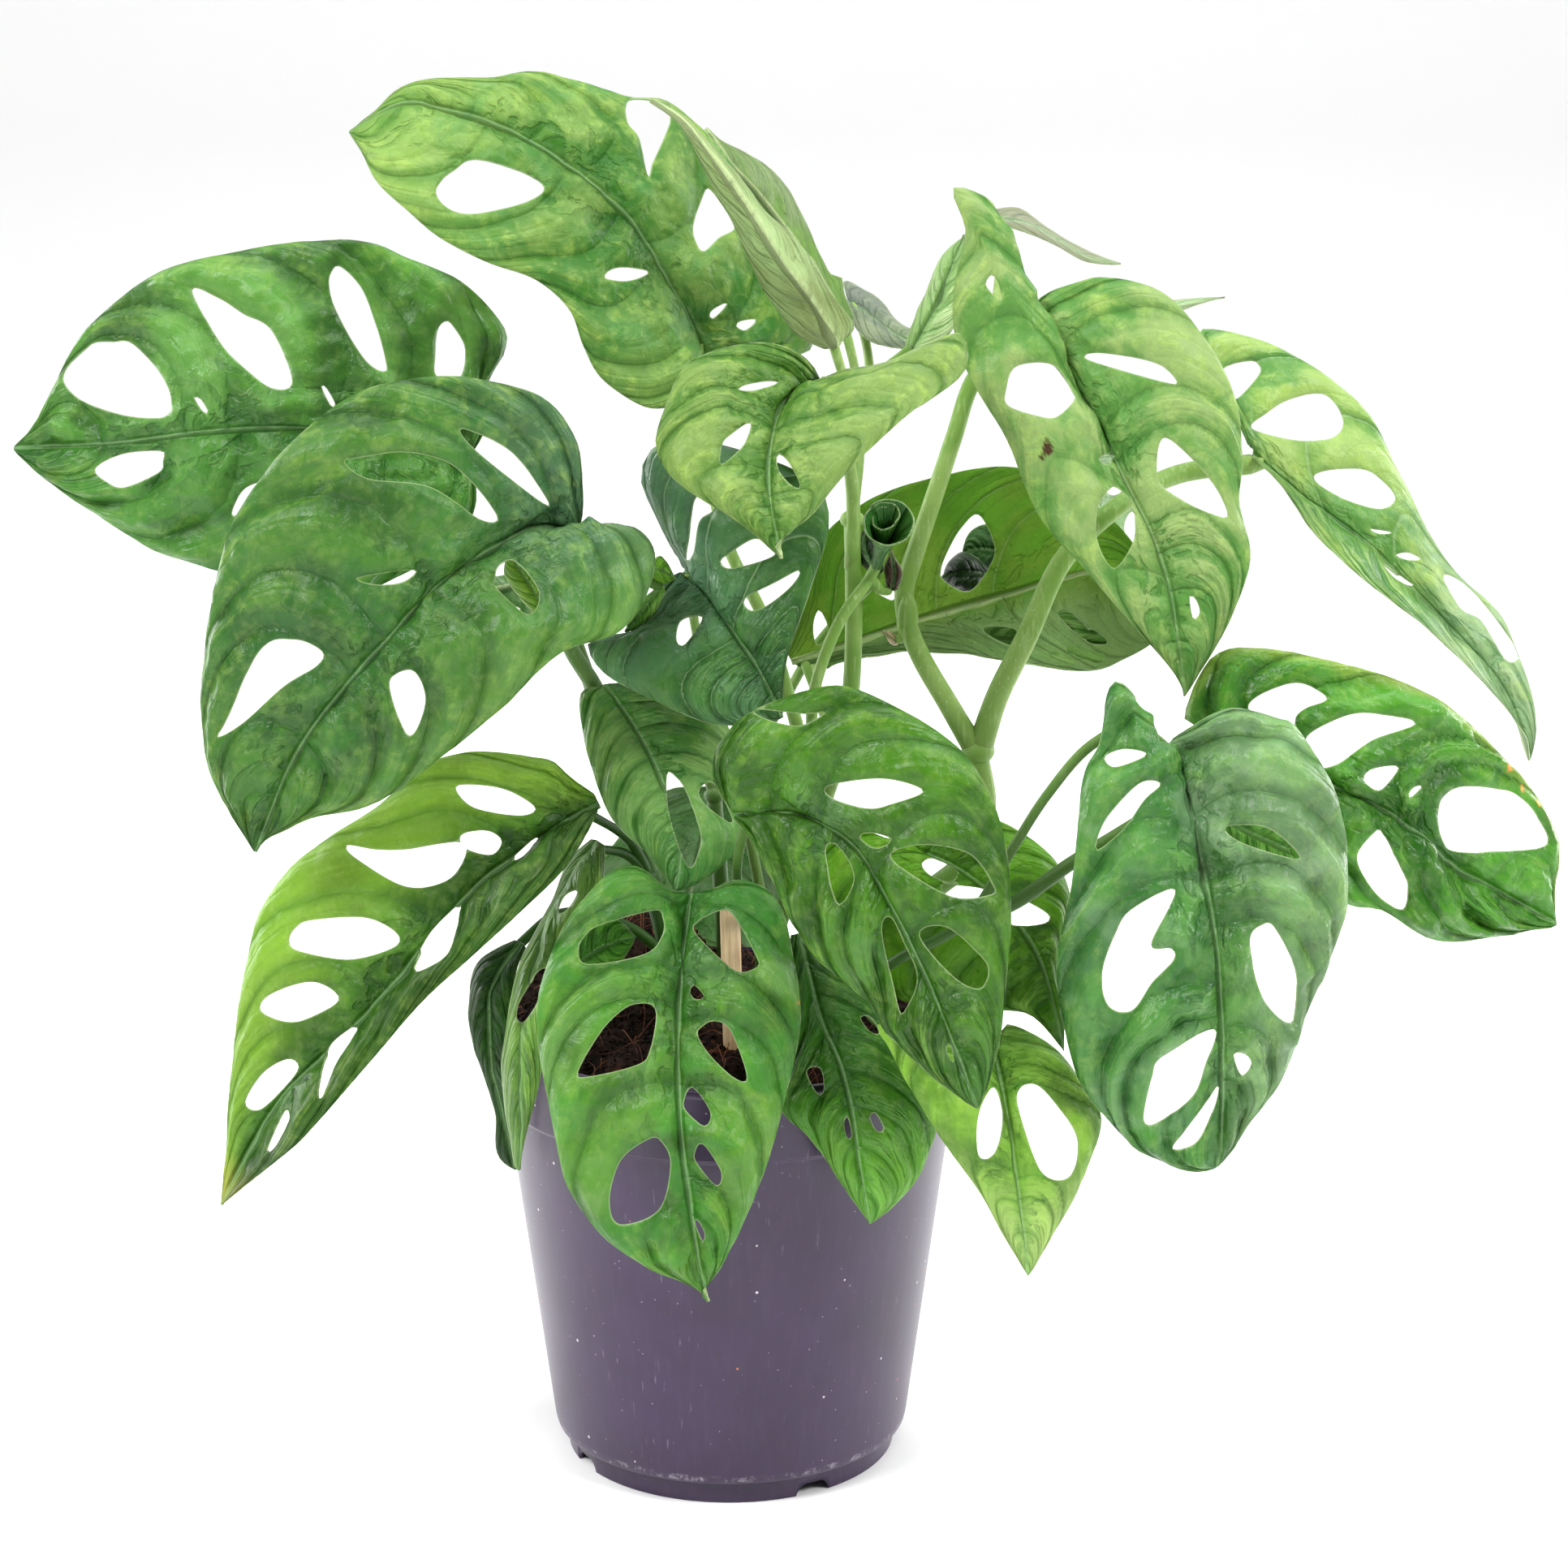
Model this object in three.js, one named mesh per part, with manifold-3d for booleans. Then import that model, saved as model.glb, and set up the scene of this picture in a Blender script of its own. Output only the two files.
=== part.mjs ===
// A young swiss-cheese vine in a 12 cm grower's pot, in millimetres, +Z up.
// The origin is under the middle of the whole plant, on the surface that the pot
// stands on, and -Y is the side that the photograph shows. Inside the group, the
// pot's own axis is at zero.
import * as THREE from 'three';
import { mergeVertices } from 'three/addons/utils/BufferGeometryUtils.js';
import Module from 'manifold-3d';

const wasm = await Module();
wasm.setup();

// Driving dimensions of the pot and what fills it.
const potHeight = 115;
const potRimRadius = 60;
const potFootRadius = 45.4;
const potWall = 1.3;
const rimBandHeight = 19;
const rimStep = 1.2;
const footHeight = 6.5;
const footRecess = 2.9;
const floorThickness = 1.8;
const drainAngles = [30, 120, 210, 300];
const drainNotchWidth = 9;
const drainNotchHeight = 3.4;
const drainHoleRadius = 4;
const gap = 0.4;
const soilEdgeHeight = 109;
const soilMound = 13;
const soilHeaps = [[18, -24, 14, 17, 18], [8, -45, 12, 14, 18]];
const soilHeave = 1.6;
const stakeWidth = 5;
const stakeDepth = 3.6;

// Driving dimensions of the plant.
const bladeHalfThickness = 0.36;
const ribHalfThickness = 0.75;
const stalkSides = 5;
const vineSides = 6;
const bladeRows = 7;
const lobedRows = 11;
const bladeSideCells = 2;
const bladeEnd = 0.985;
const seatShare = 0.2;
const holeSides = 6;
const smallestHole = 22;
const cutterReach = 7;

// Every leaf and stalk is placed by pixel coordinates (u, v) of the 1932 px square
// photograph and a depth in millimetres: 0 is the plane through the pot's axis,
// and less is nearer. This is the camera that took it, worked out from the pot.
const view = { x: 13.9, y: -824.2, z: 380.4, pitch: 13.97, focal: 4176, centre: 966 };
const pitchSine = Math.sin(THREE.MathUtils.degToRad(view.pitch));
const pitchCosine = Math.cos(THREE.MathUtils.degToRad(view.pitch));

function place(u, v, depth) {
  const across = (u - view.centre) / view.focal;
  const up = (view.centre - v) / view.focal;
  const along = pitchCosine + up * pitchSine;
  const reach = (depth - view.y) / along;
  return new THREE.Vector3(
    view.x + across * reach,
    depth,
    view.z + (up * pitchCosine - pitchSine) * reach,
  );
}

// One entry for a leaf. rib, left and right run from the stalk to the tip, and holes
// are closed loops. depth runs along the rib, lean is how much deeper each margin lies
// than the rib at its widest, and arch is how far each half bulges toward the viewer.
// stalk runs from the vine toward the leaf. A lobed leaf has a waisted or notched
// margin, which takes more rows across it.
const leaves = {
  "leaf_top_left": {
    "vine": "centre",
    "rib": [[868, 440], [845, 385], [810, 320], [760, 255], [680, 190], [590, 145], [500, 127], [428, 161]],
    "left": [[866, 446], [850, 488], [818, 503], [785, 497], [740, 465], [718, 425], [700, 380], [660, 345],
             [600, 323], [545, 295], [500, 258], [465, 225], [445, 187], [428, 161]],
    "right": [[905, 442], [955, 440], [1000, 428], [985, 375], [955, 300], [915, 225], [865, 160], [820, 125],
              [772, 119], [700, 97], [655, 88], [600, 97], [530, 97], [490, 111], [460, 140], [428, 161]],
    "holes": [
      [[537, 238], [545, 222], [560, 210], [585, 197], [640, 212], [671, 232], [640, 252], [580, 264], [550, 256]],
      [[776, 124], [820, 130], [825, 147], [820, 165], [803, 202], [797, 218], [787, 172], [773, 150]],
      [[873, 232], [864, 247], [856, 270], [854, 290], [865, 310], [885, 293], [905, 280], [890, 255]],
      [[745, 343], [752, 333], [770, 330], [800, 335], [775, 346]],
      [[875, 390], [878, 382], [895, 373], [892, 380], [880, 392]],
      [[907, 402], [912, 396], [932, 394], [918, 407]],
    ],
    "lobed": 1, "depth": [0, -6, -14], "lean": [-20, 26], "arch": 2,
    "stalk": [[1010, 1000, 5], [975, 870, 2], [940, 760, -1], [900, 680, 0], [880, 610, 4], [872, 520, 7]],
  },
  "leaf_top_folded": {
    "vine": "centre",
    "rib": [[1030, 428], [1000, 370], [960, 320], [930, 270], [900, 225], [870, 185], [840, 150], [800, 123]],
    "left": [[1016, 430], [985, 415], [960, 385], [940, 355], [920, 315], [905, 280], [886, 245], [860, 195],
             [835, 150], [800, 123]],
    "right": [[1048, 412], [1052, 398], [1030, 370], [1012, 345], [993, 310], [965, 280], [945, 262], [925, 235],
              [900, 205], [870, 170], [840, 140], [800, 123]],
    "holes": [],
    "depth": [-14, -20, -24], "lean": [12, 15], "arch": -1,
    "stalk": [[1050, 640, -4], [1052, 560, -6], [1045, 490, -8]],
  },
  "leaf_top_behind": {
    "vine": "centre",
    "rib": [[1042, 400], [1010, 340], [970, 285], [935, 240], [900, 200], [868, 158]],
    "left": [[1030, 404], [985, 370], [950, 320], [915, 270], [885, 215], [868, 158]],
    "right": [[1052, 392], [1040, 362], [1037, 342], [1022, 335], [1000, 290], [975, 240], [955, 212], [925, 192],
              [890, 174], [868, 158]],
    "holes": [],
    "depth": [18, 26, 32], "lean": [6, 10], "arch": 2,
    "stalk": [[1050, 640, -4], [1060, 540, 4], [1054, 460, 12]],
  },
  "leaf_top_edge": {
    "vine": "centre",
    "rib": [[1046, 372], [1075, 390], [1105, 410], [1145, 428]],
    "left": [[1042, 362], [1040, 346], [1060, 354], [1085, 370], [1105, 395], [1130, 410], [1145, 428]],
    "right": [[1048, 392], [1060, 412], [1080, 424], [1120, 430], [1145, 428]],
    "holes": [],
    "depth": [34, 32, 24], "lean": [26, -14], "arch": 1,
    "stalk": [[1060, 540, 4], [1072, 470, 22], [1064, 410, 32]],
  },
  "leaf_centre_top": {
    "vine": "centre",
    "rib": [[1005, 470], [968, 492], [950, 545], [948, 610], [963, 690]],
    "left": [[1010, 466], [1000, 450], [985, 435], [965, 427], [930, 422], [890, 430], [860, 440], [840, 455],
             [820, 500], [808, 545], [823, 582], [860, 612], [920, 650], [963, 690]],
    "right": [[1015, 472], [1040, 456], [1100, 445], [1180, 412], [1190, 455], [1150, 490], [1120, 510], [1070, 555],
              [1045, 580], [1020, 610], [1000, 635], [957, 668], [963, 690]],
    "holes": [
      [[910, 480], [920, 474], [945, 470], [958, 472], [930, 481]],
      [[888, 572], [890, 548], [898, 538], [924, 521], [918, 545], [905, 560]],
      [[957, 563], [963, 561], [975, 575], [986, 600], [975, 598], [960, 580]],
    ],
    "depth": [-22, -52, -66], "lean": [4, 10], "arch": 3,
    "stalk": [[1050, 700, -4], [1050, 600, -8], [1035, 530, -14]],
  },
  "leaf_right_top": {
    "vine": "right",
    "rib": [[1280, 425], [1310, 460], [1345, 510], [1370, 560], [1395, 610], [1420, 660], [1440, 720], [1450, 780],
            [1460, 860]],
    "left": [[1276, 405], [1262, 365], [1240, 328], [1228, 300], [1226, 258], [1213, 242], [1173, 232],
             [1190, 285], [1176, 350], [1176, 410], [1195, 465], [1240, 540], [1280, 635], [1340, 705],
             [1400, 775], [1448, 830], [1460, 860]],
    "right": [[1278, 405], [1272, 380], [1290, 362], [1320, 350], [1365, 342], [1430, 360], [1480, 410], [1520, 485],
              [1530, 560], [1527, 620], [1540, 690], [1510, 775], [1480, 825], [1460, 860]],
    "holes": [
      [[1222, 339], [1215, 352], [1233, 370], [1230, 350]],
      [[1240, 480], [1252, 452], [1297, 450], [1322, 485], [1322, 495], [1303, 513], [1285, 514], [1243, 500]],
      [[1338, 437], [1365, 436], [1425, 448], [1450, 470], [1435, 471], [1348, 446]],
      [[1433, 540], [1470, 567], [1500, 605], [1512, 636], [1490, 632], [1455, 615], [1427, 590]],
      [[1354, 566], [1362, 560], [1372, 562], [1365, 573]],
      [[1368, 602], [1378, 602], [1393, 618], [1398, 640], [1395, 670], [1372, 700], [1352, 665], [1353, 625]],
      [[1466, 735], [1474, 740], [1478, 755], [1470, 762]],
    ],
    "lobed": 1, "depth": [-8, -24, -34], "lean": [8, 8], "arch": 3,
    "stalk": [[1205, 930, -5], [1170, 870, -5], [1135, 810, -3], [1118, 768, 0], [1114, 730, 2], [1125, 690, 4],
              [1150, 615, 6], [1175, 540, 8], [1200, 468, 9], [1240, 425, 6]],
  },
  "leaf_far_right": {
    "vine": "right",
    "rib": [[1545, 560], [1610, 615], [1690, 675], [1770, 755], [1850, 845], [1887, 938]],
    "left": [[1548, 568], [1580, 600], [1630, 670], [1720, 745], [1780, 795], [1845, 860], [1880, 905], [1887, 938]],
    "right": [[1536, 545], [1515, 500], [1490, 450], [1478, 407], [1540, 416], [1590, 436], [1640, 468], [1690, 515],
              [1720, 575], [1762, 660], [1800, 712], [1850, 760], [1885, 850], [1893, 900], [1887, 938]],
    "holes": [
      [[1507, 455], [1540, 445], [1551, 450], [1551, 462], [1523, 492], [1517, 478]],
      [[1542, 528], [1560, 510], [1590, 492], [1632, 487], [1655, 518], [1640, 540], [1590, 542]],
      [[1620, 592], [1630, 581], [1675, 578], [1700, 590], [1719, 614], [1700, 627], [1655, 615]],
      [[1688, 652], [1715, 656], [1700, 658]],
      [[1704, 693], [1727, 710], [1742, 722], [1718, 712]],
      [[1720, 684], [1735, 681], [1750, 689], [1735, 690]],
      [[1778, 713], [1790, 711], [1820, 735], [1868, 798], [1870, 812], [1855, 812], [1825, 765], [1800, 750]],
    ],
    "depth": [12, 10, -4], "lean": [-16, 20], "arch": 2,
    "stalk": [[1205, 930, -5], [1228, 860, -6], [1265, 785, -7], [1310, 690, -4], [1370, 630, 2], [1450, 585, 14]],
  },
  "leaf_right_mid": {
    "vine": "front",
    "rib": [[1548, 940], [1600, 948], [1640, 967], [1720, 1005], [1800, 1070], [1850, 1100], [1919, 1139]],
    "left": [[1556, 952], [1570, 1010], [1600, 1070], [1655, 1110], [1700, 1120], [1770, 1158], [1850, 1152],
             [1900, 1145], [1919, 1139]],
    "right": [[1540, 928], [1500, 900], [1462, 890], [1465, 865], [1500, 805], [1560, 800], [1640, 815],
              [1740, 845], [1820, 900], [1880, 965], [1915, 1020], [1919, 1050], [1915, 1125], [1919, 1139]],
    "holes": [
      [[1538, 873], [1555, 855], [1600, 842], [1635, 860], [1610, 872], [1597, 882], [1592, 897], [1570, 885]],
      [[1612, 925], [1613, 905], [1660, 882], [1700, 881], [1740, 893], [1690, 912], [1650, 940], [1625, 945]],
      [[1680, 960], [1690, 948], [1722, 945], [1707, 968], [1695, 973]],
      [[1735, 978], [1742, 970], [1752, 969], [1738, 982]],
      [[1773, 995], [1795, 971], [1840, 972], [1870, 982], [1905, 1030], [1895, 1045], [1850, 1048], [1785, 1046]],
      [[1672, 1057], [1693, 1026], [1702, 1028], [1725, 1070], [1735, 1095], [1727, 1120], [1695, 1100]],
    ],
    "depth": [-30, -34, -14], "lean": [-6, 12], "arch": 3,
    "stalk": [[1190, 1135, -49], [1250, 1112, -50], [1318, 1065, -49], [1390, 1020, -44], [1460, 975, -34]],
  },
  "leaf_right_front": {
    "vine": "front",
    "rib": [[1437, 918], [1455, 960], [1470, 1010], [1485, 1080], [1497, 1150], [1503, 1220], [1507, 1350],
            [1500, 1440]],
    "left": [[1428, 912], [1405, 893], [1398, 860], [1380, 840], [1366, 850], [1355, 915], [1335, 960], [1322, 1080],
             [1303, 1190], [1315, 1280], [1340, 1345], [1400, 1415], [1460, 1440], [1500, 1440]],
    "right": [[1448, 912], [1470, 895], [1520, 873], [1575, 885], [1600, 900], [1650, 990], [1655, 1130],
              [1610, 1245], [1580, 1325], [1535, 1390], [1500, 1440]],
    "holes": [
      [[1361, 935], [1370, 927], [1390, 923], [1412, 930], [1375, 945]],
      [[1352, 1047], [1355, 1025], [1370, 1000], [1405, 965], [1430, 966], [1410, 985], [1385, 1020]],
      [[1358, 1200], [1375, 1150], [1395, 1120], [1448, 1097], [1418, 1163], [1443, 1168], [1445, 1182],
       [1420, 1210], [1395, 1243], [1367, 1240]],
      [[1540, 1160], [1555, 1140], [1570, 1143], [1594, 1195], [1590, 1258], [1555, 1228]],
      [[1510, 1020], [1545, 1017], [1570, 1025], [1600, 1053], [1590, 1057], [1530, 1038]],
      [[1410, 1378], [1420, 1325], [1432, 1300], [1495, 1267], [1485, 1310], [1470, 1350], [1430, 1380]],
      [[1445, 1415], [1465, 1385], [1500, 1340], [1497, 1360], [1475, 1405]],
      [[1520, 1298], [1533, 1297], [1541, 1310], [1530, 1325]],
    ],
    "depth": [-60, -72, -64], "lean": [6, 8], "arch": 3,
    "stalk": [[928, 1400, -18], [985, 1330, -18], [1055, 1220, -30], [1110, 1180, -44], [1190, 1135, -49],
              [1245, 1050, -50], [1290, 980, -52], [1345, 918, -54], [1400, 895, -56]],
  },
  "leaf_centre_back": {
    "vine": "centre",
    "rib": [[975, 815], [1040, 795], [1120, 768], [1180, 750], [1250, 730], [1300, 715], [1360, 710], [1430, 785]],
    "left": [[970, 805], [978, 782], [990, 750], [1010, 670], [1042, 635], [1100, 603], [1200, 578], [1260, 577],
             [1300, 590], [1370, 640], [1410, 695], [1430, 785]],
    "right": [[985, 822], [1030, 812], [1110, 798], [1180, 800], [1240, 813], [1290, 818], [1350, 824], [1400, 805],
              [1430, 785]],
    "holes": [
      [[1160, 700], [1170, 675], [1185, 650], [1205, 634], [1223, 665], [1223, 690], [1195, 728], [1163, 715]],
      [[1003, 785], [1003, 765], [1010, 752], [1020, 775], [1010, 795]],
      [[1077, 727], [1100, 727], [1100, 740]],
      [[1212, 773], [1250, 775], [1250, 795], [1222, 785]],
      [[1303, 757], [1315, 752], [1340, 775], [1335, 787]],
      [[1337, 785], [1345, 775], [1365, 792], [1345, 793]],
    ],
    "depth": [18, 22, 26], "lean": [4, 8], "arch": -3,
    "stalk": [[1034, 926, 2], [1015, 880, 12]],
  },
  "leaf_centre_dark": {
    "vine": "centre",
    "rib": [[842, 703], [870, 730], [905, 780], [935, 825], [965, 885]],
    "left": [[834, 706], [820, 716], [795, 750], [770, 785], [725, 793], [745, 830], [800, 860], [870, 890],
             [930, 893], [965, 885]],
    "right": [[840, 690], [822, 664], [790, 590], [808, 548], [850, 540], [930, 560], [1000, 590], [1020, 625],
              [1018, 665], [995, 735], [975, 790], [965, 840], [965, 885]],
    "holes": [
      [[846, 690], [850, 660], [857, 615], [880, 600], [880, 627], [862, 642], [855, 680]],
      [[888, 692], [900, 682], [932, 664], [955, 683], [903, 700]],
      [[918, 738], [955, 718], [985, 703], [975, 722], [945, 746], [925, 752]],
      [[834, 790], [836, 770], [845, 762], [864, 760], [862, 770], [843, 795]],
    ],
    "lobed": 1, "depth": [-22, -40, -48], "lean": [-2, 6], "arch": 2,
    "stalk": [[950, 1170, 8], [925, 1040, 0], [890, 900, -8], [862, 800, -12]],
  },
  "leaf_centre_low": {
    "vine": "left",
    "rib": [[745, 842], [785, 900], [815, 960], [838, 1030], [832, 1098]],
    "left": [[736, 846], [715, 855], [718, 900], [730, 950], [755, 1010], [795, 1050], [832, 1098]],
    "right": [[755, 842], [805, 842], [880, 872], [912, 935], [922, 1000], [905, 1050], [862, 1088], [832, 1098]],
    "holes": [
      [[822, 955], [832, 957], [845, 975], [861, 1020], [862, 1045], [848, 1068], [825, 1005]],
      [[862, 972], [880, 966], [902, 1010], [892, 1010], [866, 988]],
    ],
    "depth": [-28, -40, -50], "lean": [2, 6], "arch": 1,
    "stalk": [[800, 1080, -14], [778, 980, -21], [758, 900, -24]],
  },
  "leaf_front_right": {
    "vine": "front",
    "rib": [[905, 1003], [985, 1003], [1050, 1040], [1095, 1110], [1150, 1225], [1205, 1368]],
    "left": [[905, 1010], [935, 1050], [965, 1110], [985, 1150], [1010, 1185], [1070, 1235], [1100, 1280],
             [1160, 1335], [1205, 1368]],
    "right": [[898, 992], [885, 975], [880, 930], [920, 880], [1000, 850], [1058, 850], [1160, 905], [1210, 960],
              [1238, 1040], [1245, 1120], [1242, 1180], [1230, 1290], [1205, 1368]],
    "holes": [
      [[1018, 970], [1060, 961], [1100, 961], [1137, 975], [1100, 990], [1070, 996], [1030, 985]],
      [[1060, 1032], [1072, 1026], [1098, 1034], [1080, 1045]],
      [[1098, 1052], [1140, 1041], [1195, 1053], [1222, 1090], [1220, 1102], [1175, 1105], [1120, 1075]],
      [[1018, 1050], [1028, 1040], [1045, 1060], [1052, 1085], [1040, 1110], [1030, 1108]],
      [[1087, 1150], [1097, 1130], [1115, 1165], [1130, 1205], [1117, 1241], [1108, 1240]],
      [[1133, 1152], [1165, 1142], [1205, 1175], [1217, 1195], [1207, 1218], [1175, 1203]],
      [[1166, 1290], [1172, 1288], [1176, 1308], [1170, 1305]],
      [[930, 874], [990, 880], [1017, 878], [985, 894], [945, 886]],
    ],
    "lobed": 1, "depth": [-68, -84, -88], "lean": [4, 8], "arch": 3,
    "stalk": [[928, 1400, -18], [932, 1330, -16], [936, 1180, -20], [908, 1080, -48]],
  },
  "leaf_front_centre": {
    "vine": "front",
    "rib": [[852, 1100], [840, 1200], [836, 1300], [840, 1400], [850, 1480], [862, 1560], [875, 1604]],
    "left": [[842, 1100], [820, 1098], [790, 1070], [770, 1068], [745, 1080], [690, 1150], [662, 1250], [680, 1375],
             [700, 1460], [745, 1525], [805, 1565], [850, 1583], [875, 1604]],
    "right": [[862, 1099], [885, 1094], [910, 1085], [950, 1100], [972, 1150], [985, 1260], [960, 1380],
              [930, 1475], [890, 1555], [866, 1594], [875, 1604]],
    "holes": [
      [[713, 1170], [722, 1152], [740, 1140], [805, 1122], [816, 1130], [817, 1150], [795, 1175], [725, 1188]],
      [[858, 1150], [862, 1135], [890, 1122], [905, 1130], [932, 1180], [932, 1192], [905, 1195]],
      [[712, 1322], [735, 1280], [755, 1255], [780, 1238], [808, 1243], [800, 1295], [785, 1312], [728, 1326]],
      [[850, 1222], [855, 1214], [868, 1228], [858, 1232]],
      [[860, 1275], [865, 1265], [880, 1258], [900, 1270], [920, 1327], [905, 1328], [875, 1300]],
      [[843, 1355], [853, 1340], [875, 1370], [868, 1387], [845, 1368]],
      [[856, 1422], [866, 1409], [888, 1443], [883, 1461], [860, 1435]],
      [[752, 1480], [765, 1430], [800, 1403], [815, 1407], [826, 1435], [812, 1490], [765, 1508]],
      [[856, 1506], [860, 1504], [868, 1518], [866, 1529]],
    ],
    "depth": [-52, -77, -82], "lean": [4, 5], "arch": 3,
    "stalk": [[928, 1400, -18], [885, 1350, -20], [850, 1290, -26], [846, 1200, -36]],
  },
  "leaf_left_low": {
    "vine": "left",
    "rib": [[738, 990], [700, 1010], [650, 1045], [600, 1080], [560, 1120], [510, 1180], [460, 1240], [400, 1300],
            [350, 1350], [310, 1410], [271, 1487]],
    "left": [[736, 1000], [700, 1065], [640, 1125], [580, 1180], [520, 1235], [455, 1310], [385, 1390], [360, 1415],
             [300, 1463], [271, 1487]],
    "right": [[732, 978], [700, 955], [680, 938], [650, 932], [578, 927], [520, 945], [460, 998], [400, 1035],
              [350, 1080], [315, 1140], [292, 1260], [283, 1350], [277, 1440], [271, 1487]],
    "holes": [
      [[563, 975], [570, 967], [620, 972], [659, 995], [640, 1005], [585, 995]],
      [[568, 1030], [585, 1024], [605, 1025], [618, 1037], [605, 1053], [573, 1045]],
      [[428, 1042], [460, 1047], [500, 1047], [565, 1038], [573, 1055], [550, 1085], [500, 1092], [440, 1058]],
      [[632, 1058], [655, 1036], [663, 1033], [645, 1053]],
      [[357, 1160], [365, 1143], [385, 1134], [450, 1131], [489, 1150], [485, 1167], [430, 1182], [370, 1172]],
      [[511, 1188], [530, 1150], [562, 1118], [567, 1122], [552, 1175], [518, 1196]],
      [[321, 1245], [335, 1225], [385, 1210], [418, 1230], [385, 1252], [355, 1259]],
      [[393, 1348], [402, 1300], [415, 1280], [440, 1266], [415, 1310], [398, 1350]],
      [[304, 1357], [325, 1322], [355, 1305], [368, 1315], [350, 1340], [320, 1367]],
      [[330, 1417], [345, 1380], [353, 1367], [356, 1380], [340, 1412]],
    ],
    "depth": [-38, -52, -36], "lean": [-14, 18], "arch": 3,
    "stalk": [[800, 1080, -14], [775, 1035, -24]],
  },
  "leaf_low_right": {
    "vine": "front",
    "rib": [[985, 1150], [1010, 1250], [1035, 1310], [1050, 1370], [1060, 1440], [1072, 1510]],
    "left": [[975, 1152], [970, 1200], [980, 1260], [965, 1340], [965, 1370], [1000, 1405], [1045, 1470],
             [1072, 1510]],
    "right": [[996, 1152], [1020, 1180], [1070, 1220], [1120, 1270], [1150, 1340], [1152, 1400], [1120, 1465],
              [1072, 1510]],
    "holes": [
      [[994, 1320], [1010, 1316], [1015, 1340], [1008, 1348]],
      [[1060, 1254], [1072, 1254], [1083, 1274], [1070, 1270]],
      [[1040, 1385], [1044, 1376], [1050, 1400], [1044, 1402]],
      [[1072, 1376], [1078, 1371], [1088, 1390], [1080, 1393]],
    ],
    "depth": [-48, -60, -63], "lean": [1, 8], "arch": 2,
    "stalk": [[928, 1400, -18], [950, 1320, -22], [972, 1220, -36]],
  },
  "leaf_low_far_right": {
    "vine": "right",
    "rib": [[1225, 1290], [1235, 1340], [1245, 1400], [1252, 1450], [1260, 1510], [1267, 1574]],
    "left": [[1215, 1282], [1150, 1262], [1082, 1262], [1095, 1290], [1115, 1330], [1160, 1402], [1205, 1465],
             [1245, 1535], [1267, 1574]],
    "right": [[1234, 1280], [1244, 1262], [1300, 1292], [1330, 1330], [1357, 1380], [1330, 1460], [1295, 1525],
              [1267, 1574]],
    "holes": [
      [[1203, 1390], [1210, 1360], [1225, 1340], [1235, 1375], [1225, 1420], [1207, 1425]],
      [[1255, 1365], [1258, 1340], [1278, 1337], [1300, 1360], [1327, 1405], [1317, 1450], [1283, 1443]],
    ],
    "depth": [-58, -70, -66], "lean": [-3, 10], "arch": 2,
    "stalk": [[1045, 1210, 3], [1085, 1262, -20], [1150, 1275, -46]],
  },
  "leaf_behind_right": {
    "vine": "right",
    "rib": [[1110, 1040], [1180, 1070], [1240, 1120], [1285, 1190], [1312, 1297]],
    "left": [[1104, 1046], [1060, 1022], [1018, 1040], [1002, 1100], [1030, 1165], [1090, 1222], [1150, 1240],
             [1215, 1244], [1270, 1250], [1312, 1297]],
    "right": [[1116, 1032], [1150, 1005], [1225, 1010], [1290, 1050], [1318, 1105], [1303, 1180], [1310, 1250],
              [1312, 1297]],
    "holes": [
      [[1246, 1105], [1290, 1126], [1285, 1138], [1245, 1138]],
      [[1160, 1092], [1190, 1092], [1216, 1098], [1200, 1112], [1172, 1106]],
      [[1136, 1064], [1152, 1058], [1180, 1074], [1170, 1086], [1146, 1078]],
    ],
    "depth": [-30, -34, -36], "lean": [4, 8], "arch": 2,
    "stalk": [[1075, 1170, 2], [1095, 1100, -14]],
  },
  "leaf_left_rim": {
    "vine": "left",
    "rib": [[640, 1160], [606, 1220], [604, 1300], [618, 1370], [635, 1443]],
    "left": [[634, 1158], [590, 1185], [578, 1240], [585, 1290], [610, 1370], [612, 1420], [635, 1443]],
    "right": [[648, 1168], [636, 1200], [630, 1260], [628, 1330], [632, 1390], [635, 1443]],
    "holes": [],
    "depth": [-34, -34, -30], "lean": [4, -5], "arch": 1,
    "stalk": [[825, 1180, -11], [770, 1140, -20], [690, 1125, -28]],
  },
  "leaf_left_narrow": {
    "vine": "left",
    "rib": [[735, 1035], [700, 1085], [668, 1150], [645, 1250], [640, 1340], [640, 1443]],
    "left": [[728, 1034], [700, 1062], [680, 1110], [640, 1190], [622, 1280], [620, 1340], [633, 1430], [640, 1443]],
    "right": [[745, 1042], [740, 1095], [700, 1150], [675, 1220], [667, 1320], [648, 1400], [640, 1443]],
    "holes": [
      [[637, 1255], [640, 1235], [660, 1200], [675, 1196], [662, 1235], [645, 1259]],
      [[688, 1125], [695, 1105], [712, 1098], [700, 1120]],
    ],
    "depth": [-34, -50, -54], "lean": [8, -5], "arch": 2,
    "stalk": [[800, 1080, -14], [770, 1052, -23]],
  },
  "leaf_left": {
    "vine": "left",
    "rib": [[575, 562], [480, 538], [385, 526], [260, 531], [150, 545], [15, 552]],
    "left": [[582, 572], [580, 640], [500, 705], [400, 742], [330, 730], [268, 703], [200, 680], [150, 655],
             [110, 627], [50, 585], [15, 552]],
    "right": [[584, 554], [600, 520], [600, 475], [622, 432], [618, 400], [570, 348], [500, 317], [460, 300],
              [400, 296], [280, 313], [200, 335], [140, 375], [95, 425], [50, 510], [35, 535], [15, 552]],
    "holes": [
      [[80, 462], [110, 427], [140, 422], [165, 425], [205, 470], [210, 508], [185, 515], [140, 508], [95, 490]],
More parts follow.
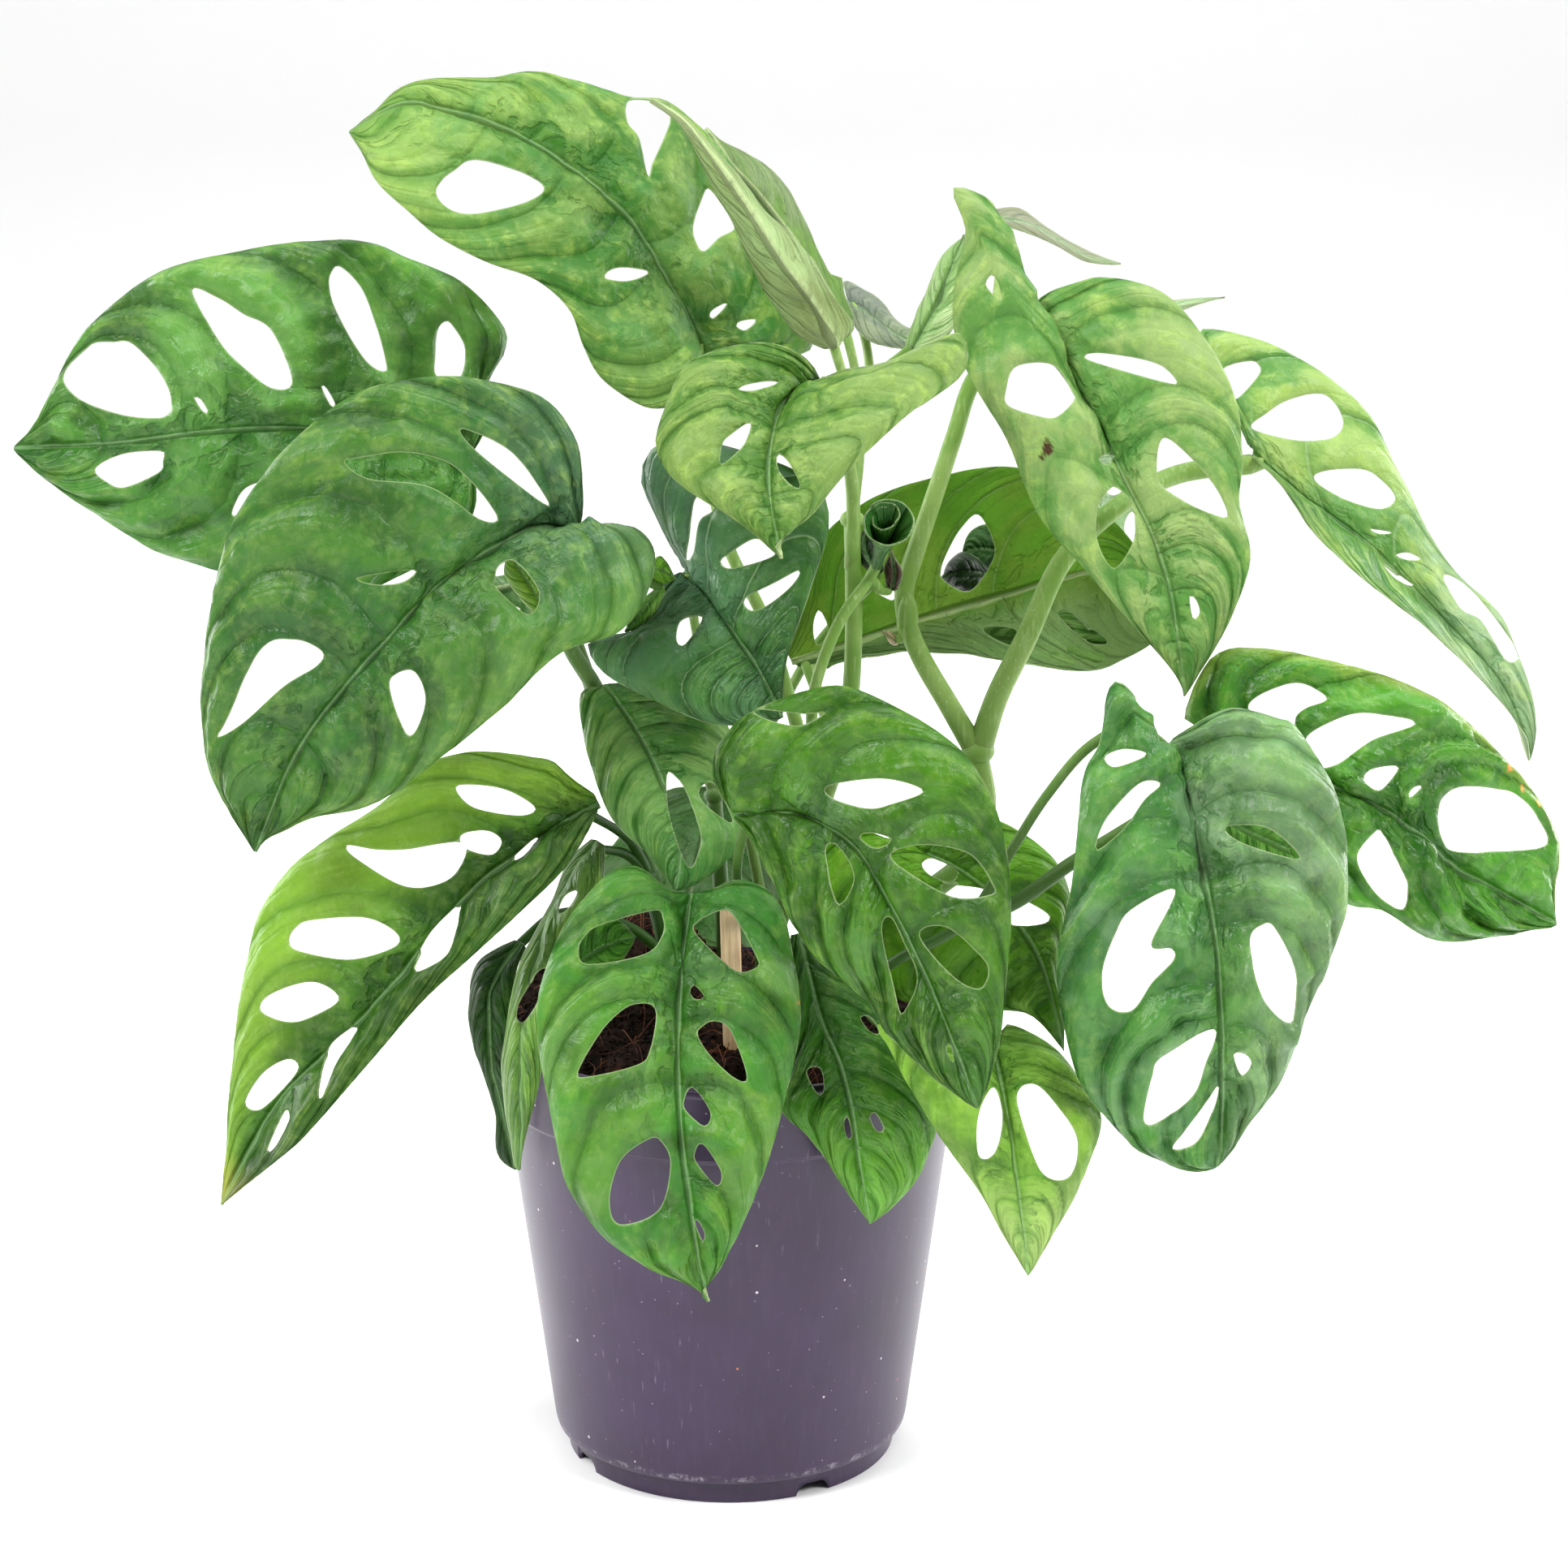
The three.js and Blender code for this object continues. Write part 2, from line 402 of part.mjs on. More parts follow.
      [[237, 358], [270, 368], [300, 387], [335, 408], [360, 470], [335, 478], [300, 452], [270, 420]],
      [[406, 355], [408, 337], [420, 330], [450, 365], [475, 445], [470, 457], [447, 440], [415, 385]],
      [[536, 440], [538, 410], [545, 398], [555, 399], [573, 430], [566, 465], [538, 463]],
      [[396, 476], [402, 478], [413, 498], [408, 500]],
      [[240, 490], [248, 492], [257, 508], [250, 506]],
      [[118, 578], [150, 560], [198, 556], [200, 568], [195, 582], [155, 600], [135, 595]],
      [[288, 636], [290, 620], [305, 600], [340, 590], [320, 610]],
    ],
    "depth": [-8, -20, -6], "lean": [4, 12], "arch": 3,
    "stalk": [[760, 930, -16], [730, 850, -12], [690, 740, -8], [640, 640, -4]],
  },
  "leaf_left_front": {
    "vine": "left",
    "rib": [[715, 657], [660, 652], [620, 668], [560, 705], [520, 740], [480, 785], [430, 840], [380, 905],
            [350, 960], [315, 1052]],
    "left": [[724, 664], [740, 657], [780, 648], [806, 680], [795, 735], [760, 780], [690, 805], [620, 870],
             [540, 935], [470, 985], [380, 1010], [330, 1033], [315, 1052]],
    "right": [[714, 645], [716, 600], [710, 545], [672, 492], [600, 469], [520, 465], [440, 485], [370, 535],
              [300, 620], [270, 700], [248, 850], [258, 945], [290, 1010], [315, 1052]],
    "holes": [
      [[568, 535], [575, 530], [630, 558], [675, 617], [665, 617], [595, 563]],
      [[425, 570], [440, 565], [500, 558], [560, 575], [612, 635], [592, 640], [530, 600], [455, 590]],
      [[440, 713], [480, 705], [512, 703], [495, 717], [465, 720]],
      [[610, 715], [615, 697], [635, 692], [664, 730], [650, 758], [612, 725]],
      [[270, 907], [280, 888], [322, 800], [365, 788], [397, 803], [390, 820], [350, 845], [300, 890]],
      [[481, 850], [485, 833], [510, 827], [524, 860], [513, 898], [500, 901]],
    ],
    "lobed": 1, "depth": [-44, -65, -58], "lean": [0, 8], "arch": 4,
    "stalk": [[760, 930, -16], [735, 852, -22], [700, 790, -29], [696, 730, -34]],
  },
  "leaf_right_back_edge": {
    "vine": "right",
    "rib": [[1228, 268], [1262, 273], [1300, 292], [1340, 316], [1382, 323]],
    "left": [[1227, 258], [1246, 256], [1262, 260], [1290, 280], [1340, 309], [1382, 323]],
    "right": [[1229, 276], [1260, 285], [1300, 301], [1340, 322], [1382, 323]],
    "holes": [],
    "depth": [26, 30, 32], "lean": [22, -10], "arch": 1,
    "stalk": [[1200, 468, 9], [1222, 400, 16], [1232, 330, 26]],
  },
  "leaf_right_back_tip": {
    "vine": "right",
    "rib": [[1330, 420], [1380, 398], [1440, 376], [1510, 364]],
    "left": [[1326, 412], [1370, 380], [1440, 370], [1510, 364]],
    "right": [[1334, 428], [1390, 425], [1450, 386], [1510, 364]],
    "holes": [],
    "depth": [26, 34, 44], "lean": [16, -8], "arch": 1,
    "stalk": [[1222, 400, 16], [1275, 425, 22]],
  },
  "leaf_back_left": {
    "vine": "back",
    "rib": [[760, 690], [700, 700], [650, 715], [590, 735], [540, 765]],
    "left": [[758, 700], [730, 760], [680, 800], [620, 810], [570, 795], [540, 765]],
    "right": [[756, 680], [710, 640], [650, 640], [590, 670], [555, 710], [540, 765]],
    "holes": [
      [[700, 745], [690, 770], [665, 770], [675, 745]],
      [[640, 750], [630, 775], [605, 775], [615, 750]],
      [[690, 680], [665, 660], [650, 675], [670, 690]],
      [[630, 700], [615, 680], [600, 690], [610, 710]],
    ],
    "depth": [40, 62, 74], "lean": [-12, 16], "arch": -3,
    "stalk": [[880, 980, 12], [840, 850, 24], [800, 750, 34]],
  },
  "leaf_back_centre": {
    "vine": "back",
    "rib": [[880, 968], [862, 1050], [845, 1130], [836, 1220], [832, 1330]],
    "left": [[870, 970], [820, 975], [765, 1030], [708, 1110], [700, 1190], [745, 1270], [832, 1330]],
    "right": [[890, 972], [930, 1000], [958, 1070], [966, 1160], [930, 1260], [832, 1330]],
    "holes": [
      [[800, 1075], [806, 1100], [775, 1115], [765, 1095]],
      [[800, 1200], [795, 1235], [760, 1228], [770, 1205]],
      [[915, 1208], [910, 1235], [880, 1240], [885, 1212]],
      [[895, 1090], [912, 1096], [908, 1112], [890, 1108]],
    ],
    "depth": [46, 80, 82], "lean": [-6, -8], "arch": -3,
    "stalk": [[880, 980, 12], [884, 930, 22], [884, 935, 36]],
  },
  "leaf_back_right": {
    "vine": "back",
    "rib": [[1280, 560], [1320, 590], [1350, 630], [1380, 690], [1420, 760]],
    "left": [[1276, 570], [1270, 620], [1295, 680], [1345, 730], [1390, 765], [1420, 760]],
    "right": [[1288, 554], [1340, 545], [1390, 560], [1415, 600], [1420, 680], [1420, 760]],
    "holes": [
      [[1310, 640], [1325, 630], [1340, 655], [1320, 665]],
      [[1345, 690], [1360, 680], [1370, 710], [1352, 715]],
      [[1350, 590], [1365, 575], [1385, 600], [1370, 610]],
      [[1385, 650], [1395, 630], [1405, 655], [1392, 670]],
    ],
    "depth": [50, 66, 72], "lean": [14, 14], "arch": -3,
    "stalk": [[880, 980, 12], [950, 890, 26], [1010, 790, 38], [1100, 700, 46], [1200, 620, 50]],
  },
};

// The vines that the stalks grow from, from the soil up.
const vines = {
  "right": [[990, 1480, 5], [990, 1330, 5], [1045, 1210, 3], [1120, 1120, 0], [1200, 1050, -4], [1214, 990, -5],
            [1205, 930, -5], [1205, 905, -5]],
  "centre": [[930, 1480, 10], [930, 1310, 10], [950, 1170, 8], [1010, 1000, 5], [1042, 900, 1], [1050, 830, -2],
             [1052, 740, -4], [1050, 640, -4]],
  "left": [[850, 1480, -4], [845, 1320, -6], [825, 1180, -11], [800, 1080, -14], [775, 1000, -16], [760, 930, -16]],
  "back": [[900, 1480, 24], [900, 1300, 26], [890, 1120, 18], [880, 980, 12]],
  "front": [[928, 1490, -18], [928, 1400, -18], [932, 1330, -16]],
};
const vineRadius = { "right": 3, "centre": 2.3, "left": 2.5, "back": 2.2, "front": 2 };

// The swollen joints of the vines, where stalks leave them, and their radii.
const knuckles = {
  "right": [[1205, 925, -5, 4.4], [1118, 768, 0, 3.6]],
  "centre": [[1050, 640, -4, 3.2], [1010, 1000, 5, 3.2]],
  "left": [[760, 930, -16, 3.4], [800, 1080, -14, 3.2]],
  "back": [[880, 980, 12, 2.8]],
  "front": [[1190, 1135, -49, 2.6]],
};

const stalkRadius = {
  "leaf_right_top": 2.6, "leaf_far_right": 2.9, "leaf_centre_top": 1.8, "leaf_left_front": 2.2,
  "leaf_right_mid": 1.8, "leaf_right_front": 1.5, "leaf_top_left": 1.8, "leaf_left": 1.9,
};
const plainStalkRadius = 1.4;

// The newest leaf, still rolled into a cone, on its own stalk.
const rolledLeaf = {
  vine: 'centre',
  base: [1087, 680, -14],
  mouth: [1095, 648, -42],
  mouthRadius: 6.4,
  baseRadius: 1.9,
  wall: 0.9,
  stalk: [[1010, 1000, 5], [1000, 900, -10], [1006, 840, -18], [1035, 765, -15], [1072, 712, -9], [1087, 680, -14]],
};

const stake = { foot: [908, 1480, -30], top: [899, 1108, -30] };

const colours = {
  young: 0x8fbe4e, fresh: 0x5f9f3c, mature: 0x3f8a3c, dark: 0x2c6b3a, stalk: 0x9dba7b,
  plastic: 0x5c5363, soil: 0x2e211b, wood: 0xcfa679,
};
const leafColours = {
  "leaf_top_folded": "young", "leaf_centre_top": "young", "leaf_right_top": "young", "leaf_far_right": "fresh",
  "leaf_left_front": "dark", "leaf_centre_dark": "dark", "leaf_right_front": "mature", "leaf_right_mid": "mature",
  "leaf_left_rim": "dark", "leaf_low_right": "dark", "leaf_left": "mature",
};

function finish(colour, roughness) {
  return new THREE.MeshStandardMaterial({ color: colour, roughness, metalness: 0 });
}

// Solids: a geometry whose shared vertices are merged becomes a solid, and back.
function toSolid(geometry) {
  const bare = geometry.clone();
  bare.deleteAttribute('normal');
  bare.deleteAttribute('uv');
  const merged = mergeVertices(bare, 1e-4);
  return new wasm.Manifold(new wasm.Mesh({
    numProp: 3,
    vertProperties: new Float32Array(merged.attributes.position.array),
    triVerts: new Uint32Array(merged.index.array),
  }));
}

function toGeometry(solid) {
  const mesh = solid.getMesh();
  const geometry = new THREE.BufferGeometry();
  geometry.setAttribute('position', new THREE.BufferAttribute(new Float32Array(mesh.vertProperties), 3));
  geometry.setIndex(new THREE.BufferAttribute(new Uint32Array(mesh.triVerts), 1));
  geometry.computeVertexNormals();
  return geometry;
}

function union(solids) {
  return solids.reduce((sum, solid) => sum.add(solid));
}

function largestBody(solid) {
  const bodies = solid.decompose();
  return bodies.reduce((best, body) => (body.volume() > best.volume() ? body : best));
}

function closedMesh(vertices, triangles) {
  const geometry = new THREE.BufferGeometry().setFromPoints(vertices);
  geometry.setIndex(triangles.flat());
  return geometry;
}

function spline(points) {
  return new THREE.SplineCurve(points.map(([x, y]) => new THREE.Vector2(x, y)));
}

// The middle surface of a blade as rows of points across the leaf. Row 0 is at the
// stalk, and the columns run from the left margin over the rib to the right one.
function bladeRowsOf(leaf) {
  const rib = spline(leaf.rib);
  const sides = [spline(leaf.left), spline(leaf.right)];
  const depths = spline(leaf.depth.map((depth, i) => [i / (leaf.depth.length - 1), depth]));
  const count = leaf.lobed ? lobedRows : bladeRows;
  const stations = Array.from({ length: count + 1 }, (_, i) => bladeEnd * i / count);
  const ribPoints = stations.map((s) => rib.getPointAt(s));
  const margins = sides.map((side) => stations.map((s) => side.getPointAt(s)));
  const widest = margins.map((margin) => Math.max(...margin.map((m, i) => m.distanceTo(ribPoints[i]))));
  return stations.map((s, i) => {
    const row = [];
    for (let j = -bladeSideCells; j <= bladeSideCells; j += 1) {
      const side = j < 0 ? 0 : 1;
      const t = Math.abs(j) / bladeSideCells;
      const point = ribPoints[i].clone().lerp(margins[side][i], t);
      const width = margins[side][i].distanceTo(ribPoints[i]) / widest[side];
      const depth = depths.getPoint(s).y + leaf.lean[side] * t * width - leaf.arch * 4 * t * (1 - t) * width;
      row.push({ u: point.x, v: point.y, depth, t });
    }
    return row;
  });
}

// A blade with a little thickness on each side of that surface. Both faces are split
// into triangles alike. extra thickens it, and pushes its outline out, by that much.
function bladeSolid(leaf, extra = 0) {
  const rows = bladeRowsOf(leaf);
  const points = rows.map((row) => row.map((cell) => place(cell.u, cell.v, cell.depth)));
  const last = points.length - 1;
  const across = points[0].length;
  const normals = points.map((row, i) => row.map((_, j) => {
    const along = points[Math.min(i + 1, last)][j].clone().sub(points[Math.max(i - 1, 0)][j]);
    const sideways = row[Math.min(j + 1, across - 1)].clone().sub(row[Math.max(j - 1, 0)]);
    return along.cross(sideways).normalize();
  }));
  const grown = points.map((row, i) => row.map((point, j) => {
    const out = point.clone();
    if (extra > 0) {
      if (i === 0) out.addScaledVector(point.clone().sub(points[1][j]).normalize(), extra);
      if (j === 0) out.addScaledVector(point.clone().sub(row[1]).normalize(), extra);
      if (j === across - 1) out.addScaledVector(point.clone().sub(row[across - 2]).normalize(), extra);
    }
    return out;
  }));
  const vertices = [];
  for (const face of [1, -1]) {
    grown.forEach((row, i) => row.forEach((point, j) => {
      const t = rows[i][j].t;
      const half = bladeHalfThickness + (ribHalfThickness - bladeHalfThickness) * Math.max(0, 1 - 2 * t) + extra;
      vertices.push(point.clone().addScaledVector(normals[i][j], face * half));
    }));
  }
  const at = (face, i, j) => (face * points.length + i) * across + j;
  const triangles = [];
  const quad = (a, b, c, d) => triangles.push([a, b, c], [a, c, d]);
  for (let i = 0; i < last; i += 1) {
    for (let j = 0; j < across - 1; j += 1) {
      quad(at(0, i, j), at(0, i + 1, j), at(0, i + 1, j + 1), at(0, i, j + 1));
      triangles.push([at(1, i, j), at(1, i + 1, j + 1), at(1, i + 1, j)]);
      triangles.push([at(1, i, j), at(1, i, j + 1), at(1, i + 1, j + 1)]);
    }
    quad(at(1, i, 0), at(1, i + 1, 0), at(0, i + 1, 0), at(0, i, 0));
    quad(at(0, i, across - 1), at(0, i + 1, across - 1), at(1, i + 1, across - 1), at(1, i, across - 1));
  }
  for (let j = 0; j < across - 1; j += 1) {
    quad(at(0, 0, j), at(0, 0, j + 1), at(1, 0, j + 1), at(1, 0, j));
    quad(at(1, last, j), at(1, last, j + 1), at(0, last, j + 1), at(0, last, j));
  }
  const solid = toSolid(closedMesh(vertices, triangles));
  return solid.volume() < 0 ? toSolid(closedMesh(vertices, triangles.map(([a, b, c]) => [a, c, b]))) : solid;
}

// The depth of the blade's surface where the photograph shows the point (u, v).
function depthAt(rows, u, v) {
  let nearest = rows[0][0];
  let nearestDistance = Infinity;
  const point = new THREE.Vector3(u, v, 0);
  const weights = new THREE.Vector3();
  const flat = (cell) => new THREE.Vector3(cell.u, cell.v, 0);
  for (let i = 0; i < rows.length - 1; i += 1) {
    for (let j = 0; j < rows[0].length - 1; j += 1) {
      const corners = [rows[i][j], rows[i + 1][j], rows[i + 1][j + 1], rows[i][j + 1]];
      for (const [a, b, c] of [[0, 1, 2], [0, 2, 3]]) {
        const triangle = new THREE.Triangle(flat(corners[a]), flat(corners[b]), flat(corners[c]));
        if (triangle.getBarycoord(point, weights) && Math.min(weights.x, weights.y, weights.z) >= 0) {
          return corners[a].depth * weights.x + corners[b].depth * weights.y + corners[c].depth * weights.z;
        }
      }
      const distance = Math.hypot(corners[0].u - u, corners[0].v - v);
      if (distance < nearestDistance) {
        nearest = corners[0];
        nearestDistance = distance;
      }
    }
  }
  return nearest.depth;
}

// The prism that cuts one hole, along the lines of sight through the loop.
function holeCutter(rows, loop) {
  const curve = new THREE.CatmullRomCurve3(loop.map(([u, v]) => new THREE.Vector3(u, v, 0)), true);
  const corners = curve.getSpacedPoints(Math.min(loop.length, holeSides)).slice(0, -1);
  if (THREE.ShapeUtils.isClockWise(corners)) corners.reverse();
  const vertices = [];
  for (const side of [-1, 1]) {
    corners.forEach(({ x, y }) => vertices.push(place(x, y, depthAt(rows, x, y) + side * cutterReach)));
  }
  const count = corners.length;
  const caps = THREE.ShapeUtils.triangulateShape(corners.map(({ x, y }) => new THREE.Vector2(x, y)), []);
  const triangles = caps.flatMap(([a, b, c]) => [[a, b, c], [a + count, c + count, b + count]]);
  for (let i = 0; i < count; i += 1) {
    const next = (i + 1) % count;
    triangles.push([i, i + count, next], [next, i + count, next + count]);
  }
  const solid = toSolid(closedMesh(vertices, triangles));
  return solid.volume() < 0 ? toSolid(closedMesh(vertices, triangles.map(([a, b, c]) => [a, c, b]))) : solid;
}

function leafSolid(leaf) {
  const rows = bladeRowsOf(leaf);
  let solid = bladeSolid(leaf);
  for (const loop of leaf.holes) {
    const { x, y } = new THREE.Box2().setFromPoints(loop.map(([u, v]) => new THREE.Vector2(u, v)))
      .getSize(new THREE.Vector2());
    if (Math.max(x, y) >= smallestHole) {
      solid = solid.subtract(holeCutter(rows, loop));
    }
  }
  return largestBody(solid);
}

// Stalks and vines: a round section swept along a smooth curve.
function tubeSolid(route, radius, sides) {
  const path = new THREE.CatmullRomCurve3(route.map(([u, v, depth]) => place(u, v, depth)));
  const section = new THREE.Shape();
  for (let i = 0; i < sides; i += 1) {
    const angle = 2 * Math.PI * i / sides;
    const x = radius * Math.cos(angle);
    const y = radius * Math.sin(angle);
    if (i === 0) section.moveTo(x, y);
    else section.lineTo(x, y);
  }
  return toSolid(new THREE.ExtrudeGeometry(section, {
    steps: route.length,
    bevelEnabled: false,
    extrudePath: path,
  }));
}

function knuckleSolid(u, v, depth, radius) {
  const ball = new THREE.SphereGeometry(radius, vineSides, 4);
  ball.scale(1, 1, 0.75);
  ball.translate(...place(u, v, depth));
  return toSolid(ball);
}

function stalkRadiusOf(name) {
  return stalkRadius[name] ?? plainStalkRadius;
}

// The stalk's route with its last point, which lies on the blade's midrib near its base.
function stalkRoute(leaf) {
  const [first, second] = bladeRowsOf(leaf).map((row) => row[bladeSideCells]);
  const seat = ['u', 'v', 'depth'].map((key) => first[key] + (second[key] - first[key]) * seatShare);
  return [...leaf.stalk, seat];
}

// The room that a stalk leaves round its blade, also where the blade folds tightly.
function bladeRoom(leaf) {
  return union([gap, gap / 2, gap / 8].map((extra) => bladeSolid(leaf, extra)));
}

// One vine with its stalks, grown together. Each stalk ends a gap short of its blade.
function vineSolid(vine, swell = 0) {
  const solids = [tubeSolid(vines[vine], vineRadius[vine] + swell, vineSides)];
  for (const [name, leaf] of Object.entries(leaves)) {
    if (leaf.vine === vine) {
      const stalk = tubeSolid(stalkRoute(leaf), stalkRadiusOf(name) + swell, stalkSides);
      solids.push(largestBody(stalk.subtract(bladeRoom(leaf))));
    }
  }
  if (rolledLeaf.vine === vine) {
    const stalk = tubeSolid(rolledLeaf.stalk, plainStalkRadius + swell, stalkSides);
    solids.push(largestBody(stalk.subtract(rolledLeafSolid(gap))));
  }
  for (const [u, v, depth, radius] of knuckles[vine]) {
    solids.push(knuckleSolid(u, v, depth, radius + swell));
  }
  return largestBody(union(solids));
}

// The rolled leaf: an open cone whose mouth shows the turn inside.
function rolledLeafSolid(extra = 0) {
  const base = place(...rolledLeaf.base);
  const mouth = place(...rolledLeaf.mouth);
  const length = mouth.distanceTo(base);
  const { mouthRadius, baseRadius, wall } = rolledLeaf;
  const profile = [
    [0, -extra], [baseRadius + extra, -extra], [0.62 * mouthRadius + extra, 0.4 * length],
    [mouthRadius + extra, length], [mouthRadius - wall, length], [0.62 * mouthRadius - wall, 0.45 * length],
    [0, 0.35 * length],
  ].map(([radius, along]) => new THREE.Vector2(radius, along));
  const cone = new THREE.LatheGeometry(profile, 12);
  const turn = new THREE.Quaternion().setFromUnitVectors(
    new THREE.Vector3(0, 1, 0),
    mouth.clone().sub(base).normalize(),
  );
  cone.applyQuaternion(turn);
  cone.translate(...base);
  return toSolid(cone);
}

// The pot, moulded in one piece: foot ring, drained floor, tapered wall, rim band.
function lathed(profile, segments) {
  const geometry = new THREE.LatheGeometry(profile.map(([r, z]) => new THREE.Vector2(r, z)), segments);
  return toSolid(geometry.rotateX(Math.PI / 2));
}

const floorUnderside = footHeight - 0.8;
const floorTop = floorUnderside + floorThickness;
const bandBottom = potHeight - rimBandHeight;
const wallTopRadius = potRimRadius - 2.6;
const insideTopRadius = potRimRadius - potWall - 0.5;
const insideBandRadius = wallTopRadius - potWall + 0.6;
const insideFloorRadius = potFootRadius - potWall + 0.1;

function potSolid() {
  const footRadius = potFootRadius - footRecess;
  let pot = lathed([
    [0, floorUnderside], [footRadius - potWall, floorUnderside], [footRadius - potWall, 0], [footRadius, 0],
    [footRadius + 0.2, footHeight - 0.8], [potFootRadius, footHeight], [potFootRadius + 0.5, footHeight + 2],
    [wallTopRadius, bandBottom - 0.4], [wallTopRadius + rimStep, bandBottom + 0.4],
    [potRimRadius - 0.4, potHeight - 2.4], [potRimRadius + 0.2, potHeight - 1.6], [potRimRadius, potHeight - 0.4],
    [potRimRadius - 0.5, potHeight], [insideTopRadius + 0.3, potHeight], [insideTopRadius, potHeight - 0.6],
    [insideBandRadius, bandBottom], [insideFloorRadius, floorTop], [0, floorTop],
  ], 32);
  for (const angle of drainAngles) {
    const notch = new THREE.BoxGeometry(8, drainNotchWidth, 2 * drainNotchHeight);
    notch.translate(footRadius, 0, 0);
    notch.rotateZ(THREE.MathUtils.degToRad(angle));
    const hole = new THREE.CylinderGeometry(drainHoleRadius, drainHoleRadius, 12, 12);
    hole.rotateX(Math.PI / 2);
    hole.translate(0.72 * footRadius, 0, footHeight);
    hole.rotateZ(THREE.MathUtils.degToRad(angle));
    pot = pot.subtract(toSolid(notch)).subtract(toSolid(hole));
  }
  return pot;
}

// The soil, a gap inside the pot, mounded and lumpy on top.
function soilSurface(x, y) {
  const fromMiddle = Math.hypot(x + 4, y - 8) / potRimRadius;
  const lumps = Math.sin(0.23 * x + 1.3) * Math.cos(0.19 * y + 0.4) + 0.7 * Math.sin(0.41 * x - 0.33 * y);
  const heaped = soilHeaps.map(([height, heapX, heapY, spreadX, spreadY]) => (
    height * Math.exp(-(((x - heapX) / spreadX) ** 2) - ((y - heapY) / spreadY) ** 2)));
  return soilMound * Math.max(0, 1 - fromMiddle ** 2) + heaped[0] + heaped[1] + soilHeave * lumps;
}

function soilSolid() {
  const wallRadius = (z) => {
    const rise = (z - floorTop) / (bandBottom - floorTop);
    return insideFloorRadius + (insideBandRadius - insideFloorRadius) * Math.min(1, rise) - gap - 0.15;
  };
  const bottom = floorTop + gap;
  const edge = wallRadius(soilEdgeHeight);
  const profile = [[0, bottom], [wallRadius(bottom), bottom], [wallRadius(bandBottom), bandBottom],
    [edge, soilEdgeHeight - 3]];
  for (const share of [0.96, 0.8, 0.64, 0.48, 0.28, 0]) {
    profile.push([edge * share, soilEdgeHeight]);
  }
  const geometry = new THREE.LatheGeometry(profile.map(([r, z]) => new THREE.Vector2(r, z)), 20);
  geometry.rotateX(Math.PI / 2);
  const { position } = geometry.attributes;
  for (let i = 0; i < position.count; i += 1) {
    if (position.getZ(i) > soilEdgeHeight - 0.01) {
      position.setZ(i, soilEdgeHeight + soilSurface(position.getX(i), position.getY(i)));
    }
  }
  return toSolid(geometry);
}

// The stake, a split stick with its corners taken off.
function stakeSolid(extra = 0) {
  const foot = place(...stake.foot);
  const top = place(...stake.top);
  const stick = new THREE.CylinderGeometry(0.5, 0.5, foot.distanceTo(top) + extra, 8);
  stick.rotateY(Math.PI / 8);
  stick.scale(stakeWidth + 2 * extra, 1, stakeDepth + 2 * extra);
  stick.applyQuaternion(new THREE.Quaternion().setFromUnitVectors(
    new THREE.Vector3(0, 1, 0),
    top.clone().sub(foot).normalize(),
  ));
  stick.translate(...foot.clone().lerp(top, 0.5));
  return toSolid(stick);
}

const plant = new THREE.Group();

function addPart(name, solid, colour, roughness) {
  const mesh = new THREE.Mesh(toGeometry(solid), finish(colour, roughness));
  mesh.name = name;
  plant.add(mesh);
}

let soil = soilSolid().subtract(stakeSolid(gap));
for (const vine of Object.keys(vines)) {
  soil = soil.subtract(vineSolid(vine, gap));
  addPart(`stems_${vine}`, vineSolid(vine), colours.stalk, 0.5);
}
addPart('pot', potSolid(), colours.plastic, 0.42);
addPart('soil', largestBody(soil), colours.soil, 0.95);
addPart('stake', stakeSolid(), colours.wood, 0.75);
addPart('leaf_rolled', rolledLeafSolid(), colours.dark, 0.45);
for (const [name, leaf] of Object.entries(leaves)) {
  addPart(name, leafSolid(leaf), colours[leafColours[name] ?? 'fresh'], 0.4);
}

const middle = new THREE.Box3().setFromObject(plant).getCenter(new THREE.Vector3());
plant.position.set(-middle.x, -middle.y, 0);

export default plant;
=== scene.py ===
import math

import bmesh
import bpy
import numpy as np
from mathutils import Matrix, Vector, noise
from mathutils.geometry import delaunay_2d_cdt


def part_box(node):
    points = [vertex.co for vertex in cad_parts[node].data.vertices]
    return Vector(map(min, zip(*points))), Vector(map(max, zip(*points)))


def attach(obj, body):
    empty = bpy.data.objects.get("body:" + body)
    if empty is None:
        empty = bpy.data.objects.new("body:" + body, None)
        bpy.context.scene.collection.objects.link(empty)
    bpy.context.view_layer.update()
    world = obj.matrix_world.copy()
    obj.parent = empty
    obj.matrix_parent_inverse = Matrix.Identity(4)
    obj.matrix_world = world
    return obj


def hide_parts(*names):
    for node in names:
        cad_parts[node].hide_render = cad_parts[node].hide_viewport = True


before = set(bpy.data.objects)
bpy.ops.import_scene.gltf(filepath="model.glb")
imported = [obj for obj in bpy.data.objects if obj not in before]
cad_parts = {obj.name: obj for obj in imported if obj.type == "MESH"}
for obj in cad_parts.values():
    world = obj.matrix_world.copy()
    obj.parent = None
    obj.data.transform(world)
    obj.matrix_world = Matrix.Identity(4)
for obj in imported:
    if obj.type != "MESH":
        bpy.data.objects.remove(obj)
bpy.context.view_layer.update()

# The camera. The photograph looks a little down on the plant, so that the soil shows
# behind the front rim. The pot's rim, its wall step and its foot gave the lens and the
# tilt, and the same camera places every leaf further down.
pot_low, pot_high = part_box("pot")
POT_X = (pot_low.x + pot_high.x) / 2
POT_Y = (pot_low.y + pot_high.y) / 2
VIEW_X, VIEW_Y, VIEW_Z = 13.9, -824.2, 380.4
VIEW_PITCH = math.radians(13.97)
VIEW_FOCAL = 4176
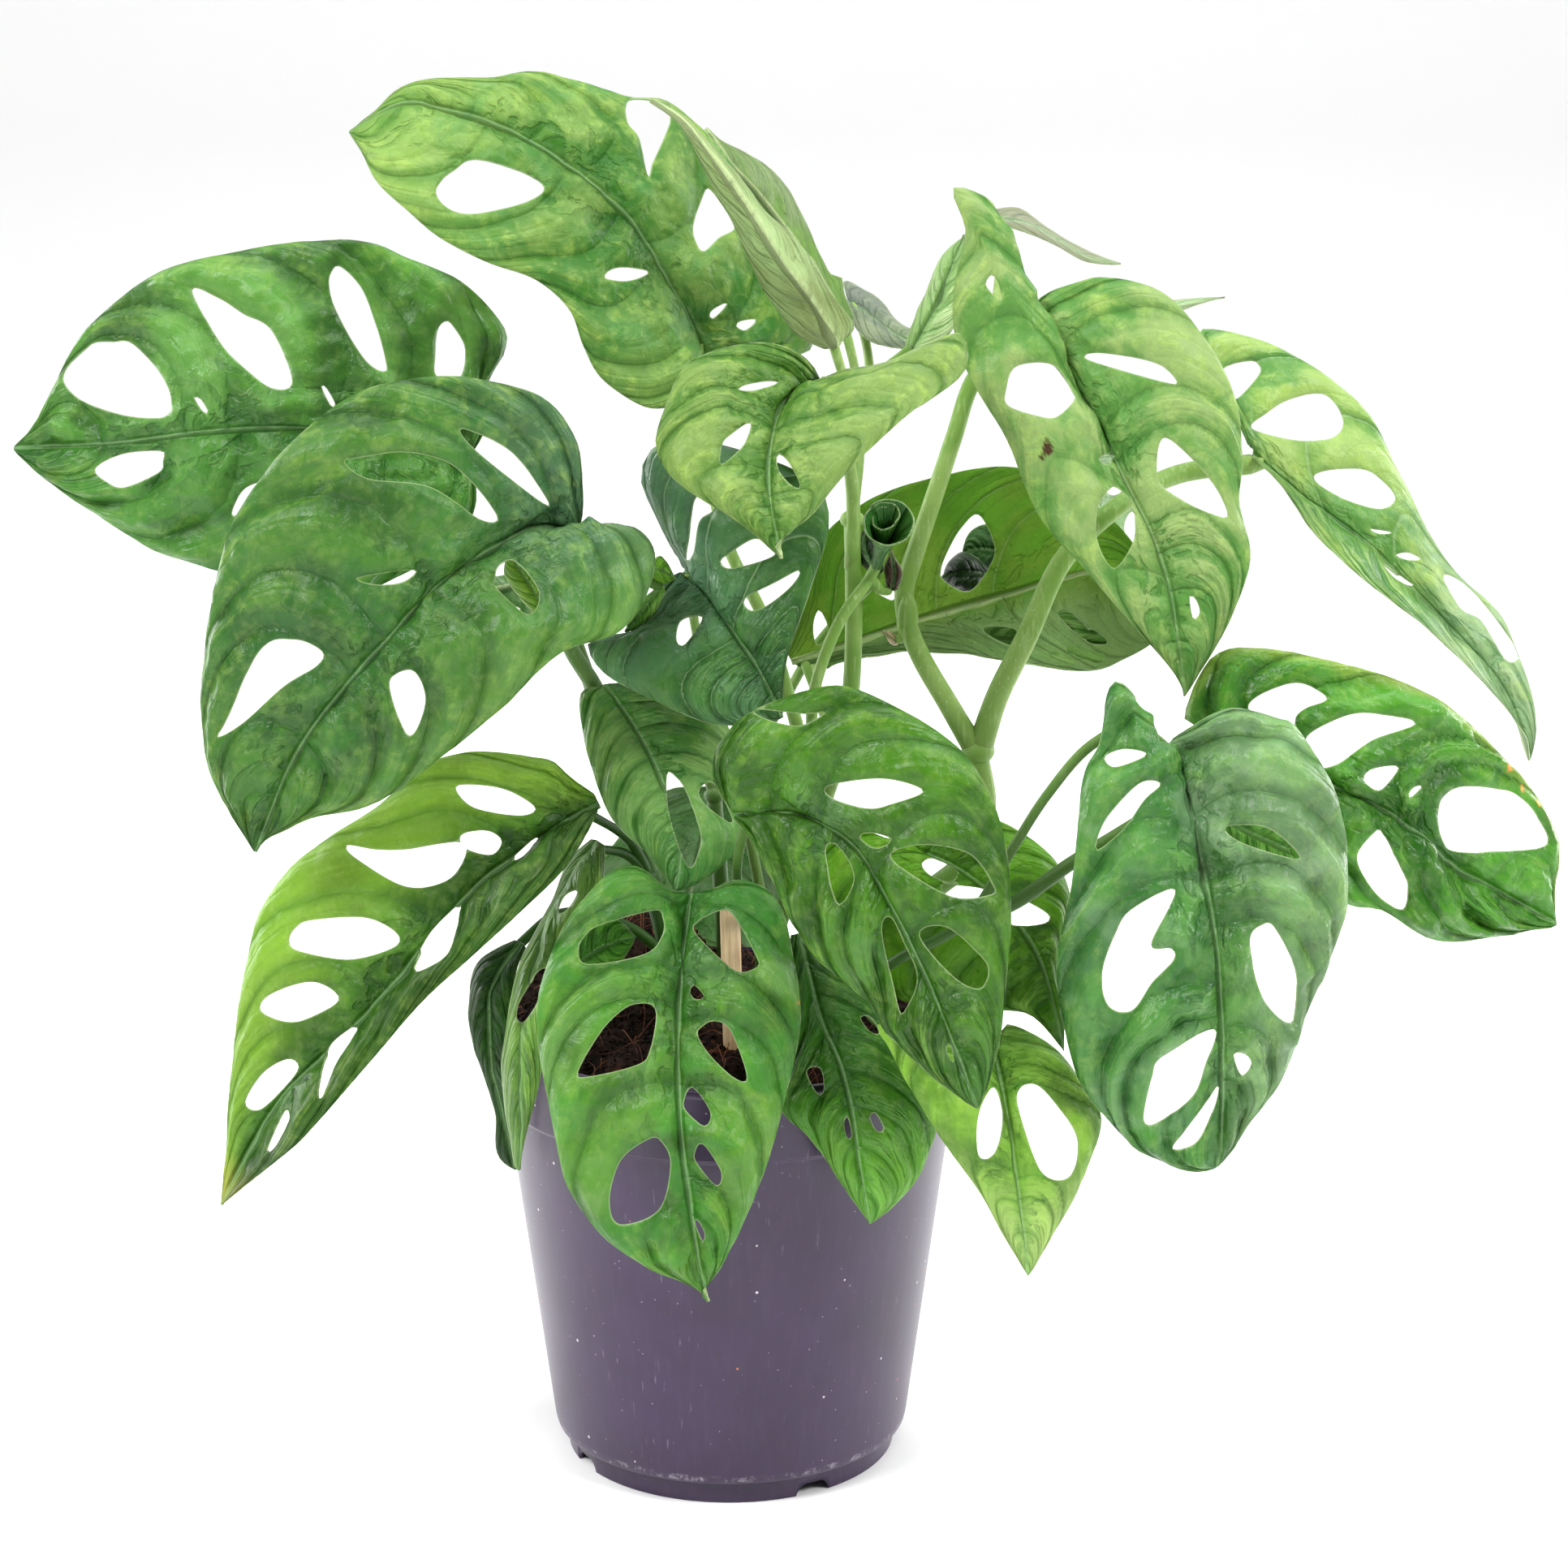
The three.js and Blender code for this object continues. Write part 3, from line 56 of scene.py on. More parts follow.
VIEW_END = 20
SENSOR_WIDTH = 36
PHOTO_SIZE = 1932


def place(u, v, depth):
    """The point, in metres, at pixel (u, v) of the photograph, depth millimetres behind the pot's axis."""
    across = (np.asarray(u, float) - PHOTO_SIZE / 2) / VIEW_FOCAL
    up = (PHOTO_SIZE / 2 - np.asarray(v, float)) / VIEW_FOCAL
    reach = (depth - VIEW_Y) / (math.cos(VIEW_PITCH) + up * math.sin(VIEW_PITCH))
    x = VIEW_X + across * reach
    y = np.asarray(depth, float) + 0 * reach
    z = VIEW_Z + (up * math.cos(VIEW_PITCH) - math.sin(VIEW_PITCH)) * reach
    return np.stack([x / 1000 + POT_X, y / 1000 + POT_Y, z / 1000], axis=-1)


camera_data = bpy.data.cameras.new("photo_camera")
camera_data.sensor_width = SENSOR_WIDTH
camera_data.lens = SENSOR_WIDTH * VIEW_FOCAL / PHOTO_SIZE
camera_data.clip_end = VIEW_END
camera = bpy.data.objects.new("photo_camera", camera_data)
camera.location = (VIEW_X / 1000 + POT_X, VIEW_Y / 1000 + POT_Y, VIEW_Z / 1000)
camera.rotation_euler = (math.pi / 2 - VIEW_PITCH, 0, 0)
bpy.context.scene.collection.objects.link(camera)
bpy.context.scene.camera = camera

# The grower's pot: one thin injection-moulded piece of recycled purple-grey plastic.
# Its wall tapers to a recessed foot ring with drain notches, and steps out into a rim
# band that stiffens the top. The satin wall carries specks of grit and fine scuffs.


class Shade:
    """One value on its way through a finish's nodes, so that shader sums read as sums."""

    def __init__(self, tree, socket):
        self.tree = tree
        self.socket = socket

    def maths(self, operation, *others):
        node = self.tree.nodes.new("ShaderNodeMath")
        node.operation = operation
        for entry, value in zip(node.inputs, (self, *others)):
            feed(self.tree, entry, value)
        return Shade(self.tree, node.outputs[0])

    def __add__(self, other):
        return self.maths("ADD", other)

    def __sub__(self, other):
        return self.maths("SUBTRACT", other)

    def __rsub__(self, other):
        return (self * -1).maths("ADD", other)

    def __mul__(self, other):
        return self.maths("MULTIPLY", other)

    __radd__ = __add__
    __rmul__ = __mul__

    def ramp(self, low, high):
        """0 below low and 1 above high, easing between them. It falls where low is the larger."""
        node = self.tree.nodes.new("ShaderNodeMapRange")
        node.interpolation_type = "SMOOTHSTEP"
        ends = (low, high, 0, 1) if low < high else (high, low, 1, 0)
        feed(self.tree, node.inputs[0], self)
        for entry, value in zip(list(node.inputs)[1:5], ends):
            entry.default_value = value
        return Shade(self.tree, node.outputs[0])


def feed(tree, entry, value):
    """Links a value into a socket, or sets the socket to a number or a colour."""
    if isinstance(value, Shade):
        tree.links.new(value.socket, entry)
    else:
        entry.default_value = value


def named_input(node, name):
    """A node's input by its name, with _ for a space, or by its number as in0, in1 and so on."""
    return node.inputs[int(name[2:])] if name[2:].isdigit() else node.inputs[name.replace("_", " ")]


def ink(code):
    """A colour code, as the linear values that shaders take."""
    parts = [int(code[i:i + 2], 16) / 255 for i in (0, 2, 4)]
    return (*[c / 12.92 if c < 0.04045 else ((c + 0.055) / 1.055) ** 2.4 for c in parts], 1)


class Finish:
    """A material in the making: a Principled surface, and the nodes that feed it."""

    def __init__(self, name, **constants):
        self.material = bpy.data.materials.new(name)
        self.material.use_nodes = True
        self.tree = self.material.node_tree
        self.surface = self.tree.nodes["Principled BSDF"]
        self.put(**constants)

    def node(self, kind, settings=None, out=0, **sockets):
        """Any node: its settings first, then the values of its inputs."""
        node = self.tree.nodes.new("ShaderNode" + kind)
        for name, value in (settings or {}).items():
            setattr(node, name, value)
        for name, value in sockets.items():
            feed(self.tree, named_input(node, name), value)
        return Shade(self.tree, node.outputs[out])

    def mix(self, share, first, second, blend="MIX"):
        """Two colours mixed: share 0 is the first, 1 the second, or their product with MULTIPLY."""
        settings = {"data_type": "RGBA", "blend_type": blend}
        return self.node("Mix", settings, out=2, in0=share, in6=first, in7=second)

    def attribute(self, name, out=2):
        """A mesh attribute: its number with out 2, its three numbers as a vector with out 1."""
        return self.node("Attribute", {"attribute_name": name}, out=out)

    def part(self, vector, axis):
        """One of a vector's three numbers."""
        return self.node("SeparateXYZ", out=axis, in0=vector)

    def cells(self, where, scale, feature="F1", out=0):
        """Cells, scale of them to a metre: how far the heart is with out 0, a chance colour with out 1."""
        return self.node("TexVoronoi", {"feature": feature}, out=out, Vector=where, Scale=scale)

    def grain(self, where, size, detail=3.0, roughness=0.55, distortion=0.0):
        """Soft noise about size metres across, as a number round 0.5."""
        return self.node("TexNoise", Vector=where, Scale=1 / size, Detail=detail, Roughness=roughness,
                         Distortion=distortion)

    def place(self, stretch=(1, 1, 1), turn=(0, 0, 0)):
        """Object coordinates, stretched along each axis and turned."""
        where = self.node("TexCoord", out=3)
        return self.node("Mapping", {"vector_type": "POINT"}, Vector=where, Scale=stretch, Rotation=turn)

    def relief(self, height, strength, distance):
        """A surface normal that follows height."""
        return self.node("Bump", Height=height, Strength=strength, Distance=distance)

    def put(self, **sockets):
        """Feeds the surface's own sockets, and gives the finished material."""
        for name, value in sockets.items():
            feed(self.tree, named_input(self.surface, name), value)
        return self.material


POT_HEIGHT = 0.115
POT_RIM_RADIUS = 0.060
POT_FOOT_RADIUS = 0.0454
POT_BAND_BOTTOM = 0.096
POT_FOOT_HEIGHT = 0.0065
POT_FLOOR = 0.0075
POT_SEGMENTS = 192
DRAIN_ANGLES = (30, 120, 210, 300)
# The cutters' radius, depth and sides, and how far out from the axis each one stands.
DRAIN_NOTCH = (0.0045, 0.016, 40)
DRAIN_HOLE = (0.004, 0.02, 32)
NOTCH_OUT = 0.0425
NOTCH_TOP = 0.0031
HOLE_OUT = 0.0306


def new_piece(name, mesh, material=None):
    """An object at the origin that carries mesh, with its faces shaded smooth."""
    piece = bpy.data.objects.new(name, mesh)
    bpy.context.scene.collection.objects.link(piece)
    if material:
        mesh.materials.clear()
        mesh.materials.append(material)
    mesh.polygons.foreach_set("use_smooth", np.ones(len(mesh.polygons), bool))
    return piece


def baked(piece):
    """The piece with its modifiers worked into a plain mesh, and none left on it."""
    bpy.context.view_layer.update()
    graph = bpy.context.evaluated_depsgraph_get()
    mesh = bpy.data.meshes.new_from_object(piece.evaluated_get(graph))
    plain = bpy.data.objects.new(piece.name + "_plain", mesh)
    name = piece.name
    bpy.data.objects.remove(piece)
    plain.name = name
    bpy.context.scene.collection.objects.link(plain)
    return plain


def rounded_profile(corners):
    """A profile from (radius, height, rounding) corners, each eased over its rounding on both sides."""
    points = []
    count = len(corners)
    for i, (radius, height, rounding) in enumerate(corners):
        here = np.array([radius, height])
        if rounding == 0 or i in (0, count - 1):
            points.append(here)
            continue
        before = np.array(corners[i - 1][:2]) - here
        after = np.array(corners[i + 1][:2]) - here
        start = here + before * min(0.45, rounding / np.linalg.norm(before))
        end = here + after * min(0.45, rounding / np.linalg.norm(after))
        for t in (0, 0.25, 0.5, 0.75, 1):
            points.append((1 - t) ** 2 * start + 2 * t * (1 - t) * here + t ** 2 * end)
    return points


def turned(name, profile, segments):
    """The profile turned round the pot's axis, as a closed mesh."""
    angles = np.arange(segments) * 2 * math.pi / segments
    vertices = []
    rings = []
    for radius, height in profile:
        if radius < 1e-6:
            rings.append([len(vertices)] * segments)
            vertices.append((POT_X, POT_Y, height))
            continue
        rings.append(list(range(len(vertices), len(vertices) + segments)))
        vertices += [(POT_X + radius * math.cos(a), POT_Y + radius * math.sin(a), height) for a in angles]
    faces = []
    for low, high in zip(rings, rings[1:]):
        for i in range(segments):
            j = (i + 1) % segments
            corners = [low[i], low[j], high[j], high[i]]
            faces.append(list(dict.fromkeys(corners)))
    mesh = bpy.data.meshes.new(name)
    mesh.from_pydata(vertices, [], [face for face in faces if len(face) > 2])
    mesh.validate()
    return mesh


pot_profile = rounded_profile([
    (0, POT_FOOT_HEIGHT - 0.0008, 0),
    (POT_FOOT_RADIUS - 0.0042, POT_FOOT_HEIGHT - 0.0008, 0.0008),
    (POT_FOOT_RADIUS - 0.0042, 0, 0.0003),
    (POT_FOOT_RADIUS - 0.0029, 0, 0.0005),
    (POT_FOOT_RADIUS - 0.0027, POT_FOOT_HEIGHT - 0.0008, 0.0006),
    (POT_FOOT_RADIUS, POT_FOOT_HEIGHT, 0.0006),
    (POT_FOOT_RADIUS + 0.0005, POT_FOOT_HEIGHT + 0.002, 0.001),
    (POT_RIM_RADIUS - 0.0026, POT_BAND_BOTTOM - 0.0004, 0.0005),
    (POT_RIM_RADIUS - 0.0014, POT_BAND_BOTTOM + 0.0004, 0.0005),
    (POT_RIM_RADIUS - 0.0004, POT_HEIGHT - 0.0024, 0.0004),
    (POT_RIM_RADIUS + 0.0002, POT_HEIGHT - 0.0016, 0.0005),
    (POT_RIM_RADIUS, POT_HEIGHT - 0.0004, 0.0004),
    (POT_RIM_RADIUS - 0.0005, POT_HEIGHT, 0.0004),
    (POT_RIM_RADIUS - 0.0015, POT_HEIGHT, 0.0004),
    (POT_RIM_RADIUS - 0.0018, POT_HEIGHT - 0.0006, 0.0004),
    (POT_RIM_RADIUS - 0.0033, POT_BAND_BOTTOM, 0.001),
    (POT_FOOT_RADIUS - 0.0012, POT_FLOOR, 0.002),
    (0, POT_FLOOR, 0),
])
pot = new_piece("growers_pot", turned("growers_pot", pot_profile, POT_SEGMENTS))
pot_holes = bmesh.new()
for angle in DRAIN_ANGLES:
    turn = math.radians(angle)
    for cutter in (DRAIN_NOTCH, DRAIN_HOLE):
        radius, deep, sides = cutter
        made = bmesh.ops.create_cone(pot_holes, cap_ends=True, segments=sides, radius1=radius,
                                     radius2=radius, depth=deep)
        for vertex in made["verts"]:
            x, y, z = vertex.co
            if cutter is DRAIN_NOTCH:
                local = Vector((NOTCH_OUT + z, x * 1.05, min(y * 0.8, NOTCH_TOP)))
            else:
                local = Vector((HOLE_OUT + x, y, z))
            vertex.co = Vector((
                POT_X + local.x * math.cos(turn) - local.y * math.sin(turn),
                POT_Y + local.x * math.sin(turn) + local.y * math.cos(turn),
                local.z,
            ))
bmesh.ops.recalc_face_normals(pot_holes, faces=pot_holes.faces)
pot_hole_mesh = bpy.data.meshes.new("drain_cutters")
pot_holes.to_mesh(pot_hole_mesh)
pot_holes.free()
drain_cutters = new_piece("drain_cutters", pot_hole_mesh)
cut = pot.modifiers.new("drains", "BOOLEAN")
cut.object = drain_cutters
cut.solver = "EXACT"
pot = baked(pot)
bpy.data.objects.remove(drain_cutters)

GRIT_SCALE = 420
DUST_SCALE = 900
SCUFF_HEIGHT = 0.0079
plastic = Finish("pot_plastic", Specular_IOR_Level=0.28, Coat_Weight=0.45, Coat_Roughness=0.3, Coat_IOR=1.45)
around = plastic.place()
haze = plastic.grain(around, 0.03, detail=5)
streak = plastic.grain(plastic.place(stretch=(1, 1, 0.12)), 0.0022, detail=4, roughness=0.7)
grit = plastic.cells(around, GRIT_SCALE)
grit_shade = plastic.cells(around, GRIT_SCALE, out=1)
grit_pick = plastic.node("SeparateColor", in0=grit_shade)
grit_kind = plastic.node("SeparateColor", out=1, in0=grit_shade)
specks = grit.ramp(0.2, 0.12) * grit_pick.ramp(0.962, 0.968)
dust = plastic.cells(around, DUST_SCALE)
dust_pick = plastic.node("SeparateColor", in0=plastic.cells(around, DUST_SCALE, out=1))
dust = dust.ramp(0.2, 0.1) * dust_pick.ramp(0.955, 0.96) * haze.ramp(0.4, 0.55)
rusty = grit_kind.ramp(0.6, 0.7)
dark_specks = grit.ramp(0.26, 0.16) * grit_pick.ramp(0.03, 0.024)
scratch = plastic.grain(plastic.place(stretch=(1, 1, 0.05), turn=(0.3, 0.2, 0)), 0.0009, detail=2)
scratches = scratch.ramp(0.66, 0.72) * plastic.grain(around, 0.022, detail=2).ramp(0.5, 0.68)
foot_scuff = (plastic.part(around, 2) - SCUFF_HEIGHT).maths("ABSOLUTE").ramp(0.0012, 0.0003)
foot_scuff = foot_scuff * plastic.grain(around, 0.004, detail=6, roughness=0.8).ramp(0.5, 0.62)
tone = plastic.mix(haze.ramp(0.3, 0.75), ink("2f1e3b"), ink("392748"))
tone = plastic.mix(streak.ramp(0.45, 0.85) * 0.16, tone, ink("62546b"))
tone = plastic.mix(scratches * 0.3 + foot_scuff * 0.6, tone, ink("a29aa6"))
tone = plastic.mix(dark_specks * 0.7, tone, ink("2a2430"))
tone = plastic.mix(dust * 0.8, tone, ink("b7adb8"))
tone = plastic.mix(specks, tone, plastic.mix(rusty, ink("cfc6cc"), ink("b9683f")))
plastic_skin = plastic.relief(haze * 0.4 + streak * 0.3 + specks * 1.5, 0.18, 0.0004)
pot_finish = plastic.put(Base_Color=tone, Roughness=0.34 + haze * 0.1 + specks * 0.2, Normal=plastic_skin)
pot.data.materials.clear()
pot.data.materials.append(pot_finish)
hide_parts("pot")
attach(pot, "root")

# The potting soil: dark peat and bark with coir, mounded where the root ball was set in
# and settled a little below the rim. Loose crumbs and hair-fine coir fibres lie on it.
SOIL_EDGE = 0.109
SOIL_MOUND = 0.013
SOIL_MOUND_TOP = (-4, 8)
SOIL_MOUND_REACH = 60
SOIL_HEAVE = 0.0016
# Heaps over the root balls: how high in metres, where, and how wide, both in millimetres.
SOIL_HEAPS = ((0.018, -24, 14, 17, 18), (0.008, -45, 12, 14, 18))
SOIL_CRUMBLE = 0.0011
SOIL_CRUMBLE_SCALE = 160
SOIL_EDGE_DIP = 0.0025
SOIL_EDGE_SHARE = 0.07
SOIL_RINGS = 70
SOIL_SPOKES = 190
SOIL_RADIUS = POT_RIM_RADIUS - 0.0045
SOIL_TAPER = 0.79
SOIL_BOTTOM = POT_FLOOR + 0.0004


def soil_height(x, y):
    """The height of the soil, in metres, x and y metres from the pot's axis."""
    mm_x, mm_y = x * 1000, y * 1000
    from_middle = math.hypot(mm_x - SOIL_MOUND_TOP[0], mm_y - SOIL_MOUND_TOP[1]) / SOIL_MOUND_REACH
    lumps = math.sin(0.23 * mm_x + 1.3) * math.cos(0.19 * mm_y + 0.4)
    lumps += 0.7 * math.sin(0.41 * mm_x - 0.33 * mm_y)
    heaped = sum(height * math.exp(-((mm_x - heap_x) / spread_x) ** 2 - ((mm_y - heap_y) / spread_y) ** 2)
                 for height, heap_x, heap_y, spread_x, spread_y in SOIL_HEAPS)
    return SOIL_EDGE + SOIL_MOUND * max(0, 1 - from_middle ** 2) + heaped + SOIL_HEAVE * lumps


soil_vertices = [(POT_X, POT_Y, soil_height(0, 0))]
for ring in range(1, SOIL_RINGS + 1):
    for spoke in range(SOIL_SPOKES):
        angle = 2 * math.pi * spoke / SOIL_SPOKES
        radius = SOIL_RADIUS * ring / SOIL_RINGS
        x, y = radius * math.cos(angle), radius * math.sin(angle)
        crumble = SOIL_CRUMBLE * noise.fractal(Vector((x, y, 0)) * SOIL_CRUMBLE_SCALE, 0.9, 2.0, 5) - 0.0004
        from_rim = (ring / SOIL_RINGS - 1 + SOIL_EDGE_SHARE) / SOIL_EDGE_SHARE
        edge_dip = SOIL_EDGE_DIP * max(0, from_rim) ** 2
        soil_vertices.append((POT_X + x, POT_Y + y, soil_height(x, y) + crumble - edge_dip))
soil_faces = [(0, 1 + i, 1 + (i + 1) % SOIL_SPOKES) for i in range(SOIL_SPOKES)]
for ring in range(SOIL_RINGS - 1):
    base = 1 + ring * SOIL_SPOKES
    for i in range(SOIL_SPOKES):
        j = (i + 1) % SOIL_SPOKES
        soil_faces.append((base + i, base + SOIL_SPOKES + i, base + SOIL_SPOKES + j, base + j))
soil_rim = 1 + (SOIL_RINGS - 1) * SOIL_SPOKES
soil_foot = len(soil_vertices)
for i in range(SOIL_SPOKES):
    x, y, _ = soil_vertices[soil_rim + i]
    soil_vertices.append((POT_X + (x - POT_X) * SOIL_TAPER, POT_Y + (y - POT_Y) * SOIL_TAPER, SOIL_BOTTOM))
soil_vertices.append((POT_X, POT_Y, SOIL_BOTTOM))
for i in range(SOIL_SPOKES):
    j = (i + 1) % SOIL_SPOKES
    soil_faces.append((soil_rim + i, soil_foot + i, soil_foot + j, soil_rim + j))
    soil_faces.append((soil_foot + i, len(soil_vertices) - 1, soil_foot + j))
soil_mesh = bpy.data.meshes.new("soil_bed")
soil_mesh.from_pydata(soil_vertices, [], soil_faces)

earth = Finish("potting_soil", Specular_IOR_Level=0.12)
lie = earth.place()
clods = earth.grain(lie, 0.004, detail=8, roughness=0.7)
bits = earth.cells(lie, 620)
bark = earth.grain(lie, 0.012, detail=4)
earth_tone = earth.mix(clods.ramp(0.35, 0.7), ink("0e0907"), ink("2f1e17"))
earth_tone = earth.mix(bark.ramp(0.5, 0.75) * bits.ramp(0.5, 0.2) * 0.7, earth_tone, ink("57301f"))
earth_finish = earth.put(
    Base_Color=earth_tone,
    Roughness=0.85 + clods * 0.12,
    Normal=earth.relief(clods + bits * 0.4, 0.8, 0.0009),
)
soil = new_piece("soil_bed", soil_mesh, earth_finish)
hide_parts("soil")
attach(soil, "root")


class Tree:
    """A geometry node tree in the making, with its named sizes and its closing nodes."""

    def __init__(self, name, sizes):
        self.tree = bpy.data.node_groups.new(name, "GeometryNodeTree")
        self.tree.interface.new_socket("Geometry", in_out="INPUT", socket_type="NodeSocketGeometry")
        for size, kind, value in sizes:
            entry = self.tree.interface.new_socket(size, in_out="INPUT", socket_type="NodeSocket" + kind)
            entry.default_value = value
        self.tree.interface.new_socket("Geometry", in_out="OUTPUT", socket_type="NodeSocketGeometry")
        self.entry = self.tree.nodes.new("NodeGroupInput")
        self.leave = self.tree.nodes.new("NodeGroupOutput")

    def node(self, kind, settings=None, **sockets):
        node = self.tree.nodes.new(kind)
        for name, value in (settings or {}).items():
            setattr(node, name, value)
        for name, value in sockets.items():
            entry = named_input(node, name)
            if isinstance(value, bpy.types.NodeSocket):
                self.tree.links.new(value, entry)
            else:
                entry.default_value = value
        return node

    def close(self, geometry, material):
        """Realizes the instances, sets the finish, and ends the tree."""
        real = self.node("GeometryNodeRealizeInstances", in0=geometry)
        finished = self.node("GeometryNodeSetMaterial", Geometry=real.outputs[0], Material=material)
        self.tree.links.new(finished.outputs[0], self.leave.inputs[0])
        return self.tree


def grown(name, mesh, tree):
    """The plain mesh that a node tree makes on a bearer mesh, as a piece of its own."""
    bearer = bpy.data.objects.new(name, mesh)
    bpy.context.scene.collection.objects.link(bearer)
    bearer.modifiers.new(name, "NODES").node_group = tree
    return baked(bearer)


CRUMBS_PER_SQUARE_METRE = 400000.0
CRUMB_RADIUS = 0.0011
FULL_TURN = 6.28
crumb_tree = Tree("soil_crumbs", [
    ("Density", "Float", CRUMBS_PER_SQUARE_METRE), ("Crumb", "Float", CRUMB_RADIUS), ("Seed", "Int", 7),
])
entry = crumb_tree.entry.outputs
normal = crumb_tree.node("GeometryNodeInputNormal")
facing_up = crumb_tree.node("ShaderNodeSeparateXYZ", in0=normal.outputs[0])
is_top = crumb_tree.node("FunctionNodeCompare", {"data_type": "FLOAT", "operation": "GREATER_THAN"},
                         in0=facing_up.outputs[2], in1=0.35)
scattered = crumb_tree.node("GeometryNodeDistributePointsOnFaces", Mesh=entry[0],
                            Selection=is_top.outputs[0], Density=entry["Density"], Seed=entry["Seed"])
ball = crumb_tree.node("GeometryNodeMeshIcoSphere", Radius=entry["Crumb"], Subdivisions=1)
size_spread = crumb_tree.node("FunctionNodeRandomValue", {"data_type": "FLOAT_VECTOR"},
                              in0=(0.25, 0.25, 0.2), in1=(1.25, 0.9, 0.7), Seed=3)
spin_spread = crumb_tree.node("FunctionNodeRandomValue", {"data_type": "FLOAT_VECTOR"},
                              in0=(0, 0, 0), in1=(FULL_TURN,) * 3, Seed=4)
crumbs = crumb_tree.node("GeometryNodeInstanceOnPoints", Points=scattered.outputs[0],
                         Instance=ball.outputs[0], Rotation=spin_spread.outputs[0],
                         Scale=size_spread.outputs[0])
crumb_bed = grown("soil_crumbs", soil_mesh.copy(), crumb_tree.close(crumbs.outputs[0], earth_finish))
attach(crumb_bed, "root")

FIBRE_COUNT = 420
FIBRE_STEPS = 6
FIBRE_RADIUS = 0.00012
coir = Finish("coir_fibre", Specular_IOR_Level=0.3)
coir_shade = coir.grain(coir.place(), 0.006, detail=2)
coir_tone = coir.mix(coir_shade.ramp(0.35, 0.65), ink("3a1f14"), ink("7d4a2c"))
coir_finish = coir.put(Base_Color=coir_tone, Roughness=0.8)
fibre_tree = Tree("coir_fibres", [("Thickness", "Float", FIBRE_RADIUS)])
entry = fibre_tree.entry.outputs
strands = fibre_tree.node("GeometryNodeMeshToCurve", Mesh=entry[0])
section = fibre_tree.node("GeometryNodeCurvePrimitiveCircle", Resolution=3, Radius=entry["Thickness"])
fibre = fibre_tree.node("GeometryNodeCurveToMesh", Curve=strands.outputs[0], Profile_Curve=section.outputs[0])
chance = np.random.default_rng(11)
fibre_vertices = []
fibre_edges = []
for _ in range(FIBRE_COUNT):
    angle = chance.uniform(0, 2 * math.pi)
    radius = SOIL_RADIUS * 0.97 * math.sqrt(chance.uniform(0, 1))
    x, y = radius * math.cos(angle), radius * math.sin(angle)
    heading = chance.uniform(0, 2 * math.pi)
    bend = chance.uniform(-0.6, 0.6)
    length = chance.uniform(0.003, 0.011)
    lift = chance.uniform(0.0002, 0.0022)
    for step in range(FIBRE_STEPS + 1):
        share = step / FIBRE_STEPS
        height = soil_height(x, y) + 0.0004 + lift * math.sin(math.pi * share)
        if math.hypot(x, y) > SOIL_RADIUS * 0.98:
            x, y = x * 0.96, y * 0.96
        fibre_vertices.append((POT_X + x, POT_Y + y, height))
        if step:
            fibre_edges.append((len(fibre_vertices) - 2, len(fibre_vertices) - 1))
        heading += bend * chance.uniform(0.2, 1)
        x += length / FIBRE_STEPS * math.cos(heading)
        y += length / FIBRE_STEPS * math.sin(heading)
fibre_mesh = bpy.data.meshes.new("coir_fibres")
fibre_mesh.from_pydata(fibre_vertices, fibre_edges, [])
fibres = grown("coir_fibres", fibre_mesh, fibre_tree.close(fibre.outputs[0], coir_finish))
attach(fibres, "root")

# The stake: a short split stick of pale wood, pushed into the soil behind the front
# rim to hold a tied-in stem. It has slightly worn corners and a broken-off top.
STAKE_FOOT = (908, 1480, -30)
STAKE_TOP = (899, 1108, -30)
STAKE_WIDTH = 0.0049
STAKE_DEPTH = 0.0034
STAKE_STEPS = 48
STAKE_SIDES = 24
STAKE_SQUARENESS = 0.3
stake_bottom = Vector(place(*STAKE_FOOT))
stake_end = Vector(place(*STAKE_TOP))
stake_vertices = []
stake_faces = []
for step in range(STAKE_STEPS + 1):
    middle = stake_bottom.lerp(stake_end, step / STAKE_STEPS)
    for side in range(STAKE_SIDES):
        angle = 2 * math.pi * (side + 0.5) / STAKE_SIDES
        x = math.copysign(abs(math.cos(angle)) ** STAKE_SQUARENESS, math.cos(angle)) * STAKE_WIDTH / 2
        y = math.copysign(abs(math.sin(angle)) ** STAKE_SQUARENESS, math.sin(angle)) * STAKE_DEPTH / 2
        rough = 1 + 0.06 * noise.noise(Vector((x * 900, y * 900, middle.z * 60)))
        tip = 0.0012 * noise.noise(Vector((x * 700, y * 700, 5))) if step == STAKE_STEPS else 0
        stake_vertices.append((middle.x + x * rough, middle.y + y * rough, middle.z + tip))
for step in range(STAKE_STEPS):
    for side in range(STAKE_SIDES):
        a = step * STAKE_SIDES + side
        b = step * STAKE_SIDES + (side + 1) % STAKE_SIDES
        stake_faces.append((a, b, b + STAKE_SIDES, a + STAKE_SIDES))
stake_faces.append(tuple(reversed(range(STAKE_SIDES))))
stake_faces.append(tuple(range(STAKE_STEPS * STAKE_SIDES, (STAKE_STEPS + 1) * STAKE_SIDES)))
stake_mesh = bpy.data.meshes.new("split_stake")
stake_mesh.from_pydata(stake_vertices, [], stake_faces)
wood = Finish("stake_wood", Specular_IOR_Level=0.3)
grain_line = wood.grain(wood.place(stretch=(1, 1, 0.03)), 0.0009, detail=6, roughness=0.7)
stain = wood.grain(wood.place(), 0.012, detail=3)
soil_line = wood.part(wood.place(), 2).ramp(0.124, 0.110)
wood_tone = wood.mix(grain_line.ramp(0.3, 0.75), ink("d8b084"), ink("fde4c0"))
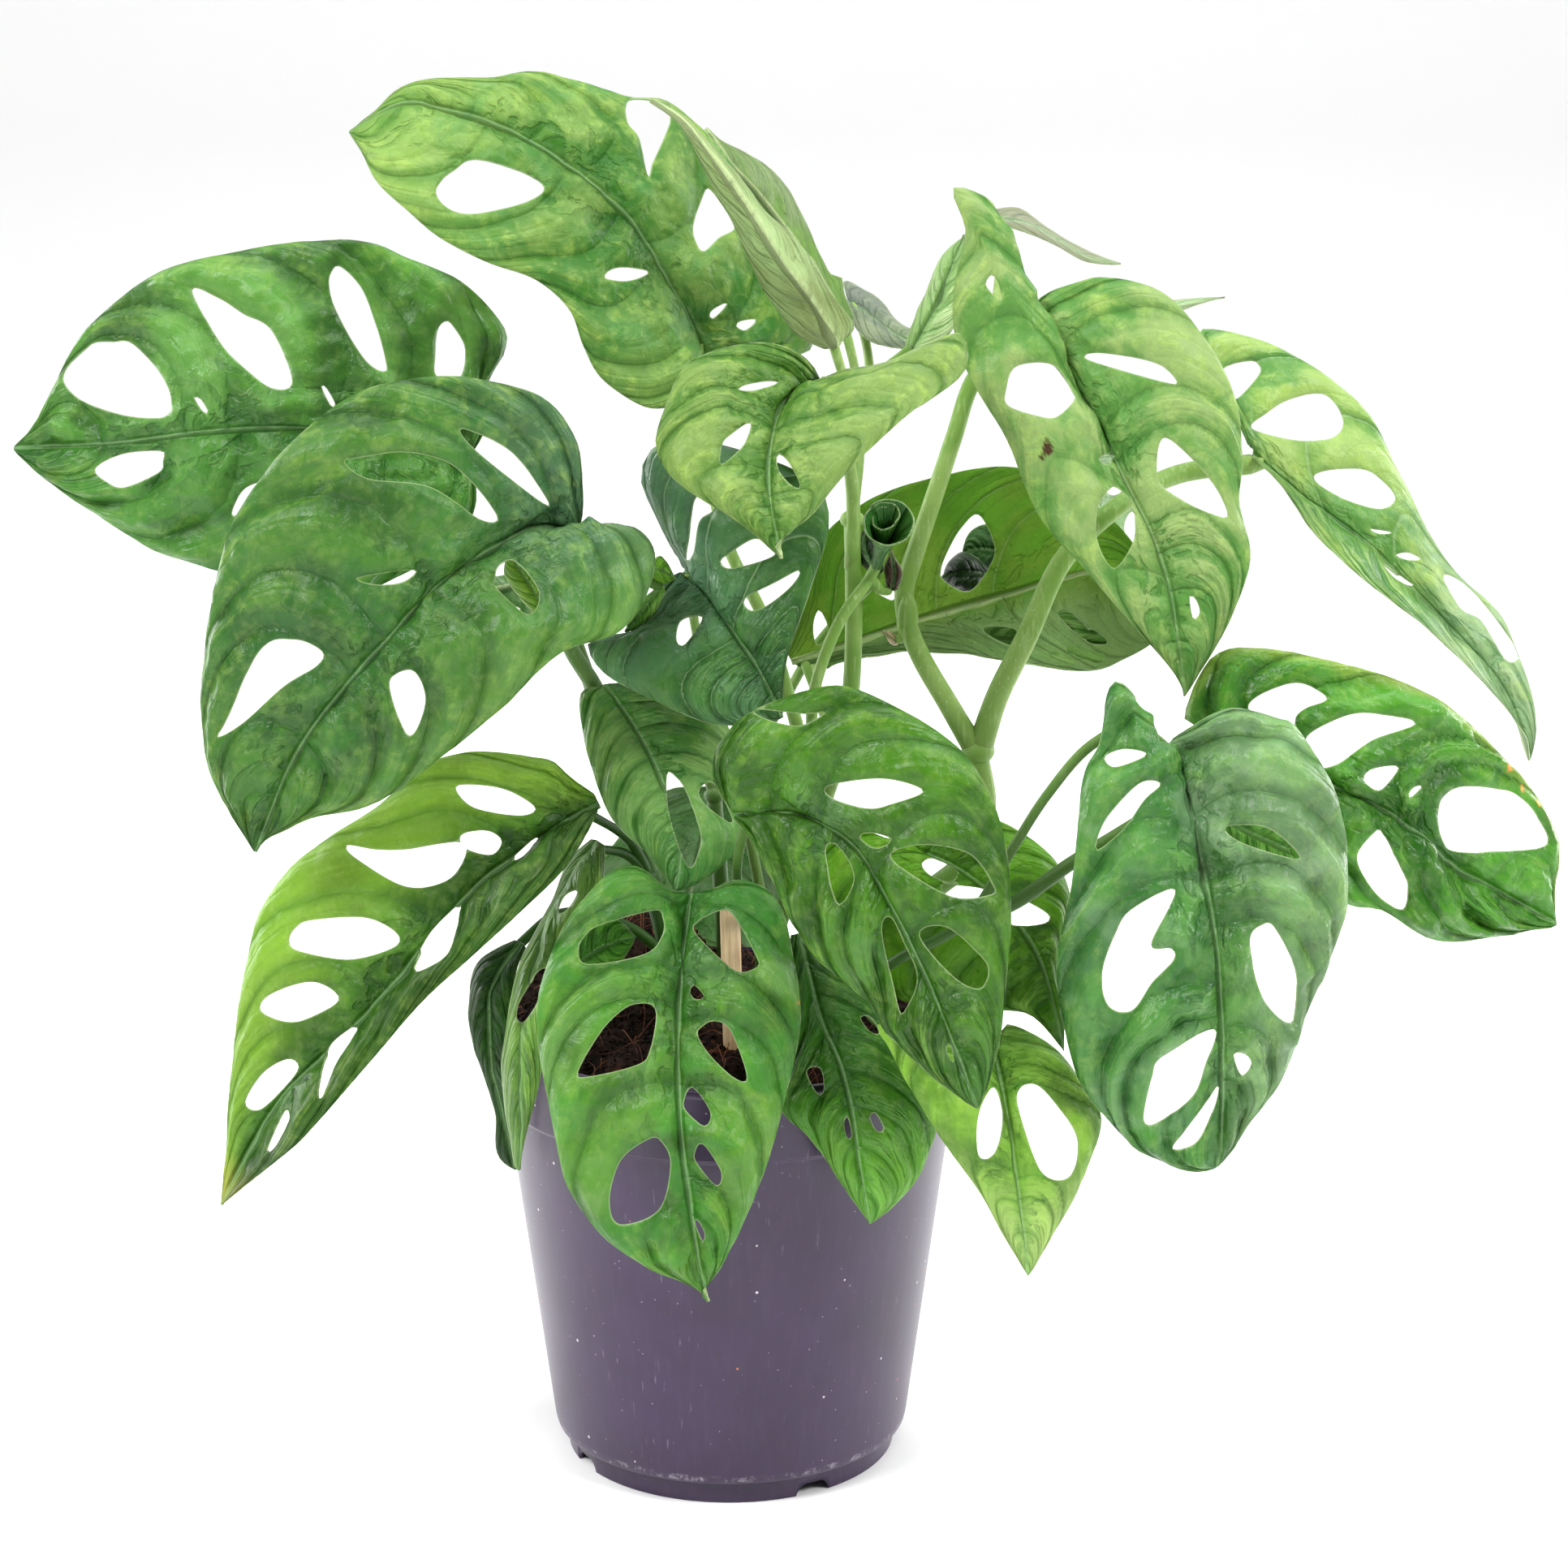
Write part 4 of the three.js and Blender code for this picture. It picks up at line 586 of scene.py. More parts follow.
wood_tone = wood.mix(stain.ramp(0.5, 0.75) * 0.25 + soil_line * 0.6, wood_tone, ink("8a5a38"))
wood_finish = wood.put(Base_Color=wood_tone, Roughness=0.72 + grain_line * 0.1,
                       Normal=wood.relief(grain_line, 0.6, 0.0003))
stake = new_piece("split_stake", stake_mesh, wood_finish)
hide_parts("stake")
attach(stake, "root")

# The vines and leaf stalks: smooth, fleshy and pale green, grown as one from the soil.
# Each stalk leaves a swollen joint of its vine, is grooved toward its foot, streaked
# with pale breathing spots, and thickens again at the joint under its blade.

# Each vine's route from the soil up, as pixels and depths, then its radius in metres, how
# strongly painted shade darkens it from 0 for none to 1 for the most, and its swollen
# joints as (u, v, depth, radius, half-length), where the half-length follows from the
# radius if it is left out.
VINES = {
    "right": [(990, 1480, 5), (990, 1330, 5), (1045, 1210, 3), (1120, 1120, 0), (1200, 1050, -4),
              (1214, 990, -5), (1205, 930, -5), (1205, 905, -5)],
    "centre": [(930, 1480, 10), (930, 1310, 10), (950, 1170, 8), (1010, 1000, 5), (1042, 900, 1),
               (1050, 830, -2), (1052, 740, -4), (1050, 640, -4)],
    "left": [(850, 1480, -4), (845, 1320, -6), (825, 1180, -11), (800, 1080, -14), (775, 1000, -16),
             (760, 930, -16)],
    "back": [(900, 1480, 24), (900, 1300, 26), (890, 1120, 18), (880, 980, 12)],
    "front": [(928, 1490, -18), (928, 1400, -18), (932, 1330, -16)],
}
VINE_RADIUS = {"right": 0.0030, "centre": 0.0023, "left": 0.0025, "back": 0.0022, "front": 0.0020}
# How strongly painted shade darkens each vine, standing for the shade that the low and back vines stand in.
VINE_PAINTED_SHADE = {"right": 0.05, "centre": 0.15, "left": 1.0, "back": 0.6, "front": 0.7}
VINE_JOINTS = {
    "right": [(1205, 925, -5, 0.0042), (1118, 762, 0, 0.0027, 0.0065)],
    "centre": [(1050, 640, -4, 0.0030), (1010, 1000, 5, 0.0031)],
    "left": [(760, 930, -16, 0.0033), (800, 1080, -14, 0.0031)],
    "back": [(880, 980, 12, 0.0027)],
    "front": [(1190, 1135, -49, 0.0023)],
}
STALK_RADIUS = {
    "leaf_right_top": 0.0026, "leaf_far_right": 0.0029, "leaf_centre_top": 0.0018, "leaf_left_front": 0.0022,
    "leaf_right_mid": 0.0018, "leaf_right_front": 0.0015, "leaf_top_left": 0.0018, "leaf_left": 0.0019,
}
PLAIN_STALK_RADIUS = 0.0014
CURVE_STEPS = 40
STALK_TAPER = ((0, 1.12), (0.12, 1), (0.72, 0.8), (0.9, 0.86), (0.97, 0.9), (1, 0.55))
VINE_TAPER = ((0, 1.05), (0.5, 1), (1, 0.9))
JOINT_STEPS = 13
JOINT_LENGTH = 0.78
STEM_SIDES = 14
STEM_SPACING = 0.0016
ROLLED_STALK = [(1010, 1000, 5), (1000, 900, -10), (1006, 840, -18), (1035, 765, -15), (1072, 712, -9),
                (1087, 680, -14)]
ROLLED_STALK_RADIUS = 0.0015
ROLLED_STALK_TAPER = ((0, 1), (1, 14 / 15))
LEAF_SEAT = 0.03
SEAT_DROP = 0.8

# The leaves' lines in the photograph, in pixels, and their depth behind the pot's axis
# in millimetres. rib, left and right run from the stalk toward the tip, where the rib's
# last point closes both margins. holes are closed loops, lean is how much deeper each
# margin lies, arch how far each half bulges, and stalk runs from the vine to the blade.
LEAVES = {
  "leaf_top_left": {
    "vine": "centre",
    "rib": [[868, 440], [845, 385], [810, 320], [760, 255], [680, 190], [590, 145], [500, 127], [428, 161]],
    "left": [[866, 446], [850, 488], [818, 503], [785, 497], [740, 465], [718, 425], [700, 380],
      [660, 345], [600, 323], [545, 295], [500, 258], [465, 225], [445, 187]],
    "right": [[905, 442], [955, 440], [1000, 428], [985, 375], [955, 300], [915, 225], [865, 160],
      [820, 125], [772, 119], [700, 97], [655, 88], [600, 97], [530, 97], [490, 111], [460, 140]],
    "holes": [
      [[537, 238], [545, 222], [560, 210], [585, 197], [640, 212], [671, 232], [640, 252], [580, 264],
        [550, 256]],
      [[776, 124], [820, 130], [825, 147], [820, 165], [803, 202], [797, 218], [787, 172], [773, 150]],
      [[873, 232], [864, 247], [856, 270], [854, 290], [865, 310], [885, 293], [905, 280], [890, 255]],
      [[745, 343], [752, 333], [770, 330], [800, 335], [775, 346]],
      [[875, 390], [878, 382], [895, 373], [892, 380], [880, 392]],
      [[907, 402], [912, 396], [932, 394], [918, 407]],
    ],
    "depth": [0, -6, -14], "lean": [-20, 26], "arch": 2,
    "stalk": [[1010, 1000, 5], [975, 870, 2], [940, 760, -1], [900, 680, 0], [880, 610, 4], [872, 520, 7]],
  },
  "leaf_top_folded": {
    "vine": "centre",
    "rib": [[1030, 428], [1000, 370], [960, 320], [930, 270], [900, 225], [870, 185], [840, 150],
      [800, 123]],
    "left": [[1016, 430], [985, 415], [960, 385], [940, 355], [920, 315], [905, 280], [886, 245],
      [860, 195], [835, 150]],
    "right": [[1048, 412], [1052, 398], [1030, 370], [1012, 345], [993, 310], [965, 280], [945, 262],
      [925, 235], [900, 205], [870, 170], [840, 140]],
    "depth": [-14, -20, -24], "lean": [12, 15], "arch": -1,
    "stalk": [[1050, 640, -4], [1052, 560, -6], [1045, 490, -8]],
  },
  "leaf_top_behind": {
    "vine": "centre",
    "rib": [[1042, 400], [1010, 340], [970, 285], [935, 240], [900, 200], [868, 158]],
    "left": [[1030, 404], [985, 370], [950, 320], [915, 270], [885, 215]],
    "right": [[1052, 392], [1040, 362], [1037, 342], [1022, 335], [1000, 290], [975, 240], [955, 212],
      [925, 192], [890, 174]],
    "depth": [18, 26, 32], "lean": [6, 10], "arch": 2,
    "stalk": [[1050, 640, -4], [1060, 540, 4], [1054, 460, 12]],
  },
  "leaf_top_edge": {
    "vine": "centre",
    "rib": [[1046, 372], [1075, 390], [1105, 410], [1145, 428]],
    "left": [[1042, 362], [1040, 346], [1060, 354], [1085, 370], [1105, 395], [1130, 410]],
    "right": [[1048, 392], [1060, 412], [1080, 424], [1120, 430]],
    "depth": [34, 32, 24], "lean": [26, -14], "arch": 1,
    "stalk": [[1060, 540, 4], [1072, 470, 22], [1064, 410, 32]],
  },
  "leaf_centre_top": {
    "vine": "centre",
    "rib": [[1005, 470], [968, 492], [950, 545], [948, 610], [963, 690]],
    "left": [[1010, 466], [1000, 450], [985, 435], [965, 427], [930, 422], [890, 430], [860, 440],
      [840, 455], [820, 500], [808, 545], [823, 582], [860, 612], [920, 650]],
    "right": [[1015, 472], [1040, 456], [1100, 445], [1180, 412], [1190, 455], [1150, 490], [1120, 510],
      [1070, 555], [1045, 580], [1020, 610], [1000, 635], [957, 668]],
    "holes": [
      [[910, 480], [920, 474], [945, 470], [958, 472], [930, 481]],
      [[888, 572], [890, 548], [898, 538], [924, 521], [918, 545], [905, 560]],
      [[957, 563], [963, 561], [975, 575], [986, 600], [975, 598], [960, 580]],
    ],
    "depth": [-22, -52, -66], "lean": [4, 10], "arch": 3,
    "stalk": [[1050, 700, -4], [1050, 600, -8], [1035, 530, -14]],
  },
  "leaf_right_top": {
    "vine": "right",
    "rib": [[1280, 425], [1310, 460], [1345, 510], [1370, 560], [1395, 610], [1420, 660], [1440, 720],
      [1450, 780], [1460, 860]],
    "left": [[1276, 405], [1262, 365], [1240, 328], [1228, 300], [1226, 258], [1213, 242], [1173, 232],
      [1190, 285], [1176, 350], [1176, 410], [1195, 465], [1240, 540], [1280, 635], [1340, 705],
      [1400, 775], [1448, 830]],
    "right": [[1278, 405], [1272, 380], [1290, 362], [1320, 350], [1365, 342], [1430, 360], [1480, 410],
      [1520, 485], [1530, 560], [1527, 620], [1540, 690], [1510, 775], [1480, 825]],
    "holes": [
      [[1222, 339], [1215, 352], [1233, 370], [1230, 350]],
      [[1240, 480], [1252, 452], [1297, 450], [1322, 485], [1322, 495], [1303, 513], [1285, 514],
        [1243, 500]],
      [[1338, 437], [1365, 436], [1425, 448], [1450, 470], [1435, 471], [1348, 446]],
      [[1433, 540], [1470, 567], [1500, 605], [1512, 636], [1490, 632], [1455, 615], [1427, 590]],
      [[1354, 566], [1362, 560], [1372, 562], [1365, 573]],
      [[1368, 602], [1378, 602], [1393, 618], [1398, 640], [1395, 670], [1372, 700], [1352, 665],
        [1353, 625]],
      [[1466, 735], [1474, 740], [1478, 755], [1470, 762]],
    ],
    "depth": [-8, -24, -34], "lean": [8, 8], "arch": 3,
    "stalk": [[1205, 930, -5], [1170, 870, -5], [1135, 810, -3], [1118, 768, 0], [1114, 730, 2],
      [1125, 690, 4], [1150, 615, 6], [1175, 540, 8], [1200, 468, 9], [1240, 425, 6]],
  },
  "leaf_far_right": {
    "vine": "right",
    "rib": [[1545, 560], [1610, 615], [1690, 675], [1770, 755], [1850, 845], [1887, 938]],
    "left": [[1548, 568], [1580, 600], [1630, 670], [1720, 745], [1780, 795], [1845, 860], [1880, 905]],
    "right": [[1536, 545], [1515, 500], [1490, 450], [1478, 407], [1540, 416], [1590, 436], [1640, 468],
      [1690, 515], [1720, 575], [1762, 660], [1800, 712], [1850, 760], [1885, 850], [1893, 900]],
    "holes": [
      [[1507, 455], [1540, 445], [1551, 450], [1551, 462], [1523, 492], [1517, 478]],
      [[1542, 528], [1560, 510], [1590, 492], [1632, 487], [1655, 518], [1640, 540], [1590, 542]],
      [[1620, 592], [1630, 581], [1675, 578], [1700, 590], [1719, 614], [1700, 627], [1655, 615]],
      [[1688, 652], [1715, 656], [1700, 658]],
      [[1704, 693], [1727, 710], [1742, 722], [1718, 712]],
      [[1720, 684], [1735, 681], [1750, 689], [1735, 690]],
      [[1778, 713], [1790, 711], [1820, 735], [1868, 798], [1870, 812], [1855, 812], [1825, 765],
        [1800, 750]],
    ],
    "depth": [12, 10, -4], "lean": [-16, 20], "arch": 2,
    "stalk": [[1205, 930, -5], [1228, 860, -6], [1265, 785, -7], [1310, 690, -4], [1370, 630, 2],
      [1450, 585, 14]],
  },
  "leaf_right_mid": {
    "vine": "front",
    "rib": [[1548, 940], [1600, 948], [1640, 967], [1720, 1005], [1800, 1070], [1850, 1100], [1919, 1139]],
    "left": [[1556, 952], [1570, 1010], [1600, 1070], [1655, 1110], [1700, 1120], [1770, 1158],
      [1850, 1152], [1900, 1145]],
    "right": [[1540, 928], [1500, 900], [1462, 890], [1465, 865], [1500, 805], [1560, 800], [1640, 815],
      [1740, 845], [1820, 900], [1880, 965], [1915, 1020], [1919, 1050], [1915, 1125]],
    "holes": [
      [[1538, 873], [1555, 855], [1600, 842], [1635, 860], [1610, 872], [1597, 882], [1592, 897],
        [1570, 885]],
      [[1612, 925], [1613, 905], [1660, 882], [1700, 881], [1740, 893], [1690, 912], [1650, 940],
        [1625, 945]],
      [[1680, 960], [1690, 948], [1722, 945], [1707, 968], [1695, 973]],
      [[1735, 978], [1742, 970], [1752, 969], [1738, 982]],
      [[1773, 995], [1795, 971], [1840, 972], [1870, 982], [1905, 1030], [1895, 1045], [1850, 1048],
        [1785, 1046]],
      [[1672, 1057], [1693, 1026], [1702, 1028], [1725, 1070], [1735, 1095], [1727, 1120], [1695, 1100]],
    ],
    "depth": [-30, -34, -14], "lean": [-6, 12], "arch": 3,
    "stalk": [[1190, 1135, -49], [1250, 1112, -50], [1318, 1065, -49], [1390, 1020, -44], [1460, 975, -34]],
  },
  "leaf_right_front": {
    "vine": "front",
    "rib": [[1437, 918], [1455, 960], [1470, 1010], [1485, 1080], [1497, 1150], [1503, 1220], [1507, 1350],
      [1500, 1440]],
    "left": [[1428, 912], [1405, 893], [1398, 860], [1380, 840], [1366, 850], [1355, 915], [1335, 960],
      [1322, 1080], [1303, 1190], [1315, 1280], [1340, 1345], [1400, 1415], [1460, 1440]],
    "right": [[1448, 912], [1470, 895], [1520, 873], [1575, 885], [1600, 900], [1650, 990], [1655, 1130],
      [1610, 1245], [1580, 1325], [1535, 1390]],
    "holes": [
      [[1361, 935], [1370, 927], [1390, 923], [1412, 930], [1375, 945]],
      [[1352, 1047], [1355, 1025], [1370, 1000], [1405, 965], [1430, 966], [1410, 985], [1385, 1020]],
      [[1358, 1200], [1375, 1150], [1395, 1120], [1448, 1097], [1418, 1163], [1443, 1168], [1445, 1182],
        [1420, 1210], [1395, 1243], [1367, 1240]],
      [[1540, 1160], [1555, 1140], [1570, 1143], [1594, 1195], [1590, 1258], [1555, 1228]],
      [[1510, 1020], [1545, 1017], [1570, 1025], [1600, 1053], [1590, 1057], [1530, 1038]],
      [[1410, 1378], [1420, 1325], [1432, 1300], [1495, 1267], [1485, 1310], [1470, 1350], [1430, 1380]],
      [[1445, 1415], [1465, 1385], [1500, 1340], [1497, 1360], [1475, 1405]],
      [[1520, 1298], [1533, 1297], [1541, 1310], [1530, 1325]],
    ],
    "depth": [-60, -72, -64], "lean": [6, 8], "arch": 3,
    "stalk": [[928, 1400, -18], [985, 1330, -18], [1055, 1220, -30], [1110, 1180, -44], [1190, 1135, -49],
      [1245, 1050, -50], [1290, 980, -52], [1345, 918, -54], [1400, 895, -56]],
  },
  "leaf_centre_back": {
    "vine": "centre",
    "rib": [[975, 815], [1040, 795], [1120, 768], [1180, 750], [1250, 730], [1300, 715], [1360, 710],
      [1430, 785]],
    "left": [[970, 805], [978, 782], [990, 750], [1010, 670], [1042, 635], [1100, 603], [1200, 578],
      [1260, 577], [1300, 590], [1370, 640], [1410, 695]],
    "right": [[985, 822], [1030, 812], [1110, 798], [1180, 800], [1240, 813], [1290, 818], [1350, 824],
      [1400, 805]],
    "holes": [
      [[1160, 700], [1170, 675], [1185, 650], [1205, 634], [1223, 665], [1223, 690], [1195, 728],
        [1163, 715]],
      [[1003, 785], [1003, 765], [1010, 752], [1020, 775], [1010, 795]],
      [[1077, 727], [1100, 727], [1100, 740]],
      [[1212, 773], [1250, 775], [1250, 795], [1222, 785]],
      [[1303, 757], [1315, 752], [1340, 775], [1335, 787]],
      [[1337, 785], [1345, 775], [1365, 792], [1345, 793]],
    ],
    "depth": [18, 22, 26], "lean": [4, 8], "arch": -3,
    "stalk": [[1034, 926, 2], [1015, 880, 12]],
  },
  "leaf_centre_dark": {
    "vine": "centre",
    "rib": [[842, 703], [870, 730], [905, 780], [935, 825], [965, 885]],
    "left": [[834, 706], [820, 716], [795, 750], [770, 785], [725, 793], [745, 830], [800, 860],
      [870, 890], [930, 893]],
    "right": [[840, 690], [822, 664], [790, 590], [808, 548], [850, 540], [930, 560], [1000, 590],
      [1020, 625], [1018, 665], [995, 735], [975, 790], [965, 840]],
    "holes": [
      [[846, 690], [850, 660], [857, 615], [880, 600], [880, 627], [862, 642], [855, 680]],
      [[888, 692], [900, 682], [932, 664], [955, 683], [903, 700]],
      [[918, 738], [955, 718], [985, 703], [975, 722], [945, 746], [925, 752]],
      [[834, 790], [836, 770], [845, 762], [864, 760], [862, 770], [843, 795]],
    ],
    "depth": [-22, -40, -48], "lean": [-2, 6], "arch": 2,
    "stalk": [[950, 1170, 8], [925, 1040, 0], [890, 900, -8], [862, 800, -12]],
  },
  "leaf_centre_low": {
    "vine": "left",
    "rib": [[745, 842], [785, 900], [815, 960], [838, 1030], [832, 1098]],
    "left": [[736, 846], [715, 855], [718, 900], [730, 950], [755, 1010], [795, 1050]],
    "right": [[755, 842], [805, 842], [880, 872], [912, 935], [922, 1000], [905, 1050], [862, 1088]],
    "holes": [
      [[822, 955], [832, 957], [845, 975], [861, 1020], [862, 1045], [848, 1068], [825, 1005]],
      [[862, 972], [880, 966], [902, 1010], [892, 1010], [866, 988]],
    ],
    "depth": [-28, -40, -50], "lean": [2, 6], "arch": 1,
    "stalk": [[800, 1080, -14], [778, 980, -21], [758, 900, -24]],
  },
  "leaf_front_right": {
    "vine": "front",
    "rib": [[905, 1003], [985, 1003], [1050, 1040], [1095, 1110], [1150, 1225], [1205, 1368]],
    "left": [[905, 1010], [935, 1050], [965, 1110], [985, 1150], [1010, 1185], [1070, 1235], [1100, 1280],
      [1160, 1335]],
    "right": [[898, 992], [885, 975], [880, 930], [920, 880], [1000, 850], [1058, 850], [1160, 905],
      [1210, 960], [1238, 1040], [1245, 1120], [1242, 1180], [1230, 1290]],
    "holes": [
      [[1018, 970], [1060, 961], [1100, 961], [1137, 975], [1100, 990], [1070, 996], [1030, 985]],
      [[1060, 1032], [1072, 1026], [1098, 1034], [1080, 1045]],
      [[1098, 1052], [1140, 1041], [1195, 1053], [1222, 1090], [1220, 1102], [1175, 1105], [1120, 1075]],
      [[1018, 1050], [1028, 1040], [1045, 1060], [1052, 1085], [1040, 1110], [1030, 1108]],
      [[1087, 1150], [1097, 1130], [1115, 1165], [1130, 1205], [1117, 1241], [1108, 1240]],
      [[1133, 1152], [1165, 1142], [1205, 1175], [1217, 1195], [1207, 1218], [1175, 1203]],
      [[1166, 1290], [1172, 1288], [1176, 1308], [1170, 1305]],
      [[930, 874], [990, 880], [1017, 878], [985, 894], [945, 886]],
    ],
    "depth": [-68, -84, -88], "lean": [4, 8], "arch": 3,
    "stalk": [[928, 1400, -18], [932, 1330, -16], [936, 1180, -20], [908, 1080, -48]],
  },
  "leaf_front_centre": {
    "vine": "front",
    "rib": [[852, 1100], [840, 1200], [836, 1300], [840, 1400], [850, 1480], [862, 1560], [875, 1604]],
    "left": [[842, 1100], [820, 1098], [790, 1070], [770, 1068], [745, 1080], [690, 1150], [662, 1250],
      [680, 1375], [700, 1460], [745, 1525], [805, 1565], [850, 1583]],
    "right": [[862, 1099], [885, 1094], [910, 1085], [950, 1100], [972, 1150], [985, 1260], [960, 1380],
      [930, 1475], [890, 1555], [866, 1594]],
    "holes": [
      [[713, 1170], [722, 1152], [740, 1140], [805, 1122], [816, 1130], [817, 1150], [795, 1175],
        [725, 1188]],
      [[858, 1150], [862, 1135], [890, 1122], [905, 1130], [932, 1180], [932, 1192], [905, 1195]],
      [[712, 1322], [735, 1280], [755, 1255], [780, 1238], [808, 1243], [800, 1295], [785, 1312],
        [728, 1326]],
      [[850, 1222], [855, 1214], [868, 1228], [858, 1232]],
      [[860, 1275], [865, 1265], [880, 1258], [900, 1270], [920, 1327], [905, 1328], [875, 1300]],
      [[843, 1355], [853, 1340], [875, 1370], [868, 1387], [845, 1368]],
      [[856, 1422], [866, 1409], [888, 1443], [883, 1461], [860, 1435]],
      [[752, 1480], [765, 1430], [800, 1403], [815, 1407], [826, 1435], [812, 1490], [765, 1508]],
      [[856, 1506], [860, 1504], [868, 1518], [866, 1529]],
    ],
    "depth": [-52, -77, -82], "lean": [4, 5], "arch": 3,
    "stalk": [[928, 1400, -18], [885, 1350, -20], [850, 1290, -26], [846, 1200, -36]],
  },
  "leaf_left_low": {
    "vine": "left",
    "rib": [[738, 990], [700, 1010], [650, 1045], [600, 1080], [560, 1120], [510, 1180], [460, 1240],
      [400, 1300], [350, 1350], [310, 1410], [271, 1487]],
    "left": [[736, 1000], [700, 1065], [640, 1125], [580, 1180], [520, 1235], [455, 1310], [385, 1390],
      [360, 1415], [300, 1463]],
    "right": [[732, 978], [700, 955], [680, 938], [650, 932], [578, 927], [520, 945], [460, 998],
      [400, 1035], [350, 1080], [315, 1140], [292, 1260], [283, 1350], [277, 1440]],
    "holes": [
      [[563, 975], [570, 967], [620, 972], [659, 995], [640, 1005], [585, 995]],
      [[568, 1030], [585, 1024], [605, 1025], [618, 1037], [605, 1053], [573, 1045]],
      [[428, 1042], [460, 1047], [500, 1047], [565, 1038], [573, 1055], [550, 1085], [500, 1092],
        [440, 1058]],
      [[632, 1058], [655, 1036], [663, 1033], [645, 1053]],
      [[357, 1160], [365, 1143], [385, 1134], [450, 1131], [489, 1150], [485, 1167], [430, 1182],
        [370, 1172]],
      [[511, 1188], [530, 1150], [562, 1118], [567, 1122], [552, 1175], [518, 1196]],
      [[321, 1245], [335, 1225], [385, 1210], [418, 1230], [385, 1252], [355, 1259]],
      [[393, 1348], [402, 1300], [415, 1280], [440, 1266], [415, 1310], [398, 1350]],
      [[304, 1357], [325, 1322], [355, 1305], [368, 1315], [350, 1340], [320, 1367]],
      [[330, 1417], [345, 1380], [353, 1367], [356, 1380], [340, 1412]],
    ],
    "depth": [-38, -52, -36], "lean": [-14, 18], "arch": 3,
    "stalk": [[800, 1080, -14], [775, 1035, -24]],
  },
  "leaf_low_right": {
    "vine": "front",
    "rib": [[985, 1150], [1010, 1250], [1035, 1310], [1050, 1370], [1060, 1440], [1072, 1510]],
    "left": [[975, 1152], [970, 1200], [980, 1260], [965, 1340], [965, 1370], [1000, 1405], [1045, 1470]],
    "right": [[996, 1152], [1020, 1180], [1070, 1220], [1120, 1270], [1150, 1340], [1152, 1400],
      [1120, 1465]],
    "holes": [
      [[994, 1320], [1010, 1316], [1015, 1340], [1008, 1348]],
      [[1060, 1254], [1072, 1254], [1083, 1274], [1070, 1270]],
      [[1040, 1385], [1044, 1376], [1050, 1400], [1044, 1402]],
      [[1072, 1376], [1078, 1371], [1088, 1390], [1080, 1393]],
    ],
    "depth": [-48, -60, -63], "lean": [1, 8], "arch": 2,
    "stalk": [[928, 1400, -18], [950, 1320, -22], [972, 1220, -36]],
  },
  "leaf_low_far_right": {
    "vine": "right",
    "rib": [[1225, 1290], [1235, 1340], [1245, 1400], [1252, 1450], [1260, 1510], [1267, 1574]],
    "left": [[1215, 1282], [1150, 1262], [1082, 1262], [1095, 1290], [1115, 1330], [1160, 1402],
      [1205, 1465], [1245, 1535]],
    "right": [[1234, 1280], [1244, 1262], [1300, 1292], [1330, 1330], [1357, 1380], [1330, 1460],
      [1295, 1525]],
    "holes": [
      [[1203, 1390], [1210, 1360], [1225, 1340], [1235, 1375], [1225, 1420], [1207, 1425]],
      [[1255, 1365], [1258, 1340], [1278, 1337], [1300, 1360], [1327, 1405], [1317, 1450], [1283, 1443]],
    ],
    "depth": [-58, -70, -66], "lean": [-3, 10], "arch": 2,
    "stalk": [[1045, 1210, 3], [1085, 1262, -20], [1150, 1275, -46]],
  },
  "leaf_behind_right": {
    "vine": "right",
    "rib": [[1110, 1040], [1180, 1070], [1240, 1120], [1285, 1190], [1312, 1297]],
    "left": [[1104, 1046], [1060, 1022], [1018, 1040], [1002, 1100], [1030, 1165], [1090, 1222],
      [1150, 1240], [1215, 1244], [1270, 1250]],
    "right": [[1116, 1032], [1150, 1005], [1225, 1010], [1290, 1050], [1318, 1105], [1303, 1180],
      [1310, 1250]],
    "holes": [
      [[1246, 1105], [1290, 1126], [1285, 1138], [1245, 1138]],
      [[1160, 1092], [1190, 1092], [1216, 1098], [1200, 1112], [1172, 1106]],
      [[1136, 1064], [1152, 1058], [1180, 1074], [1170, 1086], [1146, 1078]],
    ],
    "depth": [-30, -34, -36], "lean": [4, 8], "arch": 2,
    "stalk": [[1075, 1170, 2], [1095, 1100, -14]],
  },
  "leaf_left_rim": {
    "vine": "left",
    "rib": [[640, 1160], [606, 1220], [604, 1300], [618, 1370], [635, 1443]],
    "left": [[634, 1158], [590, 1185], [578, 1240], [585, 1290], [610, 1370], [612, 1420]],
    "right": [[648, 1168], [636, 1200], [630, 1260], [628, 1330], [632, 1390]],
    "depth": [-34, -34, -30], "lean": [4, -5], "arch": 1,
    "stalk": [[825, 1180, -11], [770, 1140, -20], [690, 1125, -28]],
  },
  "leaf_left_narrow": {
    "vine": "left",
    "rib": [[735, 1035], [700, 1085], [668, 1150], [645, 1250], [640, 1340], [640, 1443]],
    "left": [[728, 1034], [700, 1062], [680, 1110], [640, 1190], [622, 1280], [620, 1340], [633, 1430]],
    "right": [[745, 1042], [740, 1095], [700, 1150], [675, 1220], [667, 1320], [648, 1400]],
    "holes": [
      [[637, 1255], [640, 1235], [660, 1200], [675, 1196], [662, 1235], [645, 1259]],
      [[688, 1125], [695, 1105], [712, 1098], [700, 1120]],
    ],
    "depth": [-34, -50, -54], "lean": [8, -5], "arch": 2,
    "stalk": [[800, 1080, -14], [770, 1052, -23]],
  },
  "leaf_left": {
    "vine": "left",
    "rib": [[575, 562], [480, 538], [385, 526], [260, 531], [150, 545], [15, 552]],
    "left": [[582, 572], [580, 640], [500, 705], [400, 742], [330, 730], [268, 703], [200, 680],
      [150, 655], [110, 627], [50, 585]],
